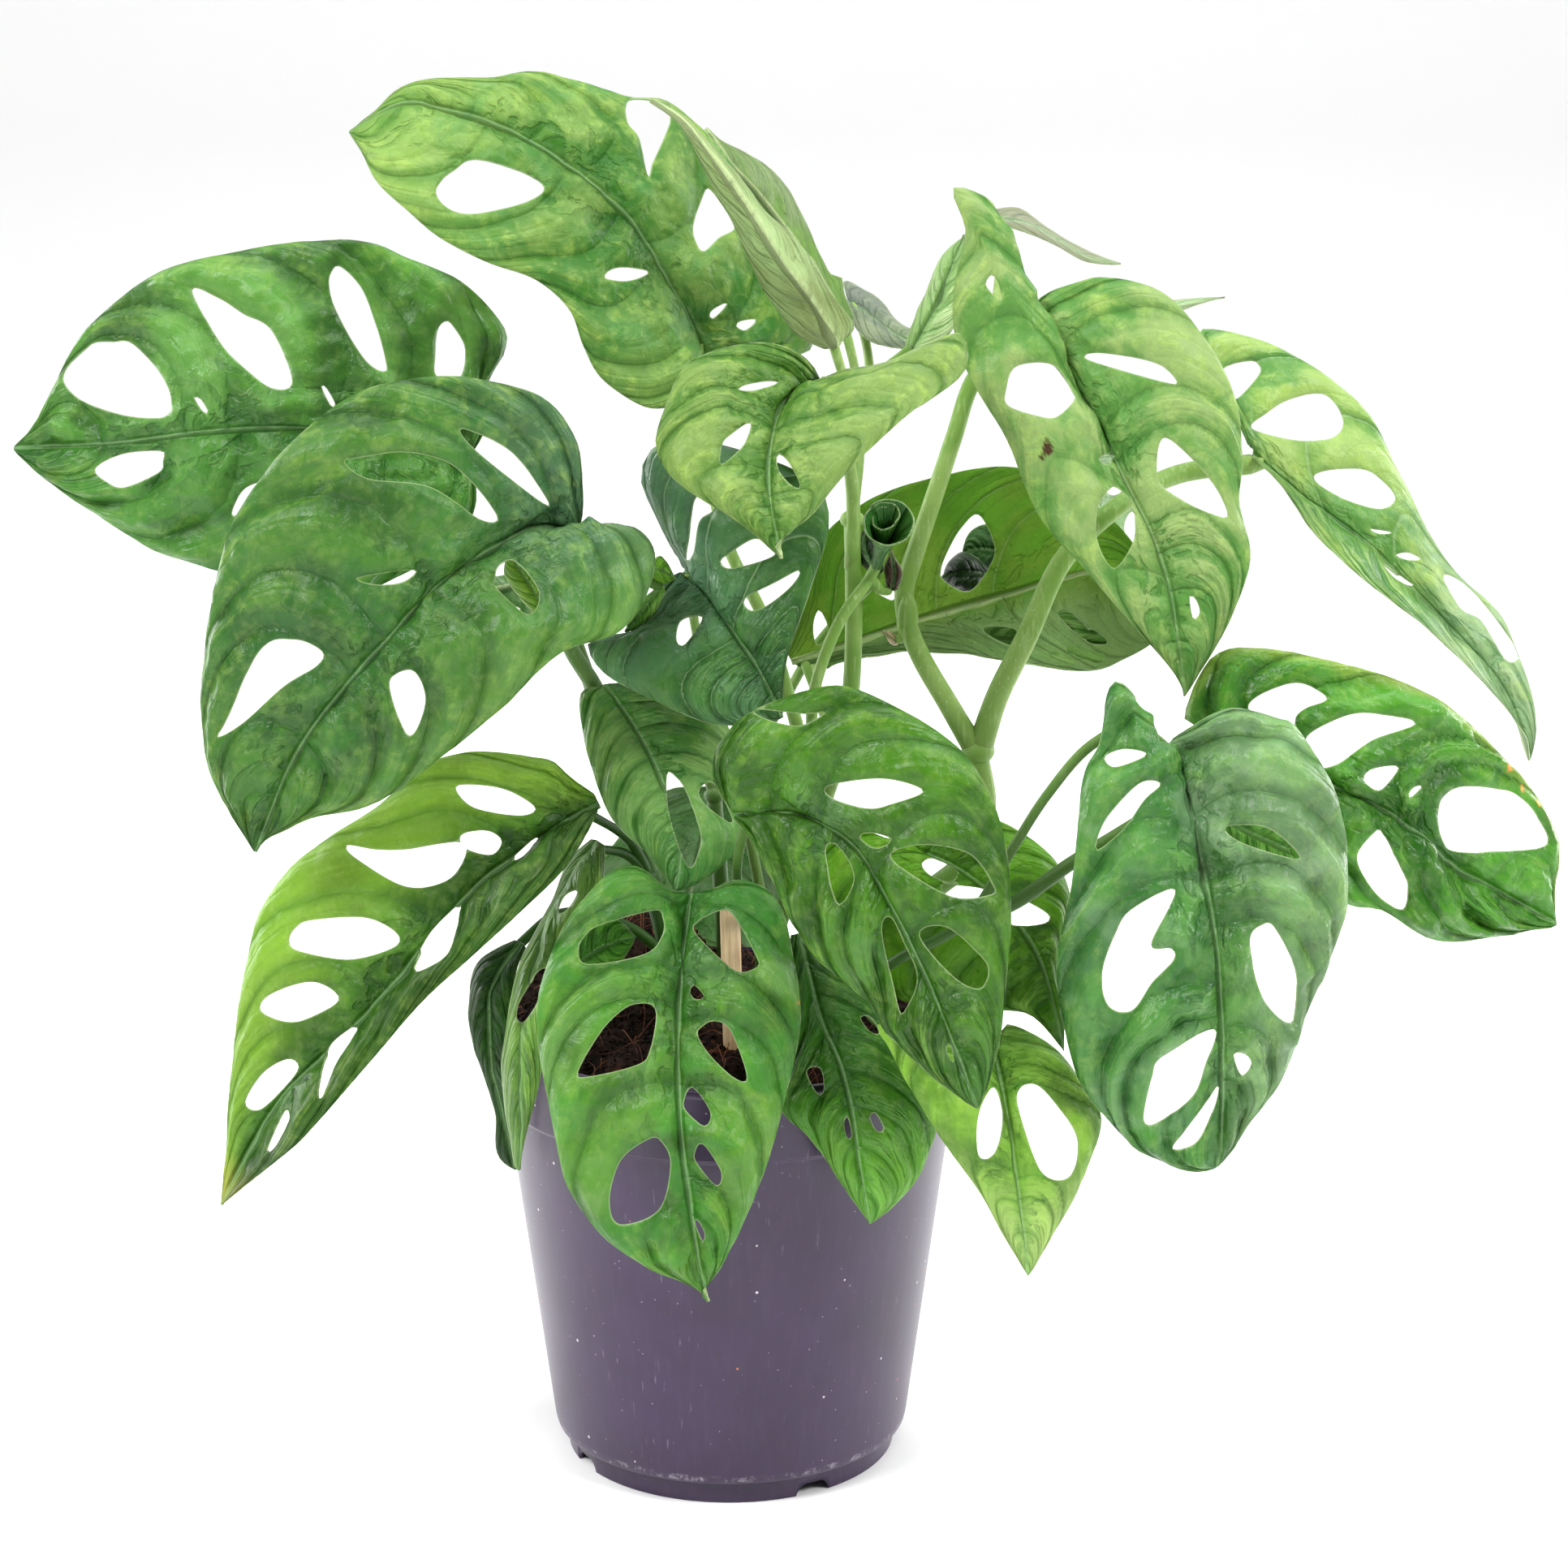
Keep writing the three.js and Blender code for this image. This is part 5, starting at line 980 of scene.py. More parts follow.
    "right": [[584, 554], [600, 520], [600, 475], [622, 432], [618, 400], [570, 348], [500, 317],
      [460, 300], [400, 296], [280, 313], [200, 335], [140, 375], [95, 425], [50, 510], [35, 535]],
    "holes": [
      [[80, 462], [110, 427], [140, 422], [165, 425], [205, 470], [210, 508], [185, 515], [140, 508],
        [95, 490]],
      [[237, 358], [270, 368], [300, 387], [335, 408], [360, 470], [335, 478], [300, 452], [270, 420]],
      [[406, 355], [408, 337], [420, 330], [450, 365], [475, 445], [470, 457], [447, 440], [415, 385]],
      [[536, 440], [538, 410], [545, 398], [555, 399], [573, 430], [566, 465], [538, 463]],
      [[396, 476], [402, 478], [413, 498], [408, 500]],
      [[240, 490], [248, 492], [257, 508], [250, 506]],
      [[118, 578], [150, 560], [198, 556], [200, 568], [195, 582], [155, 600], [135, 595]],
      [[288, 636], [290, 620], [305, 600], [340, 590], [320, 610]],
    ],
    "depth": [-8, -20, -6], "lean": [4, 12], "arch": 3,
    "stalk": [[760, 930, -16], [730, 850, -12], [690, 740, -8], [640, 640, -4]],
  },
  "leaf_left_front": {
    "vine": "left",
    "rib": [[715, 657], [660, 652], [620, 668], [560, 705], [520, 740], [480, 785], [430, 840], [380, 905],
      [350, 960], [315, 1052]],
    "left": [[724, 664], [740, 657], [780, 648], [806, 680], [795, 735], [760, 780], [690, 805],
      [620, 870], [540, 935], [470, 985], [380, 1010], [330, 1033]],
    "right": [[714, 645], [716, 600], [710, 545], [672, 492], [600, 469], [520, 465], [440, 485],
      [370, 535], [300, 620], [270, 700], [248, 850], [258, 945], [290, 1010]],
    "holes": [
      [[568, 535], [575, 530], [630, 558], [675, 617], [665, 617], [595, 563]],
      [[425, 570], [440, 565], [500, 558], [560, 575], [612, 635], [592, 640], [530, 600], [455, 590]],
      [[440, 713], [480, 705], [512, 703], [495, 717], [465, 720]],
      [[610, 715], [615, 697], [635, 692], [664, 730], [650, 758], [612, 725]],
      [[270, 907], [280, 888], [322, 800], [365, 788], [397, 803], [390, 820], [350, 845], [300, 890]],
      [[481, 850], [485, 833], [510, 827], [524, 860], [513, 898], [500, 901]],
    ],
    "depth": [-44, -65, -58], "lean": [0, 8], "arch": 4,
    "stalk": [[760, 930, -16], [735, 852, -22], [700, 790, -29], [696, 730, -34]],
  },
  "leaf_right_back_edge": {
    "vine": "right",
    "rib": [[1228, 268], [1262, 273], [1300, 292], [1340, 316], [1382, 323]],
    "left": [[1227, 258], [1246, 256], [1262, 260], [1290, 280], [1340, 309]],
    "right": [[1229, 276], [1260, 285], [1300, 301], [1340, 322]],
    "depth": [26, 30, 32], "lean": [22, -10], "arch": 1,
    "stalk": [[1200, 468, 9], [1222, 400, 16], [1232, 330, 26]],
  },
  "leaf_right_back_tip": {
    "vine": "right",
    "rib": [[1330, 420], [1380, 398], [1440, 376], [1510, 364]],
    "left": [[1326, 412], [1370, 380], [1440, 370]],
    "right": [[1334, 428], [1390, 425], [1450, 386]],
    "depth": [26, 34, 44], "lean": [16, -8], "arch": 1,
    "stalk": [[1222, 400, 16], [1275, 425, 22]],
  },
  "leaf_back_left": {
    "vine": "back",
    "rib": [[760, 690], [700, 700], [650, 715], [590, 735], [540, 765]],
    "left": [[758, 700], [730, 760], [680, 800], [620, 810], [570, 795]],
    "right": [[756, 680], [710, 640], [650, 640], [590, 670], [555, 710]],
    "holes": [
      [[700, 745], [690, 770], [665, 770], [675, 745]],
      [[640, 750], [630, 775], [605, 775], [615, 750]],
      [[690, 680], [665, 660], [650, 675], [670, 690]],
      [[630, 700], [615, 680], [600, 690], [610, 710]],
    ],
    "depth": [40, 62, 74], "lean": [-12, 16], "arch": -3,
    "stalk": [[880, 980, 12], [840, 850, 24], [800, 750, 34]],
  },
  "leaf_back_centre": {
    "vine": "back",
    "rib": [[880, 968], [862, 1050], [845, 1130], [836, 1220], [832, 1330]],
    "left": [[870, 970], [820, 975], [765, 1030], [708, 1110], [700, 1190], [745, 1270]],
    "right": [[890, 972], [930, 1000], [958, 1070], [966, 1160], [930, 1260]],
    "holes": [
      [[800, 1075], [806, 1100], [775, 1115], [765, 1095]],
      [[800, 1200], [795, 1235], [760, 1228], [770, 1205]],
      [[915, 1208], [910, 1235], [880, 1240], [885, 1212]],
      [[895, 1090], [912, 1096], [908, 1112], [890, 1108]],
    ],
    "depth": [46, 80, 82], "lean": [-6, -8], "arch": -3,
    "stalk": [[880, 980, 12], [884, 930, 22], [884, 935, 36]],
  },
  "leaf_back_right": {
    "vine": "back",
    "rib": [[1280, 560], [1320, 590], [1350, 630], [1380, 690], [1420, 760]],
    "left": [[1276, 570], [1270, 620], [1295, 680], [1345, 730], [1390, 765]],
    "right": [[1288, 554], [1340, 545], [1390, 560], [1415, 600], [1420, 680]],
    "holes": [
      [[1310, 640], [1325, 630], [1340, 655], [1320, 665]],
      [[1345, 690], [1360, 680], [1370, 710], [1352, 715]],
      [[1350, 590], [1365, 575], [1385, 600], [1370, 610]],
      [[1385, 650], [1395, 630], [1405, 655], [1392, 670]],
    ],
    "depth": [50, 66, 72], "lean": [14, 14], "arch": -3,
    "stalk": [[880, 980, 12], [950, 890, 26], [1010, 790, 38], [1100, 700, 46], [1200, 620, 50]],
  },
  "leaf_small_rim": {
    "vine": "left",
    "rib": [[708, 1190], [735, 1172], [762, 1160], [784, 1155]],
    "left": [[708, 1196], [725, 1202], [755, 1194], [770, 1178]],
    "right": [[706, 1182], [710, 1158], [725, 1136], [745, 1128], [766, 1136]],
    "depth": [-48, -46, -43], "lean": [3, -4], "arch": 1,
    "stalk": [[825, 1180, -11], [800, 1205, -22], [755, 1212, -36]],
  },
  "leaf_small_lobe": {
    "vine": "back",
    "rib": [[1262, 690], [1235, 680], [1205, 677], [1184, 682]],
    "left": [[1262, 698], [1235, 708], [1205, 703], [1190, 694]],
    "right": [[1260, 680], [1240, 650], [1215, 646], [1195, 656]],
    "depth": [42, 40, 38], "lean": [-2, 4], "arch": 1,
    "stalk": [[1200, 620, 50], [1250, 645, 50]],
  },
  "leaf_small_curl": {
    "vine": "back",
    "rib": [[1226, 712], [1205, 706], [1180, 706], [1160, 712]],
    "left": [[1226, 722], [1208, 731], [1185, 732], [1168, 726]],
    "right": [[1222, 702], [1205, 688], [1188, 680], [1170, 690]],
    "depth": [38, 30, 34], "lean": [4, 5], "arch": 5,
    "stalk": [[1250, 645, 50], [1262, 672, 47], [1250, 704, 42]],
  },
  "leaf_small_dark": {
    "vine": "centre",
    "rib": [[1084, 708], [1070, 690], [1064, 668], [1068, 645]],
    "left": [[1078, 710], [1062, 694], [1056, 668]],
    "right": [[1090, 702], [1084, 682], [1078, 660]],
    "depth": [-6, -5, -4], "lean": [2, 3], "arch": 1,
    "stalk": [[1052, 740, -4], [1070, 724, -5]],
  },
  "leaf_small_bract": {
    "vine": "centre",
    "rib": [[1098, 728], [1102, 708], [1098, 678]],
    "left": [[1093, 724], [1090, 700]],
    "right": [[1106, 726], [1112, 704]],
    "depth": [-7, -8, -8], "lean": [2, 2], "arch": 2,
    "stalk": [[1072, 712, -9], [1088, 728, -7]],
  },
  "leaf_small_bud": {
    "vine": "right",
    "rib": [[1106, 790], [1097, 785], [1087, 778]],
    "left": [[1106, 795], [1097, 793]],
    "right": [[1105, 783], [1096, 778]],
    "depth": [0, -1, -1], "lean": [2, 2], "arch": 1,
    "stalk": [[1118, 768, 0], [1114, 782, 0]],
  },
  "leaf_small_slip_top": {
    "vine": "left",
    "rib": [[800, 702], [815, 702], [834, 713]],
    "left": [[802, 714], [816, 720]],
    "right": [[802, 694], [815, 686]],
    "depth": [-34, -32, -30], "lean": [0, 2], "arch": 1,
    "stalk": [[696, 730, -34], [745, 712, -40], [785, 702, -37]],
  },
  "leaf_small_slip_low": {
    "vine": "left",
    "rib": [[816, 722], [795, 747], [771, 780]],
    "left": [[812, 722], [790, 740], [774, 764]],
    "right": [[820, 728], [806, 756], [785, 774]],
    "depth": [-33, -32, -33], "lean": [0, 0], "arch": 1,
    "stalk": [[745, 712, -40], [788, 714, -36]],
  },
  "leaf_small_lime": {
    "vine": "left",
    "rib": [[676, 762], [658, 728], [626, 682]],
    "left": [[664, 762], [642, 738], [622, 708]],
    "right": [[684, 742], [678, 708], [656, 682]],
    "depth": [-36, -38, -38], "lean": [2, 2], "arch": 1,
    "stalk": [[690, 740, -8], [688, 765, -22]],
  },
  "leaf_small_lining": {
    "vine": "front",
    "rib": [[1490, 1000], [1545, 1028], [1622, 1062]],
    "left": [[1488, 1008], [1530, 1064], [1585, 1088]],
    "right": [[1496, 990], [1545, 996], [1604, 1018]],
    "depth": [-44, -42, -42], "lean": [3, 3], "arch": 1,
    "stalk": [[1400, 895, -56], [1440, 925, -46]],
  },
  "leaf_small_fold": {
    "vine": "centre",
    "rib": [[985, 817], [1100, 790], [1200, 788], [1300, 792], [1402, 800]],
    "left": [[996, 806], [1100, 772], [1200, 758], [1300, 744], [1342, 764]],
    "right": [[1030, 818], [1110, 803], [1190, 806], [1290, 822], [1350, 826]],
    "depth": [30, 32, 34], "lean": [1, 1], "arch": 1,
    "stalk": [[1034, 926, 2], [1018, 880, 14]],
  },
  "leaf_small_sheet": {
    "vine": "centre",
    "rib": [[1124, 430], [1150, 385], [1172, 330], [1188, 288]],
    "left": [[1114, 426], [1136, 372], [1160, 318]],
    "right": [[1148, 430], [1176, 402], [1186, 350]],
    "depth": [12, 14, 18], "lean": [6, -6], "arch": 2,
    "stalk": [[1072, 470, 22], [1098, 448, 16]],
  },
}


def arc_between(p1, p2, v1, v2, t):
    """The cubic from p1 to p2 that starts with velocity v1 and ends with v2, at t from 0 to 1."""
    return (2 * p1 - 2 * p2 + v1 + v2) * t ** 3 + (3 * p2 - 3 * p1 - 2 * v1 - v2) * t ** 2 + v1 * t + p1


def along_curve(points, shares, closed=False, spread=False):
    """Points at shares of the length of the smooth curve through points, of any dimension.

    spread spaces the curve's knots by the distance between points, which keeps it from
    swinging out where they lie unevenly.
    """
    line = np.array(points, float)
    if closed:
        line = np.vstack([line[-1:], line, line[:2]])
    elif spread:
        line = np.vstack([line[:1] * 2 - line[1:2], line, line[-1:] * 2 - line[-2:-1]])
    else:
        line = np.vstack([line[:1], line, line[-1:]])
    t = np.linspace(0, 1, CURVE_STEPS, endpoint=False)[:, None]
    fine = []
    for p0, p1, p2, p3 in zip(line, line[1:], line[2:], line[3:]):
        if spread:
            gaps = [max(np.linalg.norm(b - a), 1e-9) ** 0.5 for a, b in ((p0, p1), (p1, p2), (p2, p3))]
            v1 = ((p1 - p0) / gaps[0] - (p2 - p0) / (gaps[0] + gaps[1]) + (p2 - p1) / gaps[1]) * gaps[1]
            v2 = ((p2 - p1) / gaps[1] - (p3 - p1) / (gaps[1] + gaps[2]) + (p3 - p2) / gaps[2]) * gaps[1]
        else:
            v1, v2 = (p2 - p0) / 2, (p3 - p1) / 2
        fine.append(arc_between(p1, p2, v1, v2, t))
    fine = np.vstack([*fine, line[-2:-1]])
    lengths = np.concatenate([[0], np.cumsum(np.linalg.norm(np.diff(fine, axis=0), axis=1))])
    wanted = np.asarray(shares) * lengths[-1]
    return np.stack([np.interp(wanted, lengths, fine[:, k]) for k in range(fine.shape[1])], axis=1)


def set_values(mesh, **attributes):
    """Gives the points of mesh a number or a triple each, under each name."""
    for name, values in attributes.items():
        values = np.asarray(values, np.float32)
        kind, field = ("FLOAT_VECTOR", "vector") if values.ndim == 2 else ("FLOAT", "value")
        mesh.attributes.new(name, kind, "POINT").data.foreach_set(field, values.ravel())


stem_tree = Tree("stem_tubes", [("Sides", "Int", STEM_SIDES)])
entry = stem_tree.entry.outputs
stem_lines = stem_tree.node("GeometryNodeMeshToCurve", Mesh=entry[0])
stem_radius = stem_tree.node("GeometryNodeInputNamedAttribute", {"data_type": "FLOAT"}, Name="thickness")
stem_sized = stem_tree.node("GeometryNodeSetCurveRadius", Curve=stem_lines.outputs[0],
                            Radius=stem_radius.outputs[0])
stem_section = stem_tree.node("GeometryNodeCurvePrimitiveCircle", Resolution=entry["Sides"], Radius=1.0)
stem_tube = stem_tree.node("GeometryNodeCurveToMesh", Curve=stem_sized.outputs[0],
                           Profile_Curve=stem_section.outputs[0], Scale=stem_radius.outputs[0],
                           Fill_Caps=True)

flesh = Finish("stalk_skin", Specular_IOR_Level=0.28)
flesh_place = flesh.place()
long_streak = flesh.grain(flesh.place(stretch=(1, 1, 0.05)), 0.0011, detail=3, roughness=0.55)
blush = flesh.grain(flesh_place, 0.02, detail=3)
pores = flesh.cells(flesh.place(stretch=(1, 1, 0.25)), 1500)
along_stem = flesh.attribute("along")
flesh_tone = flesh.mix(blush.ramp(0.35, 0.7), ink("6f963f"), ink("92b05f"))
flesh_tone = flesh.mix(long_streak.ramp(0.5, 0.75) * 0.5, flesh_tone, ink("b4c88a"))
flesh_tone = flesh.mix(pores.ramp(0.22, 0.1) * blush.ramp(0.45, 0.6) * 0.5, flesh_tone, ink("dde5c2"))
# Painted shade: the stalks darken toward the soil, and each vine darkens as much as its painted shade value
# says.
up_stem = flesh.part(flesh_place, 2)
old_stem = flesh.attribute("old")
flesh_tone = flesh.mix(up_stem.ramp(0.205, 0.15) * 0.45 + old_stem * 0.75, flesh_tone, ink("2f541b"))
flesh_tone = flesh.mix(along_stem.ramp(0.12, 0.0) * 0.35, flesh_tone, ink("66703a"))
stem_finish = flesh.put(Base_Color=flesh_tone, Roughness=0.42 + long_streak * 0.16,
                        Normal=flesh.relief(long_streak + pores * 0.3, 0.35, 0.0003))
stem_shape = stem_tree.close(stem_tube.outputs[0], stem_finish)


def stem_line(route, radius, taper):
    """Points, radii and shares of the length, close together along a stalk or vine.

    taper is (share of the length, share of the radius) pairs.
    """
    corners = np.array([place(*point) for point in route])
    length = np.sum(np.linalg.norm(np.diff(corners, axis=0), axis=1))
    shares = np.linspace(0, 1, max(12, int(length / STEM_SPACING)))
    points = along_curve(corners, shares, spread=True)
    return points, radius * np.interp(shares, *zip(*taper)), shares


def leaf_seat(leaf):
    """Where a stalk meets its blade: just under the midrib, a little above its foot."""
    u, v = along_curve(leaf["rib"], [LEAF_SEAT])[0]
    depth = along_curve([(i, d) for i, d in enumerate(leaf["depth"])], [LEAF_SEAT])[0][1]
    return (u, v, depth + SEAT_DROP)


def grow_stems(vine):
    """One vine with all its stalks, as a single piece."""
    lines = [stem_line(VINES[vine], VINE_RADIUS[vine], VINE_TAPER)]
    for name, leaf in LEAVES.items():
        if leaf["vine"] == vine:
            radius = STALK_RADIUS.get(name, PLAIN_STALK_RADIUS)
            lines.append(stem_line([*leaf["stalk"], leaf_seat(leaf)], radius, STALK_TAPER))
    if vine == "centre":
        lines.append(stem_line(ROLLED_STALK, ROLLED_STALK_RADIUS, ROLLED_STALK_TAPER))
    for u, v, depth, radius, *tall in VINE_JOINTS[vine]:
        middle = place(u, v, depth)
        shares = np.linspace(-1, 1, JOINT_STEPS)
        points = middle + np.outer(shares, (0, 0, tall[0] if tall else radius * JOINT_LENGTH))
        lines.append((points, radius * np.sqrt(np.maximum(0.02, 1 - shares ** 2)), (shares + 1) / 2))
    vertices = []
    edges = []
    thickness = []
    shares_along = []
    for points, radii, shares in lines:
        start = len(vertices)
        vertices += [tuple(point) for point in points]
        thickness += list(radii)
        shares_along += list(shares)
        edges += [(start + i, start + i + 1) for i in range(len(points) - 1)]
    mesh = bpy.data.meshes.new("stem_paths_" + vine)
    mesh.from_pydata(vertices, edges, [])
    set_values(mesh, thickness=thickness, along=shares_along, old=np.full(len(vertices), VINE_PAINTED_SHADE[vine]))
    piece = grown("vine_and_stalks_" + vine, mesh, stem_shape)
    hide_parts("stems_" + vine)
    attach(piece, "root")


for vine in VINES:
    grow_stems(vine)

# The leaves: thin, leathery blades with oval holes between their side veins. Each one
# follows its own lines in the photograph, puckers between the veins, and dips along
# them. Young blades are pale and mottled, older ones dark with a grey gloss. Shade is
# painted along the veins, the rib and the creases, and on some blades sheen and shadow
# are painted into the colour as well.
BLADE_END = 0.996
BLADE_STATIONS = 160
BLADE_HALF = 0.00021
BLADE_EDGE_HALF = 0.00011
BLADE_EDGE_MM = 0.8
BLADE_CELL = 0.0014
HOLE_CELL = 0.0009
MM_PER_PIXEL = 0.2
# The blade's relief: the swelling between side veins, its pucker and the crinkles by the
# rib in millimetres, then the groove on the rib and the ridge below it in metres, each
# with its half-width in millimetres.
SWELL_MM = 2.0
PUCKER_MM = 2.0
CRINKLE_MM = 0.9
RIB_GROOVE, RIB_GROOVE_MM = 0.0003, 1.1
RIB_RIDGE, RIB_RIDGE_MM = 0.00055, 0.75
ARCH_MM = 4
# Where the search for a pixel's place on a blade starts and how near the edges it may end.
SEARCH_S, SEARCH_T, SEARCH_STEP = 150, 79, 0.002

# For each leaf: the light and dark tone of its blade, the tone of its underside, how
# much it is mottled, its roughness, how deep it puckers in millimetres, the spacing of
# its side veins as a share of its length, and 1 or -1 for the face that the camera sees.
LOOKS = {
    "leaf_top_left": ("60843a", "376c22", "8ea36a", 0.7, 0.44, 0.7, 0.132, 1),
    "leaf_top_folded": ("7f8f56", "527d1b", "9fb67a", 0.3, 0.48, 0.4, 0.155, -1),
    "leaf_top_behind": ("5e8431", "3f6023", "768a5c", 0.5, 0.44, 0.5, 0.155, -1),
    "leaf_top_edge": ("828e70", "5a6857", "9fb39a", 0.3, 0.4, 0.4, 0.155, 1),
    "leaf_centre_top": ("6e8b45", "457028", "a4bd80", 0.7, 0.42, 0.6, 0.132, 1),
    "leaf_right_top": ("839d5c", "55853c", "a3b98f", 0.65, 0.42, 0.6, 0.132, 1),
    "leaf_far_right": ("8aa858", "55873c", "8ba67a", 0.65, 0.36, 0.6, 0.132, 1),
    "leaf_right_mid": ("4b8a29", "32651d", "80996f", 0.42, 0.3, 1.6, 0.139, 1),
    "leaf_right_front": ("55883c", "38632d", "7d9a6c", 0.3, 0.3, 1.5, 0.155, 1),
    "leaf_centre_back": ("53841c", "376114", "648627", 0.2, 0.5, 0.4, 0.139, -1),
    "leaf_centre_dark": ("3d6b2f", "2a5224", "7c9474", 0.12, 0.36, 0.6, 0.132, 1),
    "leaf_centre_low": ("6c924a", "3f7228", "7c9474", 0.25, 0.4, 0.5, 0.139, 1),
    "leaf_front_right": ("417318", "2b5311", "8aa678", 0.3, 0.36, 1.0, 0.132, 1),
    "leaf_front_centre": ("4e8028", "355d1d", "8fae7c", 0.28, 0.38, 1.0, 0.155, 1),
    "leaf_left_low": ("3e6d1b", "294f12", "8aa474", 0.4, 0.42, 0.7, 0.132, 1),
    "leaf_low_right": ("3b780f", "2a5c0a", "6f8c58", 0.25, 0.36, 0.7, 0.132, 1),
    "leaf_low_far_right": ("79a938", "537c29", "9db574", 0.5, 0.42, 0.6, 0.139, 1),
    "leaf_behind_right": ("548a16", "3a660a", "8fa870", 0.3, 0.42, 0.6, 0.139, 1),
    "leaf_left_rim": ("24520c", "153a06", "6f8460", 0.15, 0.42, 0.5, 0.155, 1),
    "leaf_left_narrow": ("83ae48", "5b8037", "86a070", 0.4, 0.42, 0.5, 0.155, 1),
    "leaf_left": ("508633", "376225", "7d9a66", 0.38, 0.36, 1.3, 0.155, 1),
    "leaf_left_front": ("406e28", "2d541f", "7a9872", 0.42, 0.4, 1.0, 0.132, 1),
    "leaf_right_back_edge": ("908e78", "7b7d5e", "b0c298", 0.3, 0.48, 0.3, 0.186, 1),
    "leaf_right_back_tip": ("b9c2a3", "a0ac84", "b0c298", 0.3, 0.48, 0.3, 0.186, 1),
    "leaf_back_left": ("2d5f09", "1e4806", "86a276", 0.5, 0.4, 0.7, 0.132, -1),
    "leaf_back_centre": ("589242", "3b6b31", "80a070", 0.5, 0.38, 0.7, 0.132, -1),
    "leaf_back_right": ("6fa250", "427a38", "8aa67a", 0.5, 0.4, 0.7, 0.132, -1),
    "leaf_small_rim": ("5c9a2e", "3f7a20", "8aa474", 0.2, 0.42, 0.4, 0.2, 1),
    "leaf_small_lobe": ("2c5a18", "1c4410", "3f6a2c", 0.1, 0.4, 0.3, 0.3, 1),
    "leaf_small_curl": ("24421f", "10240f", "3f5c3c", 0.1, 0.42, 0.6, 0.3, 1),
    "leaf_small_dark": ("24451a", "142c0e", "3f5c3c", 0.1, 0.36, 0.4, 0.3, 1),
    "leaf_small_bract": ("5c4038", "38251f", "5c4038", 0.0, 0.5, 0.3, 0.5, 1),
    "leaf_small_bud": ("e8cdb2", "d9a88c", "e8cdb2", 0.0, 0.5, 0.2, 0.5, 1),
    "leaf_small_slip_top": ("7db038", "5c9426", "8ab050", 0.2, 0.42, 0.3, 0.3, 1),
    "leaf_small_slip_low": ("84b552", "5f9a34", "8ab050", 0.2, 0.42, 0.3, 0.2, 1),
    "leaf_small_lime": ("9ac23e", "6f9a2c", "8ab050", 0.3, 0.42, 0.4, 0.2, 1),
    "leaf_small_lining": ("6da045", "4c8430", "8ab070", 0.3, 0.42, 0.6, 0.16, 1),
    "leaf_small_fold": ("83a45c", "5f8a3c", "7f9c62", 0.2, 0.42, 0.8, 0.2, 1),
    "leaf_small_sheet": ("b4cc94", "8fae6c", "b4c89a", 0.2, 0.46, 0.5, 0.2, 1),
}

# Where a blade changes tone: the tone, the way it comes in, from what share to what share
# it does so, and how strongly. The way is along the blade (0, stalk to tip), across it
# (1, -1 left to 1 right) or in clouds. Some of these tones are painted sheen and some
# painted shade, as noted at each leaf.
CLOUDS = 3
TINTS_AND_PAINTED_LIGHT = {
    "leaf_left_low": [("93c03e", 1, 0.1, 0.8, 0.55), ("d2c95c", 0, 0.9, 0.99, 0.8),
                      ("2f4d1c", 1, 0.05, -0.5, 0.6)],
    "leaf_top_left": [("a5c766", 0, 0.45, 0.95, 0.35), ("3f7d3c", CLOUDS, 0.5, 0.36, 0.4)],
    "leaf_low_far_right": [("c4dc8a", 0, 0.5, 0.98, 0.55), ("3f7022", 0, 0.35, 0.0, 0.6)],
    # leaf_low_right: the dark toward its stalk is painted shadow from the leaves above it.
    "leaf_low_right": [("1d4412", 0, 0.62, 0.1, 0.6), ("7fbd4a", 0, 0.5, 0.98, 0.6)],
    "leaf_right_mid": [("b7ab55", 1, 0.88, 1.0, 0.25), ("2c6a1a", 0, 0.4, 0.0, 0.5)],
    # leaf_right_front: the pale right half and the pale clouds are painted sheen, the darker left half is
    # painted shade.
    "leaf_right_front": [("9fb892", 1, 0.1, 0.6, 0.2), ("a5bf9c", CLOUDS, 0.5, 0.66, 0.22),
                         ("2f7436", 1, 0.1, -0.3, 0.3)],
    # leaf_far_right: the grey-green lower half is painted sheen.
    "leaf_far_right": [("a3b79a", 0, 0.42, 0.75, 0.5)],
    "leaf_centre_low": [("3b7a33", 0, 0.4, 0.9, 0.55)],
    # leaf_centre_back: the pale lower half is partly its own paler fold and partly painted sheen.
    "leaf_centre_back": [("8fa878", 1, 0.0, 0.5, 0.5)],
    # leaf_left_front: the grey-green by the stalk is painted sheen and painted shade.
    "leaf_left_front": [("7aa64a", 1, -0.55, -0.95, 0.35), ("4c6e52", 0, 0.32, 0.05, 0.6),
                        ("2f6a2c", CLOUDS, 0.52, 0.4, 0.35)],
    # leaf_centre_dark: the pale clouds are painted sheen.
    "leaf_centre_dark": [("4a6a55", 0, 0.6, 0.1, 0.5), ("5c8468", CLOUDS, 0.48, 0.66, 0.25)],
    # leaf_front_centre: the palest clouds are painted sheen.
    "leaf_front_centre": [("2f7428", 0, 0.4, 0.05, 0.45), ("3f8f33", CLOUDS, 0.52, 0.38, 0.35),
                          ("8ab07c", CLOUDS, 0.5, 0.7, 0.15)],
    # leaf_front_right: the pale clouds are painted sheen.
    "leaf_front_right": [("6f9a62", CLOUDS, 0.5, 0.7, 0.2), ("3c6a24", 0, 0.75, 1.0, 0.3)],
    # leaf_left: the pale clouds are painted sheen.
    "leaf_left": [("86b06a", CLOUDS, 0.48, 0.7, 0.2), ("2f6a28", 1, 0.35, -0.1, 0.35)],
}

# The blades whose side veins stand out paler than the blade.
PALE_VEINED = ("leaf_centre_dark", "leaf_far_right")

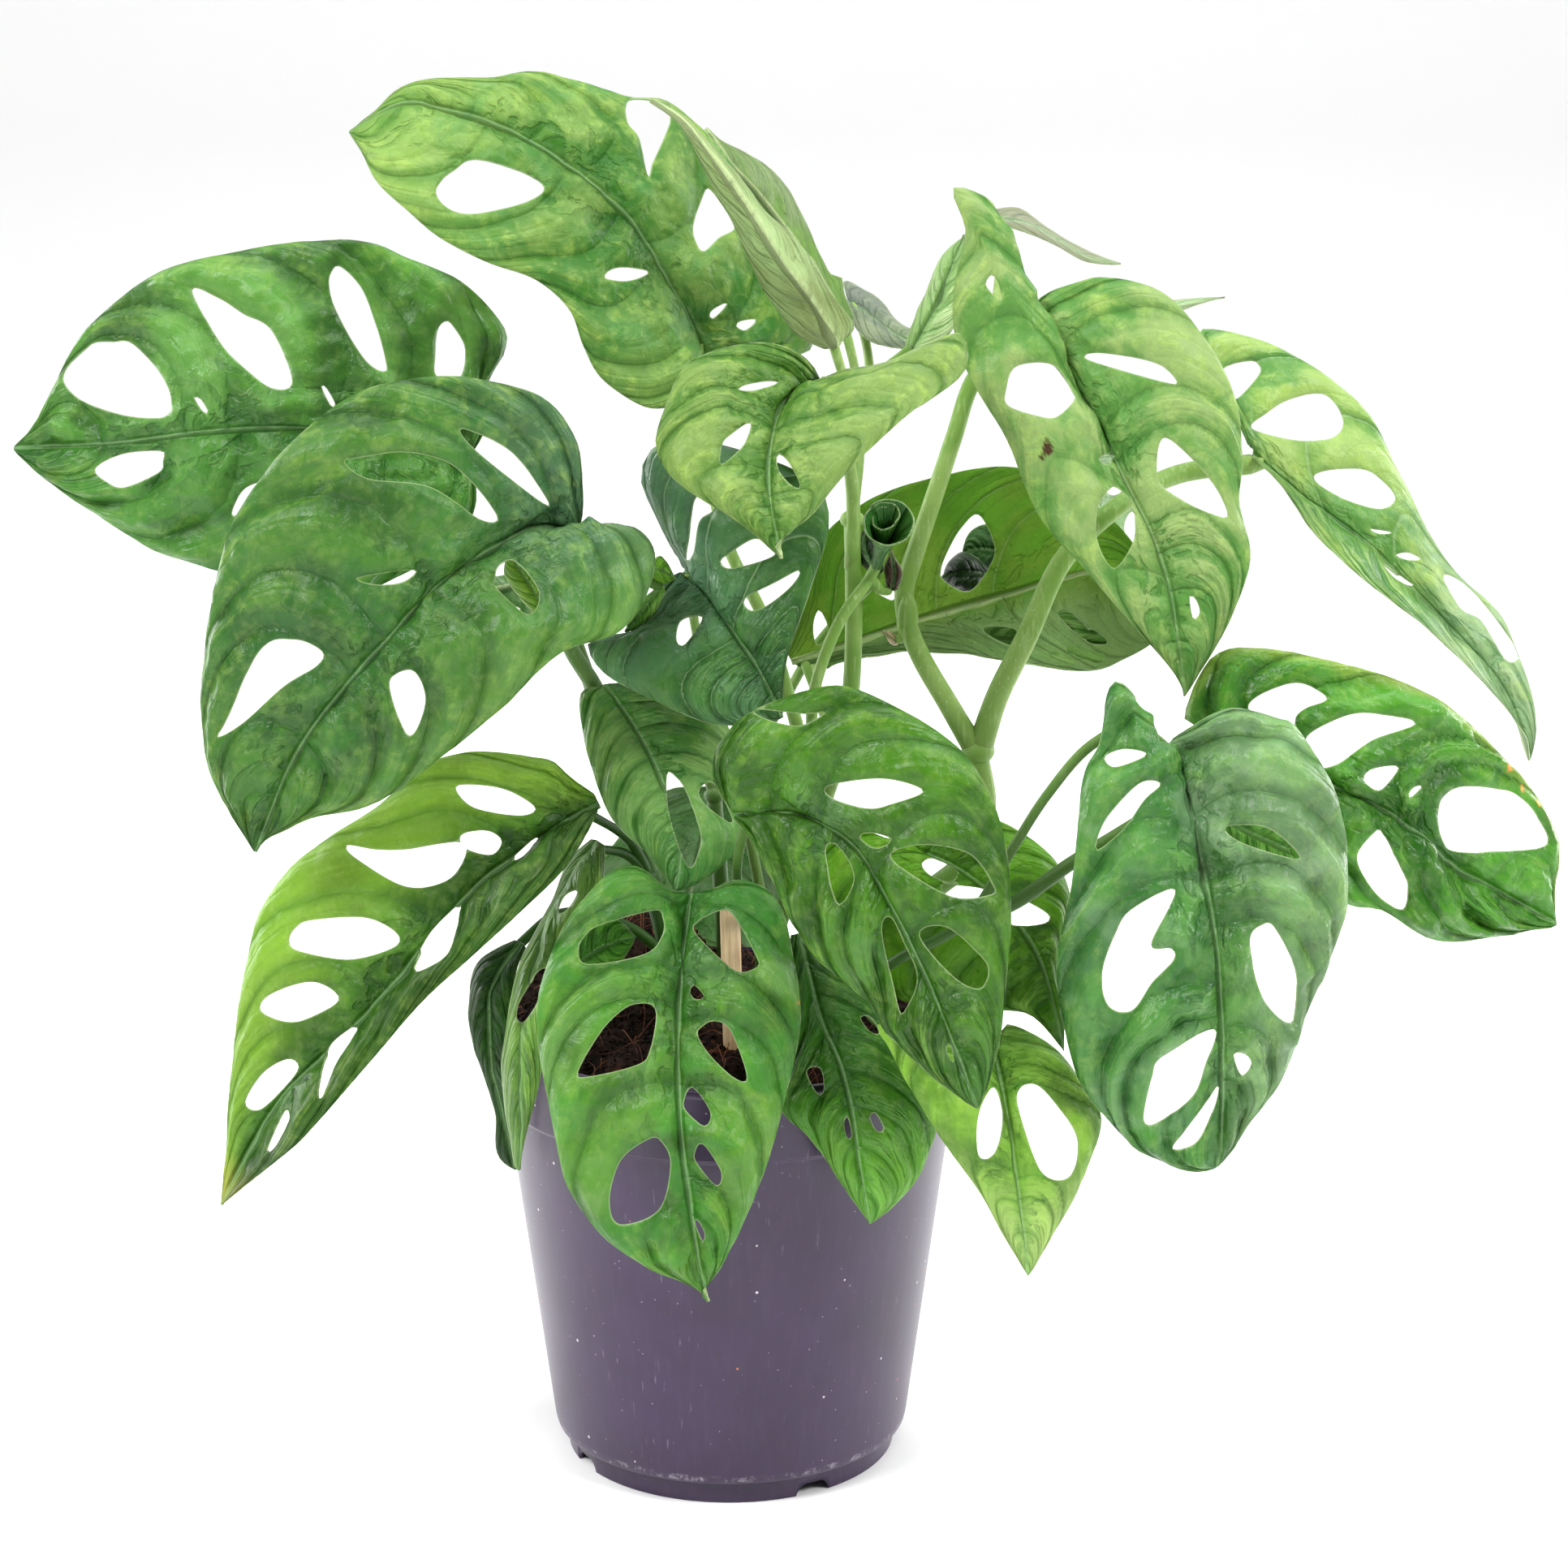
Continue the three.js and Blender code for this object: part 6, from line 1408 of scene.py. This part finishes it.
# Old damage on a blade: its colour, and the pixel and radius in millimetres of each spot.
BLEMISHES = {
    "leaf_right_top": ("3f2a16", (1291, 553, 1.3), (1284, 562, 0.8), (1266, 562, 0.5), (1289, 541, 0.6)),
    "leaf_right_mid": ("d09a4c", (1857, 946, 0.9), (1876, 972, 0.8), (1890, 990, 0.5)),
    "leaf_front_centre": ("b98a4e", (982, 1234, 0.8),),
    "leaf_left_rim": ("c08a4a", (583, 1328, 0.5),),
}


# Blades smoother than GLOSSY_BELOW have the waxier skin.
GLOSSY_BELOW = 0.42
GLOSSY_LEVEL = 0.24
MATT_LEVEL = 0.16


def leaf_finish(name):
    """The finish of one leaf: blotches along its side veins, net veins, a thin pale edge and a
    paler underside, with painted shade along the veins, the rib and the creases, and on some
    blades painted sheen and painted shadow. It reads the blade's own attributes: blade is which
    side vein, the way across from the rib and the way in from any edge, both in millimetres;
    share is how far along, how far across and how far in from the margin; upper is 1 on the upper face.
    """
    light, dark, under, mottle, rough, *_ = LOOKS[name]
    skin = Finish("blade_" + name, Specular_IOR_Level=GLOSSY_LEVEL if rough < GLOSSY_BELOW else MATT_LEVEL)
    where = skin.place()
    phase, signed, edge = [skin.part(skin.attribute("blade", out=1), axis) for axis in range(3)]
    across = signed.maths("ABSOLUTE")
    share = skin.attribute("share", out=1)
    margin = skin.part(share, 2)
    top = skin.attribute("upper")
    broad = skin.grain(where, 0.024, detail=2)
    cloud = skin.grain(where, 0.017, detail=3, roughness=0.5, distortion=0.6)
    patch = skin.grain(where, 0.005, detail=5, roughness=0.68, distortion=0.8)
    veined = skin.node("CombineXYZ", in0=phase * 2.6, in1=signed * 0.13)
    blotch = skin.grain(veined, 1.0, detail=4, roughness=0.62, distortion=0.7)
    pleated = skin.node("CombineXYZ", in0=phase * 8.0, in1=signed * 0.07)
    pleat = skin.grain(pleated, 1.0, detail=2, distortion=0.3)
    crinkled = skin.node("CombineXYZ", in0=phase * 3.2, in1=signed * 0.2)
    crinkle = skin.grain(crinkled, 1.0, detail=3, roughness=0.5, distortion=0.7)
    # Creases: wrinkle hollows by the rib; the darkening they give the colour is painted shade.
    crease = crinkle.ramp(0.5, 0.4) * across.ramp(20, 3) * across.ramp(0.5, 2.0) * cloud.ramp(0.38, 0.55)
    vein_phase = phase + (skin.grain(where, 0.012, detail=2) - 0.5) * 0.1
    from_vein = (vein_phase.maths("FRACT") - 0.5).maths("ABSOLUTE") * -1 + 0.5
    # Crowns of the bulges between the veins: they lighten the tone, partly the blade's own paler tissue and
    # partly painted light on the bulges.
    crown = from_vein.ramp(0.08, 0.4) * across.ramp(2, 8) * cloud.ramp(0.35, 0.6)
    from_lesser = ((vein_phase * 3).maths("FRACT") - 0.5).maths("ABSOLUTE") * -1 + 0.5
    # Painted shade: the blade darkens toward each side vein, where the veins sink.
    vein_shade = from_vein.ramp(0.2, 0.0)
    vein_core = from_vein.ramp(0.03, 0.0) * patch.ramp(0.25, 0.5)
    lesser_core = from_lesser.ramp(0.05, 0.012) * broad.ramp(0.4, 0.6)
    # Painted shade along the groove of the rib.
    rib_shade = across.ramp(3.6, 0.4)
    rib_core = across.ramp(0.75, 0.15)
    wobble = skin.node("TexNoise", out=1, Vector=where, Scale=260.0, Detail=2.0)
    bent = skin.node("VectorMath", {"operation": "MULTIPLY_ADD"}, in0=wobble, in1=(0.0022,) * 3, in2=where)
    cell_heart = skin.cells(bent, 400).ramp(0.9, 0.2)
    net = skin.cells(bent, 520, "DISTANCE_TO_EDGE").ramp(0.09, 0.015) * patch.ramp(0.35, 0.6)
    spread = broad * 0.62 + patch * 0.1 + blotch * 0.34
    tone = skin.mix((spread + crown * 0.1 - crease * 0.08).ramp(0.45, 0.64), ink(dark), ink(light))
    below = skin.mix((broad * 0.6 + blotch * 0.4).ramp(0.4, 0.6), ink(under), ink(light))
    # Each blade's listed tones: most are its own colour, some painted sheen and some painted shade.
    for colour, way, start, end, strength in TINTS_AND_PAINTED_LIGHT.get(name, []):
        comes_in = (cloud if way == CLOUDS else skin.part(share, way)).ramp(start, end)
        comes_in = comes_in * (blotch * 0.6 + 0.7) * strength
        tone, below = [skin.mix(comes_in, face, ink(colour)) for face in (tone, below)]
    sunny = (blotch * 0.55 + patch * 0.45).ramp(0.5, 0.64) * margin.ramp(26, 2) * across.ramp(1.5, 6.0)
    tone = skin.mix(sunny * mottle * 0.42, tone, ink("aac654"))
    tone = skin.mix(cell_heart * patch.ramp(0.4, 0.6) * mottle * 0.28, tone, ink("a6c069"))
    # Fine lines: the lesser veins and the net, with painted shade in the hollows of the pleats.
    fine_lines = pleat.ramp(0.5, 0.3) * 0.1 + lesser_core * 0.2 + net * 0.22
    tone = skin.mix(fine_lines, tone, (0.5, 0.66, 0.45, 1), "MULTIPLY")
    # Painted shade: darker bands along the side veins and in the creases, with the veins' own darker core
    # lines.
    veins = vein_shade * 0.36 + vein_core * 0.12 + crease * 0.42
    tone = skin.mix(veins, tone, (0.34, 0.62, 0.34, 1), "MULTIPLY")
    if name in PALE_VEINED:
        tone = skin.mix(vein_core * 0.35, tone, ink("9dba8a"))
    # Painted shade along the rib, then the rib's own paler core.
    tone = skin.mix(rib_shade * 0.42, tone, (0.4, 0.62, 0.38, 1), "MULTIPLY")
    tone = skin.mix(rib_core * 0.4, tone, ink("8cb57a"))
    # The underside: darker patches, and painted shade along its veins.
    below = skin.mix(patch.ramp(0.6, 0.35) * 0.25 + vein_shade * 0.3, below, (0.55, 0.7, 0.5, 1), "MULTIPLY")
    below = skin.mix(vein_core * 0.15 + rib_core * 0.6, below, ink("b9c994"))
    below = skin.mix(net * 0.3, below, (0.5, 0.66, 0.45, 1), "MULTIPLY")
    tone = skin.mix(top, below, tone)
    before_tip = skin.part(share, 0).ramp(0.99, 0.97)
    tone = skin.mix(edge.ramp(0.36, 0.08) * before_tip * 0.45, tone, ink("a6ba86"))
    if name in BLEMISHES:
        scar = skin.attribute("scar") + (patch - 0.5) * 1.6
        tone = skin.mix(scar.ramp(0.5, -0.2), tone, ink(BLEMISHES[name][0]))
    height = from_vein.ramp(0.0, 0.04) * 0.2 + from_vein.ramp(0.0, 0.15) * 0.4
    height = height + from_lesser.ramp(0.0, 0.2) * 0.14
    height = height + pleat * 0.2 + patch * 0.6 - crease * 0.6 + crinkle * across.ramp(30, 6) * 0.9
    height = height + broad * 1.2 + across.ramp(0.1, 1.4) * 0.6
    return skin.put(Base_Color=tone, Roughness=rough - 0.05 + (patch - 0.5) * 0.25 + (1 - top) * 0.14,
                    Normal=skin.relief(height, 0.7, 0.0014))


def inside(points, loop):
    """Which points lie inside a closed loop, both in the plane."""
    x, y = points[:, 0][:, None], points[:, 1][:, None]
    x0, y0 = loop[:, 0][None], loop[:, 1][None]
    x1, y1 = np.roll(loop[:, 0], -1)[None], np.roll(loop[:, 1], -1)[None]
    rise = np.where(y1 == y0, 1e-12, y1 - y0)
    crossing = ((y0 > y) != (y1 > y)) & (x < (x1 - x0) * (y - y0) / rise + x0)
    return crossing.sum(1) % 2 == 1


def blade_lines(leaf, s):
    """The rib, both margins and the rib's depth at shares s of the blade's length."""
    rib = along_curve(leaf["rib"], s)
    left, right = [along_curve([*leaf[side], leaf["rib"][-1]], s) for side in ("left", "right")]
    count = len(leaf["depth"]) - 1
    t = np.asarray(s) * count
    line = np.array(leaf["depth"], float)
    i = np.minimum(t.astype(int), count - 1)
    p0, p1 = line[np.maximum(i - 1, 0)], line[i]
    p2, p3 = line[i + 1], line[np.minimum(i + 2, count)]
    return rib, left, right, arc_between(p1, p2, (p2 - p0) / 2, (p3 - p1) / 2, t - i)


def pixel_of(table, s, t):
    """The photograph's pixel at share s along the blade and t across it, -1 left to 1 right."""
    stations, rib, left, right = table
    middle, low, high = [
        np.stack([np.interp(s, stations, line[:, k]) for k in (0, 1)], axis=-1) for line in (rib, left, right)
    ]
    margin = np.where((t < 0)[..., None], low, high)
    return middle + (margin - middle) * np.abs(t)[..., None]


def blade_share(table, pixels):
    """The (s, t) of pixels on the blade, by a coarse search and a few closing steps."""
    grid_s, grid_t = np.meshgrid(np.linspace(0.004, BLADE_END, SEARCH_S), np.linspace(-0.97, 0.97, SEARCH_T),
                                 indexing="ij")
    grid = pixel_of(table, grid_s, grid_t)
    found = []
    for pixel in pixels:
        nearest = np.argmin(((grid - pixel) ** 2).sum(-1))
        found.append((grid_s.flat[nearest], grid_t.flat[nearest]))
    s, t = np.array(found).T
    sign = np.where(t < 0, -1.0, 1.0)
    for _ in range(4):
        here = pixel_of(table, s, t)
        ds = (pixel_of(table, np.minimum(s + SEARCH_STEP, BLADE_END), t) - here) / SEARCH_STEP
        dt = (pixel_of(table, s, t + sign * SEARCH_STEP) - here) / (sign * SEARCH_STEP)[:, None]
        miss = pixels - here
        area = ds[:, 0] * dt[:, 1] - ds[:, 1] * dt[:, 0]
        area = np.where(np.abs(area) < 1e-3, 1e-3, area)
        s = np.clip(s + 0.8 * (miss[:, 0] * dt[:, 1] - miss[:, 1] * dt[:, 0]) / area, 0.003, BLADE_END)
        t = t + 0.8 * (ds[:, 0] * miss[:, 1] - ds[:, 1] * miss[:, 0]) / area
        t = np.where(sign < 0, np.clip(t, -0.985, -0.006), np.clip(t, 0.006, 0.985))
    return s, t


VEIN_JITTER = 0.16
VEIN_CLEARANCE = 0.008
VEIN_MINIMUM_GAP = 0.45
RIGHT_VEINS_FROM = 40


def vein_arc(t):
    """How far a side vein has swept toward the tip, as a share of the length, at share t across."""
    return 0.07 * np.abs(t) + 0.2 * np.abs(t) ** 3


def side_vein_phase(s, t, holes, spacing):
    """Which side vein a point lies on or between: whole numbers are veins, which keep off the holes."""
    phase = np.zeros_like(s)
    jitter = np.random.default_rng(len(s))
    for side in (-1, 1):
        taken = []
        for hole_s, hole_t in holes:
            if np.mean(hole_t) * side > 0:
                along = hole_s - vein_arc(hole_t)
                taken.append((along.min(), along.max()))
        veins = []
        where = -0.45
        while where < 1.1:
            spot = where + spacing * jitter.uniform(-VEIN_JITTER, VEIN_JITTER)
            for low, high in taken:
                if low < spot < high:
                    spot = low - VEIN_CLEARANCE if spot - low < high - spot else high + VEIN_CLEARANCE
            if not veins or spot - veins[-1] > spacing * VEIN_MINIMUM_GAP:
                veins.append(spot)
            where += spacing
        chosen = t * side >= 0
        along = s[chosen] - vein_arc(t[chosen])
        first = 0 if side < 0 else RIGHT_VEINS_FROM
        phase[chosen] = np.interp(along, veins, np.arange(len(veins)) + first)
    return phase


def length_of(points):
    """The length, in metres, of a line through pixels."""
    return np.sum(np.linalg.norm(np.diff(np.array(points, float), axis=0), axis=1)) * MM_PER_PIXEL / 1000


def cut_sheet(loops, length, reach):
    """A flat sheet of triangles without the loops, as the (s, t) of its points and its triangles."""
    rows = int(np.clip(length / BLADE_CELL, 30, 110))
    columns = int(np.clip(reach / BLADE_CELL, 8, 44))
    grid_s = np.repeat(np.linspace(0, BLADE_END, rows + 1), 2 * columns + 1)
    grid_t = np.tile(np.linspace(-1, 1, 2 * columns + 1), rows + 1)
    outer = (np.abs(grid_t) > 0.999) | (grid_s < 1e-6) | (grid_s > BLADE_END - 1e-6)
    plane = np.array([length, reach])
    grid = np.stack([grid_s, grid_t], axis=1) * plane
    keep = np.ones(len(grid), bool)
    for loop in loops:
        flat = loop * plane
        near = np.min(np.linalg.norm(grid[:, None] - flat[None], axis=2), axis=1) < BLADE_CELL * 0.4
        keep &= outer | ~(near | inside(grid, flat))
    points = [grid[keep]]
    edges = []
    start = int(keep.sum())
    for loop in loops:
        points.append(loop * plane)
        edges += [(start + i, start + (i + 1) % len(loop)) for i in range(len(loop))]
        start += len(loop)
    flat = np.vstack(points)
    made = delaunay_2d_cdt([Vector(point) for point in flat * 100], edges, [], 0, 1e-7)
    flat = np.array([tuple(point) for point in made[0]]) / 100
    triangles = np.array([face for face in made[2] if len(face) == 3])
    middles = flat[triangles].mean(axis=1)
    kept = np.ones(len(triangles), bool)
    for loop in loops:
        kept &= ~inside(middles, loop * plane)
    triangles = triangles[kept]
    s, t = (flat / plane).T
    used = np.unique(triangles)
    order = np.full(len(flat), -1)
    order[used] = np.arange(len(used))
    return s[used], t[used], order[triangles]


def two_faced(name, front, back, triangles):
    """A closed mesh of two sheets with the same triangles, joined round all their rims."""
    count = len(front)
    directed = np.vstack([triangles[:, [0, 1]], triangles[:, [1, 2]], triangles[:, [2, 0]]])
    _, first, times = np.unique(np.sort(directed, axis=1), axis=0, return_index=True, return_counts=True)
    rim = directed[first[times == 1]]
    faces = [tuple(face) for face in triangles.tolist()]
    faces += [(c + count, b + count, a + count) for a, b, c in triangles.tolist()]
    faces += [(b, a, a + count, b + count) for a, b in rim.tolist()]
    mesh = bpy.data.meshes.new(name)
    mesh.from_pydata(np.vstack([front, back]).tolist(), [], faces)
    return mesh


def grow_leaf(name, leaf):
    """One blade: a fine mesh of both faces, with its holes cut and its veins pressed in."""
    *_, puckering, spacing, facing = LOOKS[name]
    stations = np.linspace(0, BLADE_END, BLADE_STATIONS)
    rib, left, right, depths = blade_lines(leaf, stations)
    table = (stations, rib, left, right)
    widths = [np.linalg.norm(margin - rib, axis=1) for margin in (left, right)]
    widest = [width.max() for width in widths]
    loops = []
    hole_pixels = []
    for loop in leaf.get("holes", []):
        count = max(10, int(length_of(loop + loop[:1]) / HOLE_CELL))
        hole_pixels.append(along_curve(loop, np.arange(count) / count, closed=True))
        loops.append(np.stack(blade_share(table, hole_pixels[-1]), axis=1))
    s, t, triangles = cut_sheet(loops, length_of(rib), max(widest) * MM_PER_PIXEL / 1000)

    side = (t > 0).astype(int)
    width = np.where(side, np.interp(s, stations, widths[1]), np.interp(s, stations, widths[0]))
    share = width / np.array(widest)[side]
    lean = np.array(leaf["lean"])[side]
    bulge = leaf["arch"] * ARCH_MM * (1 - np.abs(t))
    depth = np.interp(s, stations, depths) + share * np.abs(t) * (lean - bulge)
    pixels = pixel_of(table, s, t)
    rims = [np.vstack([left, right]), np.vstack([left, right, *hole_pixels])]
    margin, edge = [np.concatenate([
        np.min(np.linalg.norm(part[:, None] - rim[None], axis=2), axis=1)
        for part in np.array_split(pixels, 8)
    ]) * MM_PER_PIXEL for rim in rims]
    across = t * width * MM_PER_PIXEL
    phase = side_vein_phase(s, t, [loop.T for loop in loops], spacing)

    middle = place(pixels[:, 0], pixels[:, 1], depth)
    corners = middle[triangles]
    face_normals = np.cross(corners[:, 1] - corners[:, 0], corners[:, 2] - corners[:, 0])
    normals = np.zeros_like(middle)
    for k in range(3):
        np.add.at(normals, triangles[:, k], face_normals)
    normals /= np.maximum(np.linalg.norm(normals, axis=1), 1e-12)[:, None]
    to_camera = np.array(camera.location) - middle
    if np.sum(normals * to_camera) < 0:
        normals = -normals
        triangles = triangles[:, ::-1]
    toward = normals * facing
    between = np.abs((phase % 1) - 0.5) * 2
    swell = 0.5 + 0.5 * np.cos(np.pi * between)
    swell = swell * np.clip(np.abs(across) / 5, 0, 1) * np.clip(edge / 3, 0.15, 1)
    pucker = np.array([noise.fractal(Vector(point) * 95, 1.0, 2.1, 4) for point in middle])
    pucker = pucker * np.clip(edge / 2.5, 0.3, 1)
    crinkle = np.array([noise.noise(Vector((a, b, 3))) for a, b in zip(phase * 1.4, across * 0.24)])
    crinkle = crinkle * np.clip(1.2 - np.abs(across) / 22, 0, 1) * np.clip(edge / 3, 0, 1)
    relief = (SWELL_MM * swell + PUCKER_MM * pucker + CRINKLE_MM * crinkle) * puckering / 1000
    relief = relief - RIB_GROOVE * np.exp(-(across / RIB_GROOVE_MM) ** 2)
    surface = middle + toward * relief[:, None]
    half = BLADE_EDGE_HALF + (BLADE_HALF - BLADE_EDGE_HALF) * np.clip(edge / BLADE_EDGE_MM, 0, 1)
    ridge = RIB_RIDGE * np.exp(-(across / RIB_RIDGE_MM) ** 2) * (1 - 0.7 * s)
    upper = surface + toward * half[:, None]
    lower = surface - toward * (half + ridge)[:, None]
    front, back = (upper, lower) if facing > 0 else (lower, upper)

    mesh = two_faced("blade_" + name, front, back, triangles)
    set_values(
        mesh,
        blade=np.tile(np.stack([phase, across, edge], axis=1), (2, 1)),
        share=np.tile(np.stack([s, t, margin], axis=1), (2, 1)),
        upper=np.repeat([facing > 0, facing < 0], len(middle)),
    )
    if name in BLEMISHES:
        scars = [np.linalg.norm(pixels - (u, v), axis=1) * MM_PER_PIXEL - radius
                 for u, v, radius in BLEMISHES[name][1:]]
        set_values(mesh, scar=np.tile(np.min(scars, axis=0), 2))
    piece = new_piece("blade_" + name, mesh, leaf_finish(name))
    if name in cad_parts:
        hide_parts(name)
    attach(piece, "root")


for name, leaf in LEAVES.items():
    grow_leaf(name, leaf)

# The newest leaf, still rolled into a funnel round itself: one sheet wound twice, with a
# small scroll standing in its open mouth. It has a stalk of its own on the middle vine.
ROLLED_BASE = place(1080, 697, -11.5)
ROLLED_MOUTH = place(1095, 645, -24)
ROLLED_RADIUS = 0.0064
ROLLED_TURNS = 2.2
ROLLED_THICKNESS = 0.00045
ROLLED_LENGTH_MM = 28
ROLLED_ROWS = 44
ROLLED_COLUMNS = 150
rolled_axis = Vector(ROLLED_MOUTH - ROLLED_BASE)
rolled_turn = Vector((0, 0, 1)).rotation_difference(rolled_axis)
rolled_vertices = []
rolled_faces = []
rolled_blade = []
for row in range(ROLLED_ROWS + 1):
    rise = row / ROLLED_ROWS
    for column in range(ROLLED_COLUMNS + 1):
        wound = column / ROLLED_COLUMNS
        angle = 2 * math.pi * (ROLLED_TURNS * wound + 0.1) + 0.5 * rise
        body = 0.2 + 0.8 * rise ** 2.6
        loose = float(np.interp(wound, [0, 0.35, 0.56, 1], [0.3, 0.48, 0.86, 1.0]))
        radius = ROLLED_RADIUS * body * loose + 0.00006 * math.sin(angle * 7)
        lip = 0.0014 * math.sin(angle + 0.6) * rise - 0.002 * (1 - loose) * rise
        aside = ROLLED_RADIUS * 0.75 * (1 - loose) * body * rise
        point = Vector((radius * math.cos(angle) - aside * 0.45, radius * math.sin(angle) + aside * 0.9,
                        rolled_axis.length * rise + lip))
        rolled_vertices.append(Vector(ROLLED_BASE) + rolled_turn @ point)
        rolled_blade.append((wound * 9, 6.0, min(rise, 1 - rise) * ROLLED_LENGTH_MM))
for row in range(ROLLED_ROWS):
    for column in range(ROLLED_COLUMNS):
        a = row * (ROLLED_COLUMNS + 1) + column
        b = a + ROLLED_COLUMNS + 1
        rolled_faces.append((a, a + 1, b + 1, b))
rolled_mesh = bpy.data.meshes.new("rolled_leaf")
rolled_mesh.from_pydata(rolled_vertices, [], rolled_faces)
set_values(rolled_mesh, blade=rolled_blade, share=[(0.5, 0.5, 8.0)] * len(rolled_vertices),
           upper=np.ones(len(rolled_vertices)))
LOOKS["leaf_rolled"] = ("4c8034", "2f6224", "4a7a36", 0.1, 0.32, 0.5, 0.1, 1)
rolled = new_piece("rolled_leaf", rolled_mesh, leaf_finish("leaf_rolled"))
sheet = rolled.modifiers.new("sheet", "SOLIDIFY")
sheet.thickness = ROLLED_THICKNESS
sheet.offset = 0
rolled = baked(rolled)
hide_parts("leaf_rolled")
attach(rolled, "root")

# The studio: a pale floor that runs up into the backdrop, a broad soft light from the
# upper left, a weaker one from the right, and an even white surround. Far from the plant,
# where the lights fall off, the floor glows a little, so that it stays white in side views.
BLACK, WHITE = (0, 0, 0, 1), (1, 1, 1, 1)
FLOOR_HALF_WIDTH = 4
paper = Finish("studio_paper", Emission_Strength=0.4)
aside_of_plant = paper.part(paper.place(), 0).maths("ABSOLUTE")
before_plant = paper.part(paper.place(), 1)
far_off = aside_of_plant.ramp(0.8, 2.4) + before_plant.ramp(-1.0, -2.4)
paper_tone = paper.mix(paper.grain(paper.place(), 0.3) * 0.1, ink("f7f7f7"), ink("f1f1f1"))
paper_glow = paper.mix(far_off, BLACK, WHITE)
paper_finish = paper.put(Base_Color=paper_tone, Roughness=0.9, Emission_Color=paper_glow)
floor_mesh = bpy.data.meshes.new("studio_floor")
floor_vertices = []
floor_faces = []
floor_line = [(-3.0, 0.0), (1.4, 0.0), (1.8, 0.05), (2.1, 0.22), (2.25, 0.5), (2.3, 1.0), (2.3, 3.2)]
for y, z in floor_line:
    floor_vertices += [(-FLOOR_HALF_WIDTH, y, z), (FLOOR_HALF_WIDTH, y, z)]
for i in range(len(floor_line) - 1):
    floor_faces.append((2 * i, 2 * i + 1, 2 * i + 3, 2 * i + 2))
floor_mesh.from_pydata(floor_vertices, [], floor_faces)
floor = new_piece("studio_floor", floor_mesh, paper_finish)

world = bpy.data.worlds.new("studio")
world.use_nodes = True
surround = world.node_tree.nodes["Background"]
heading = world.node_tree.nodes.new("ShaderNodeTexCoord")
heading_parts = world.node_tree.nodes.new("ShaderNodeSeparateXYZ")
world.node_tree.links.new(heading.outputs["Generated"], heading_parts.inputs[0])
surround.inputs[0].default_value = WHITE
from_behind = Shade(world.node_tree, heading_parts.outputs[1]).ramp(-0.7, 0.2) * 0.9 + 0.1
light_path = world.node_tree.nodes.new("ShaderNodeLightPath")
seen = Shade(world.node_tree, light_path.outputs["Is Camera Ray"])
feed(world.node_tree, surround.inputs[1], seen + from_behind * (1 - seen))
bpy.context.scene.world = world
bpy.context.scene.view_settings.view_transform = "Standard"
LAMP_AIM = Vector((0, 0, 0.2))
# Each light's name, place, width and height in metres, and power in watts.
for name, spot, width, height, power in (
    ("softbox_left", (-1.1, -1.0, 1.6), 0.7, 0.7, 36),
    ("softbox_right", (1.2, -0.8, 1.5), 0.7, 0.7, 28),
    ("softbox_top", (0.2, 0.4, 1.9), 1.2, 1.2, 18),
    ("strip_left", (-0.9, 0.6, 0.35), 0.25, 0.9, 7),
    ("strip_right", (0.9, 0.6, 0.35), 0.25, 0.9, 7),
):
    lamp = bpy.data.lights.new(name, "AREA")
    lamp.shape = "RECTANGLE"
    lamp.size = width
    lamp.size_y = height
    lamp.energy = power
    lamp_object = bpy.data.objects.new(name, lamp)
    lamp_object.location = spot
    lamp_object.rotation_euler = (LAMP_AIM - Vector(spot)).to_track_quat("-Z", "Y").to_euler()
    bpy.context.scene.collection.objects.link(lamp_object)
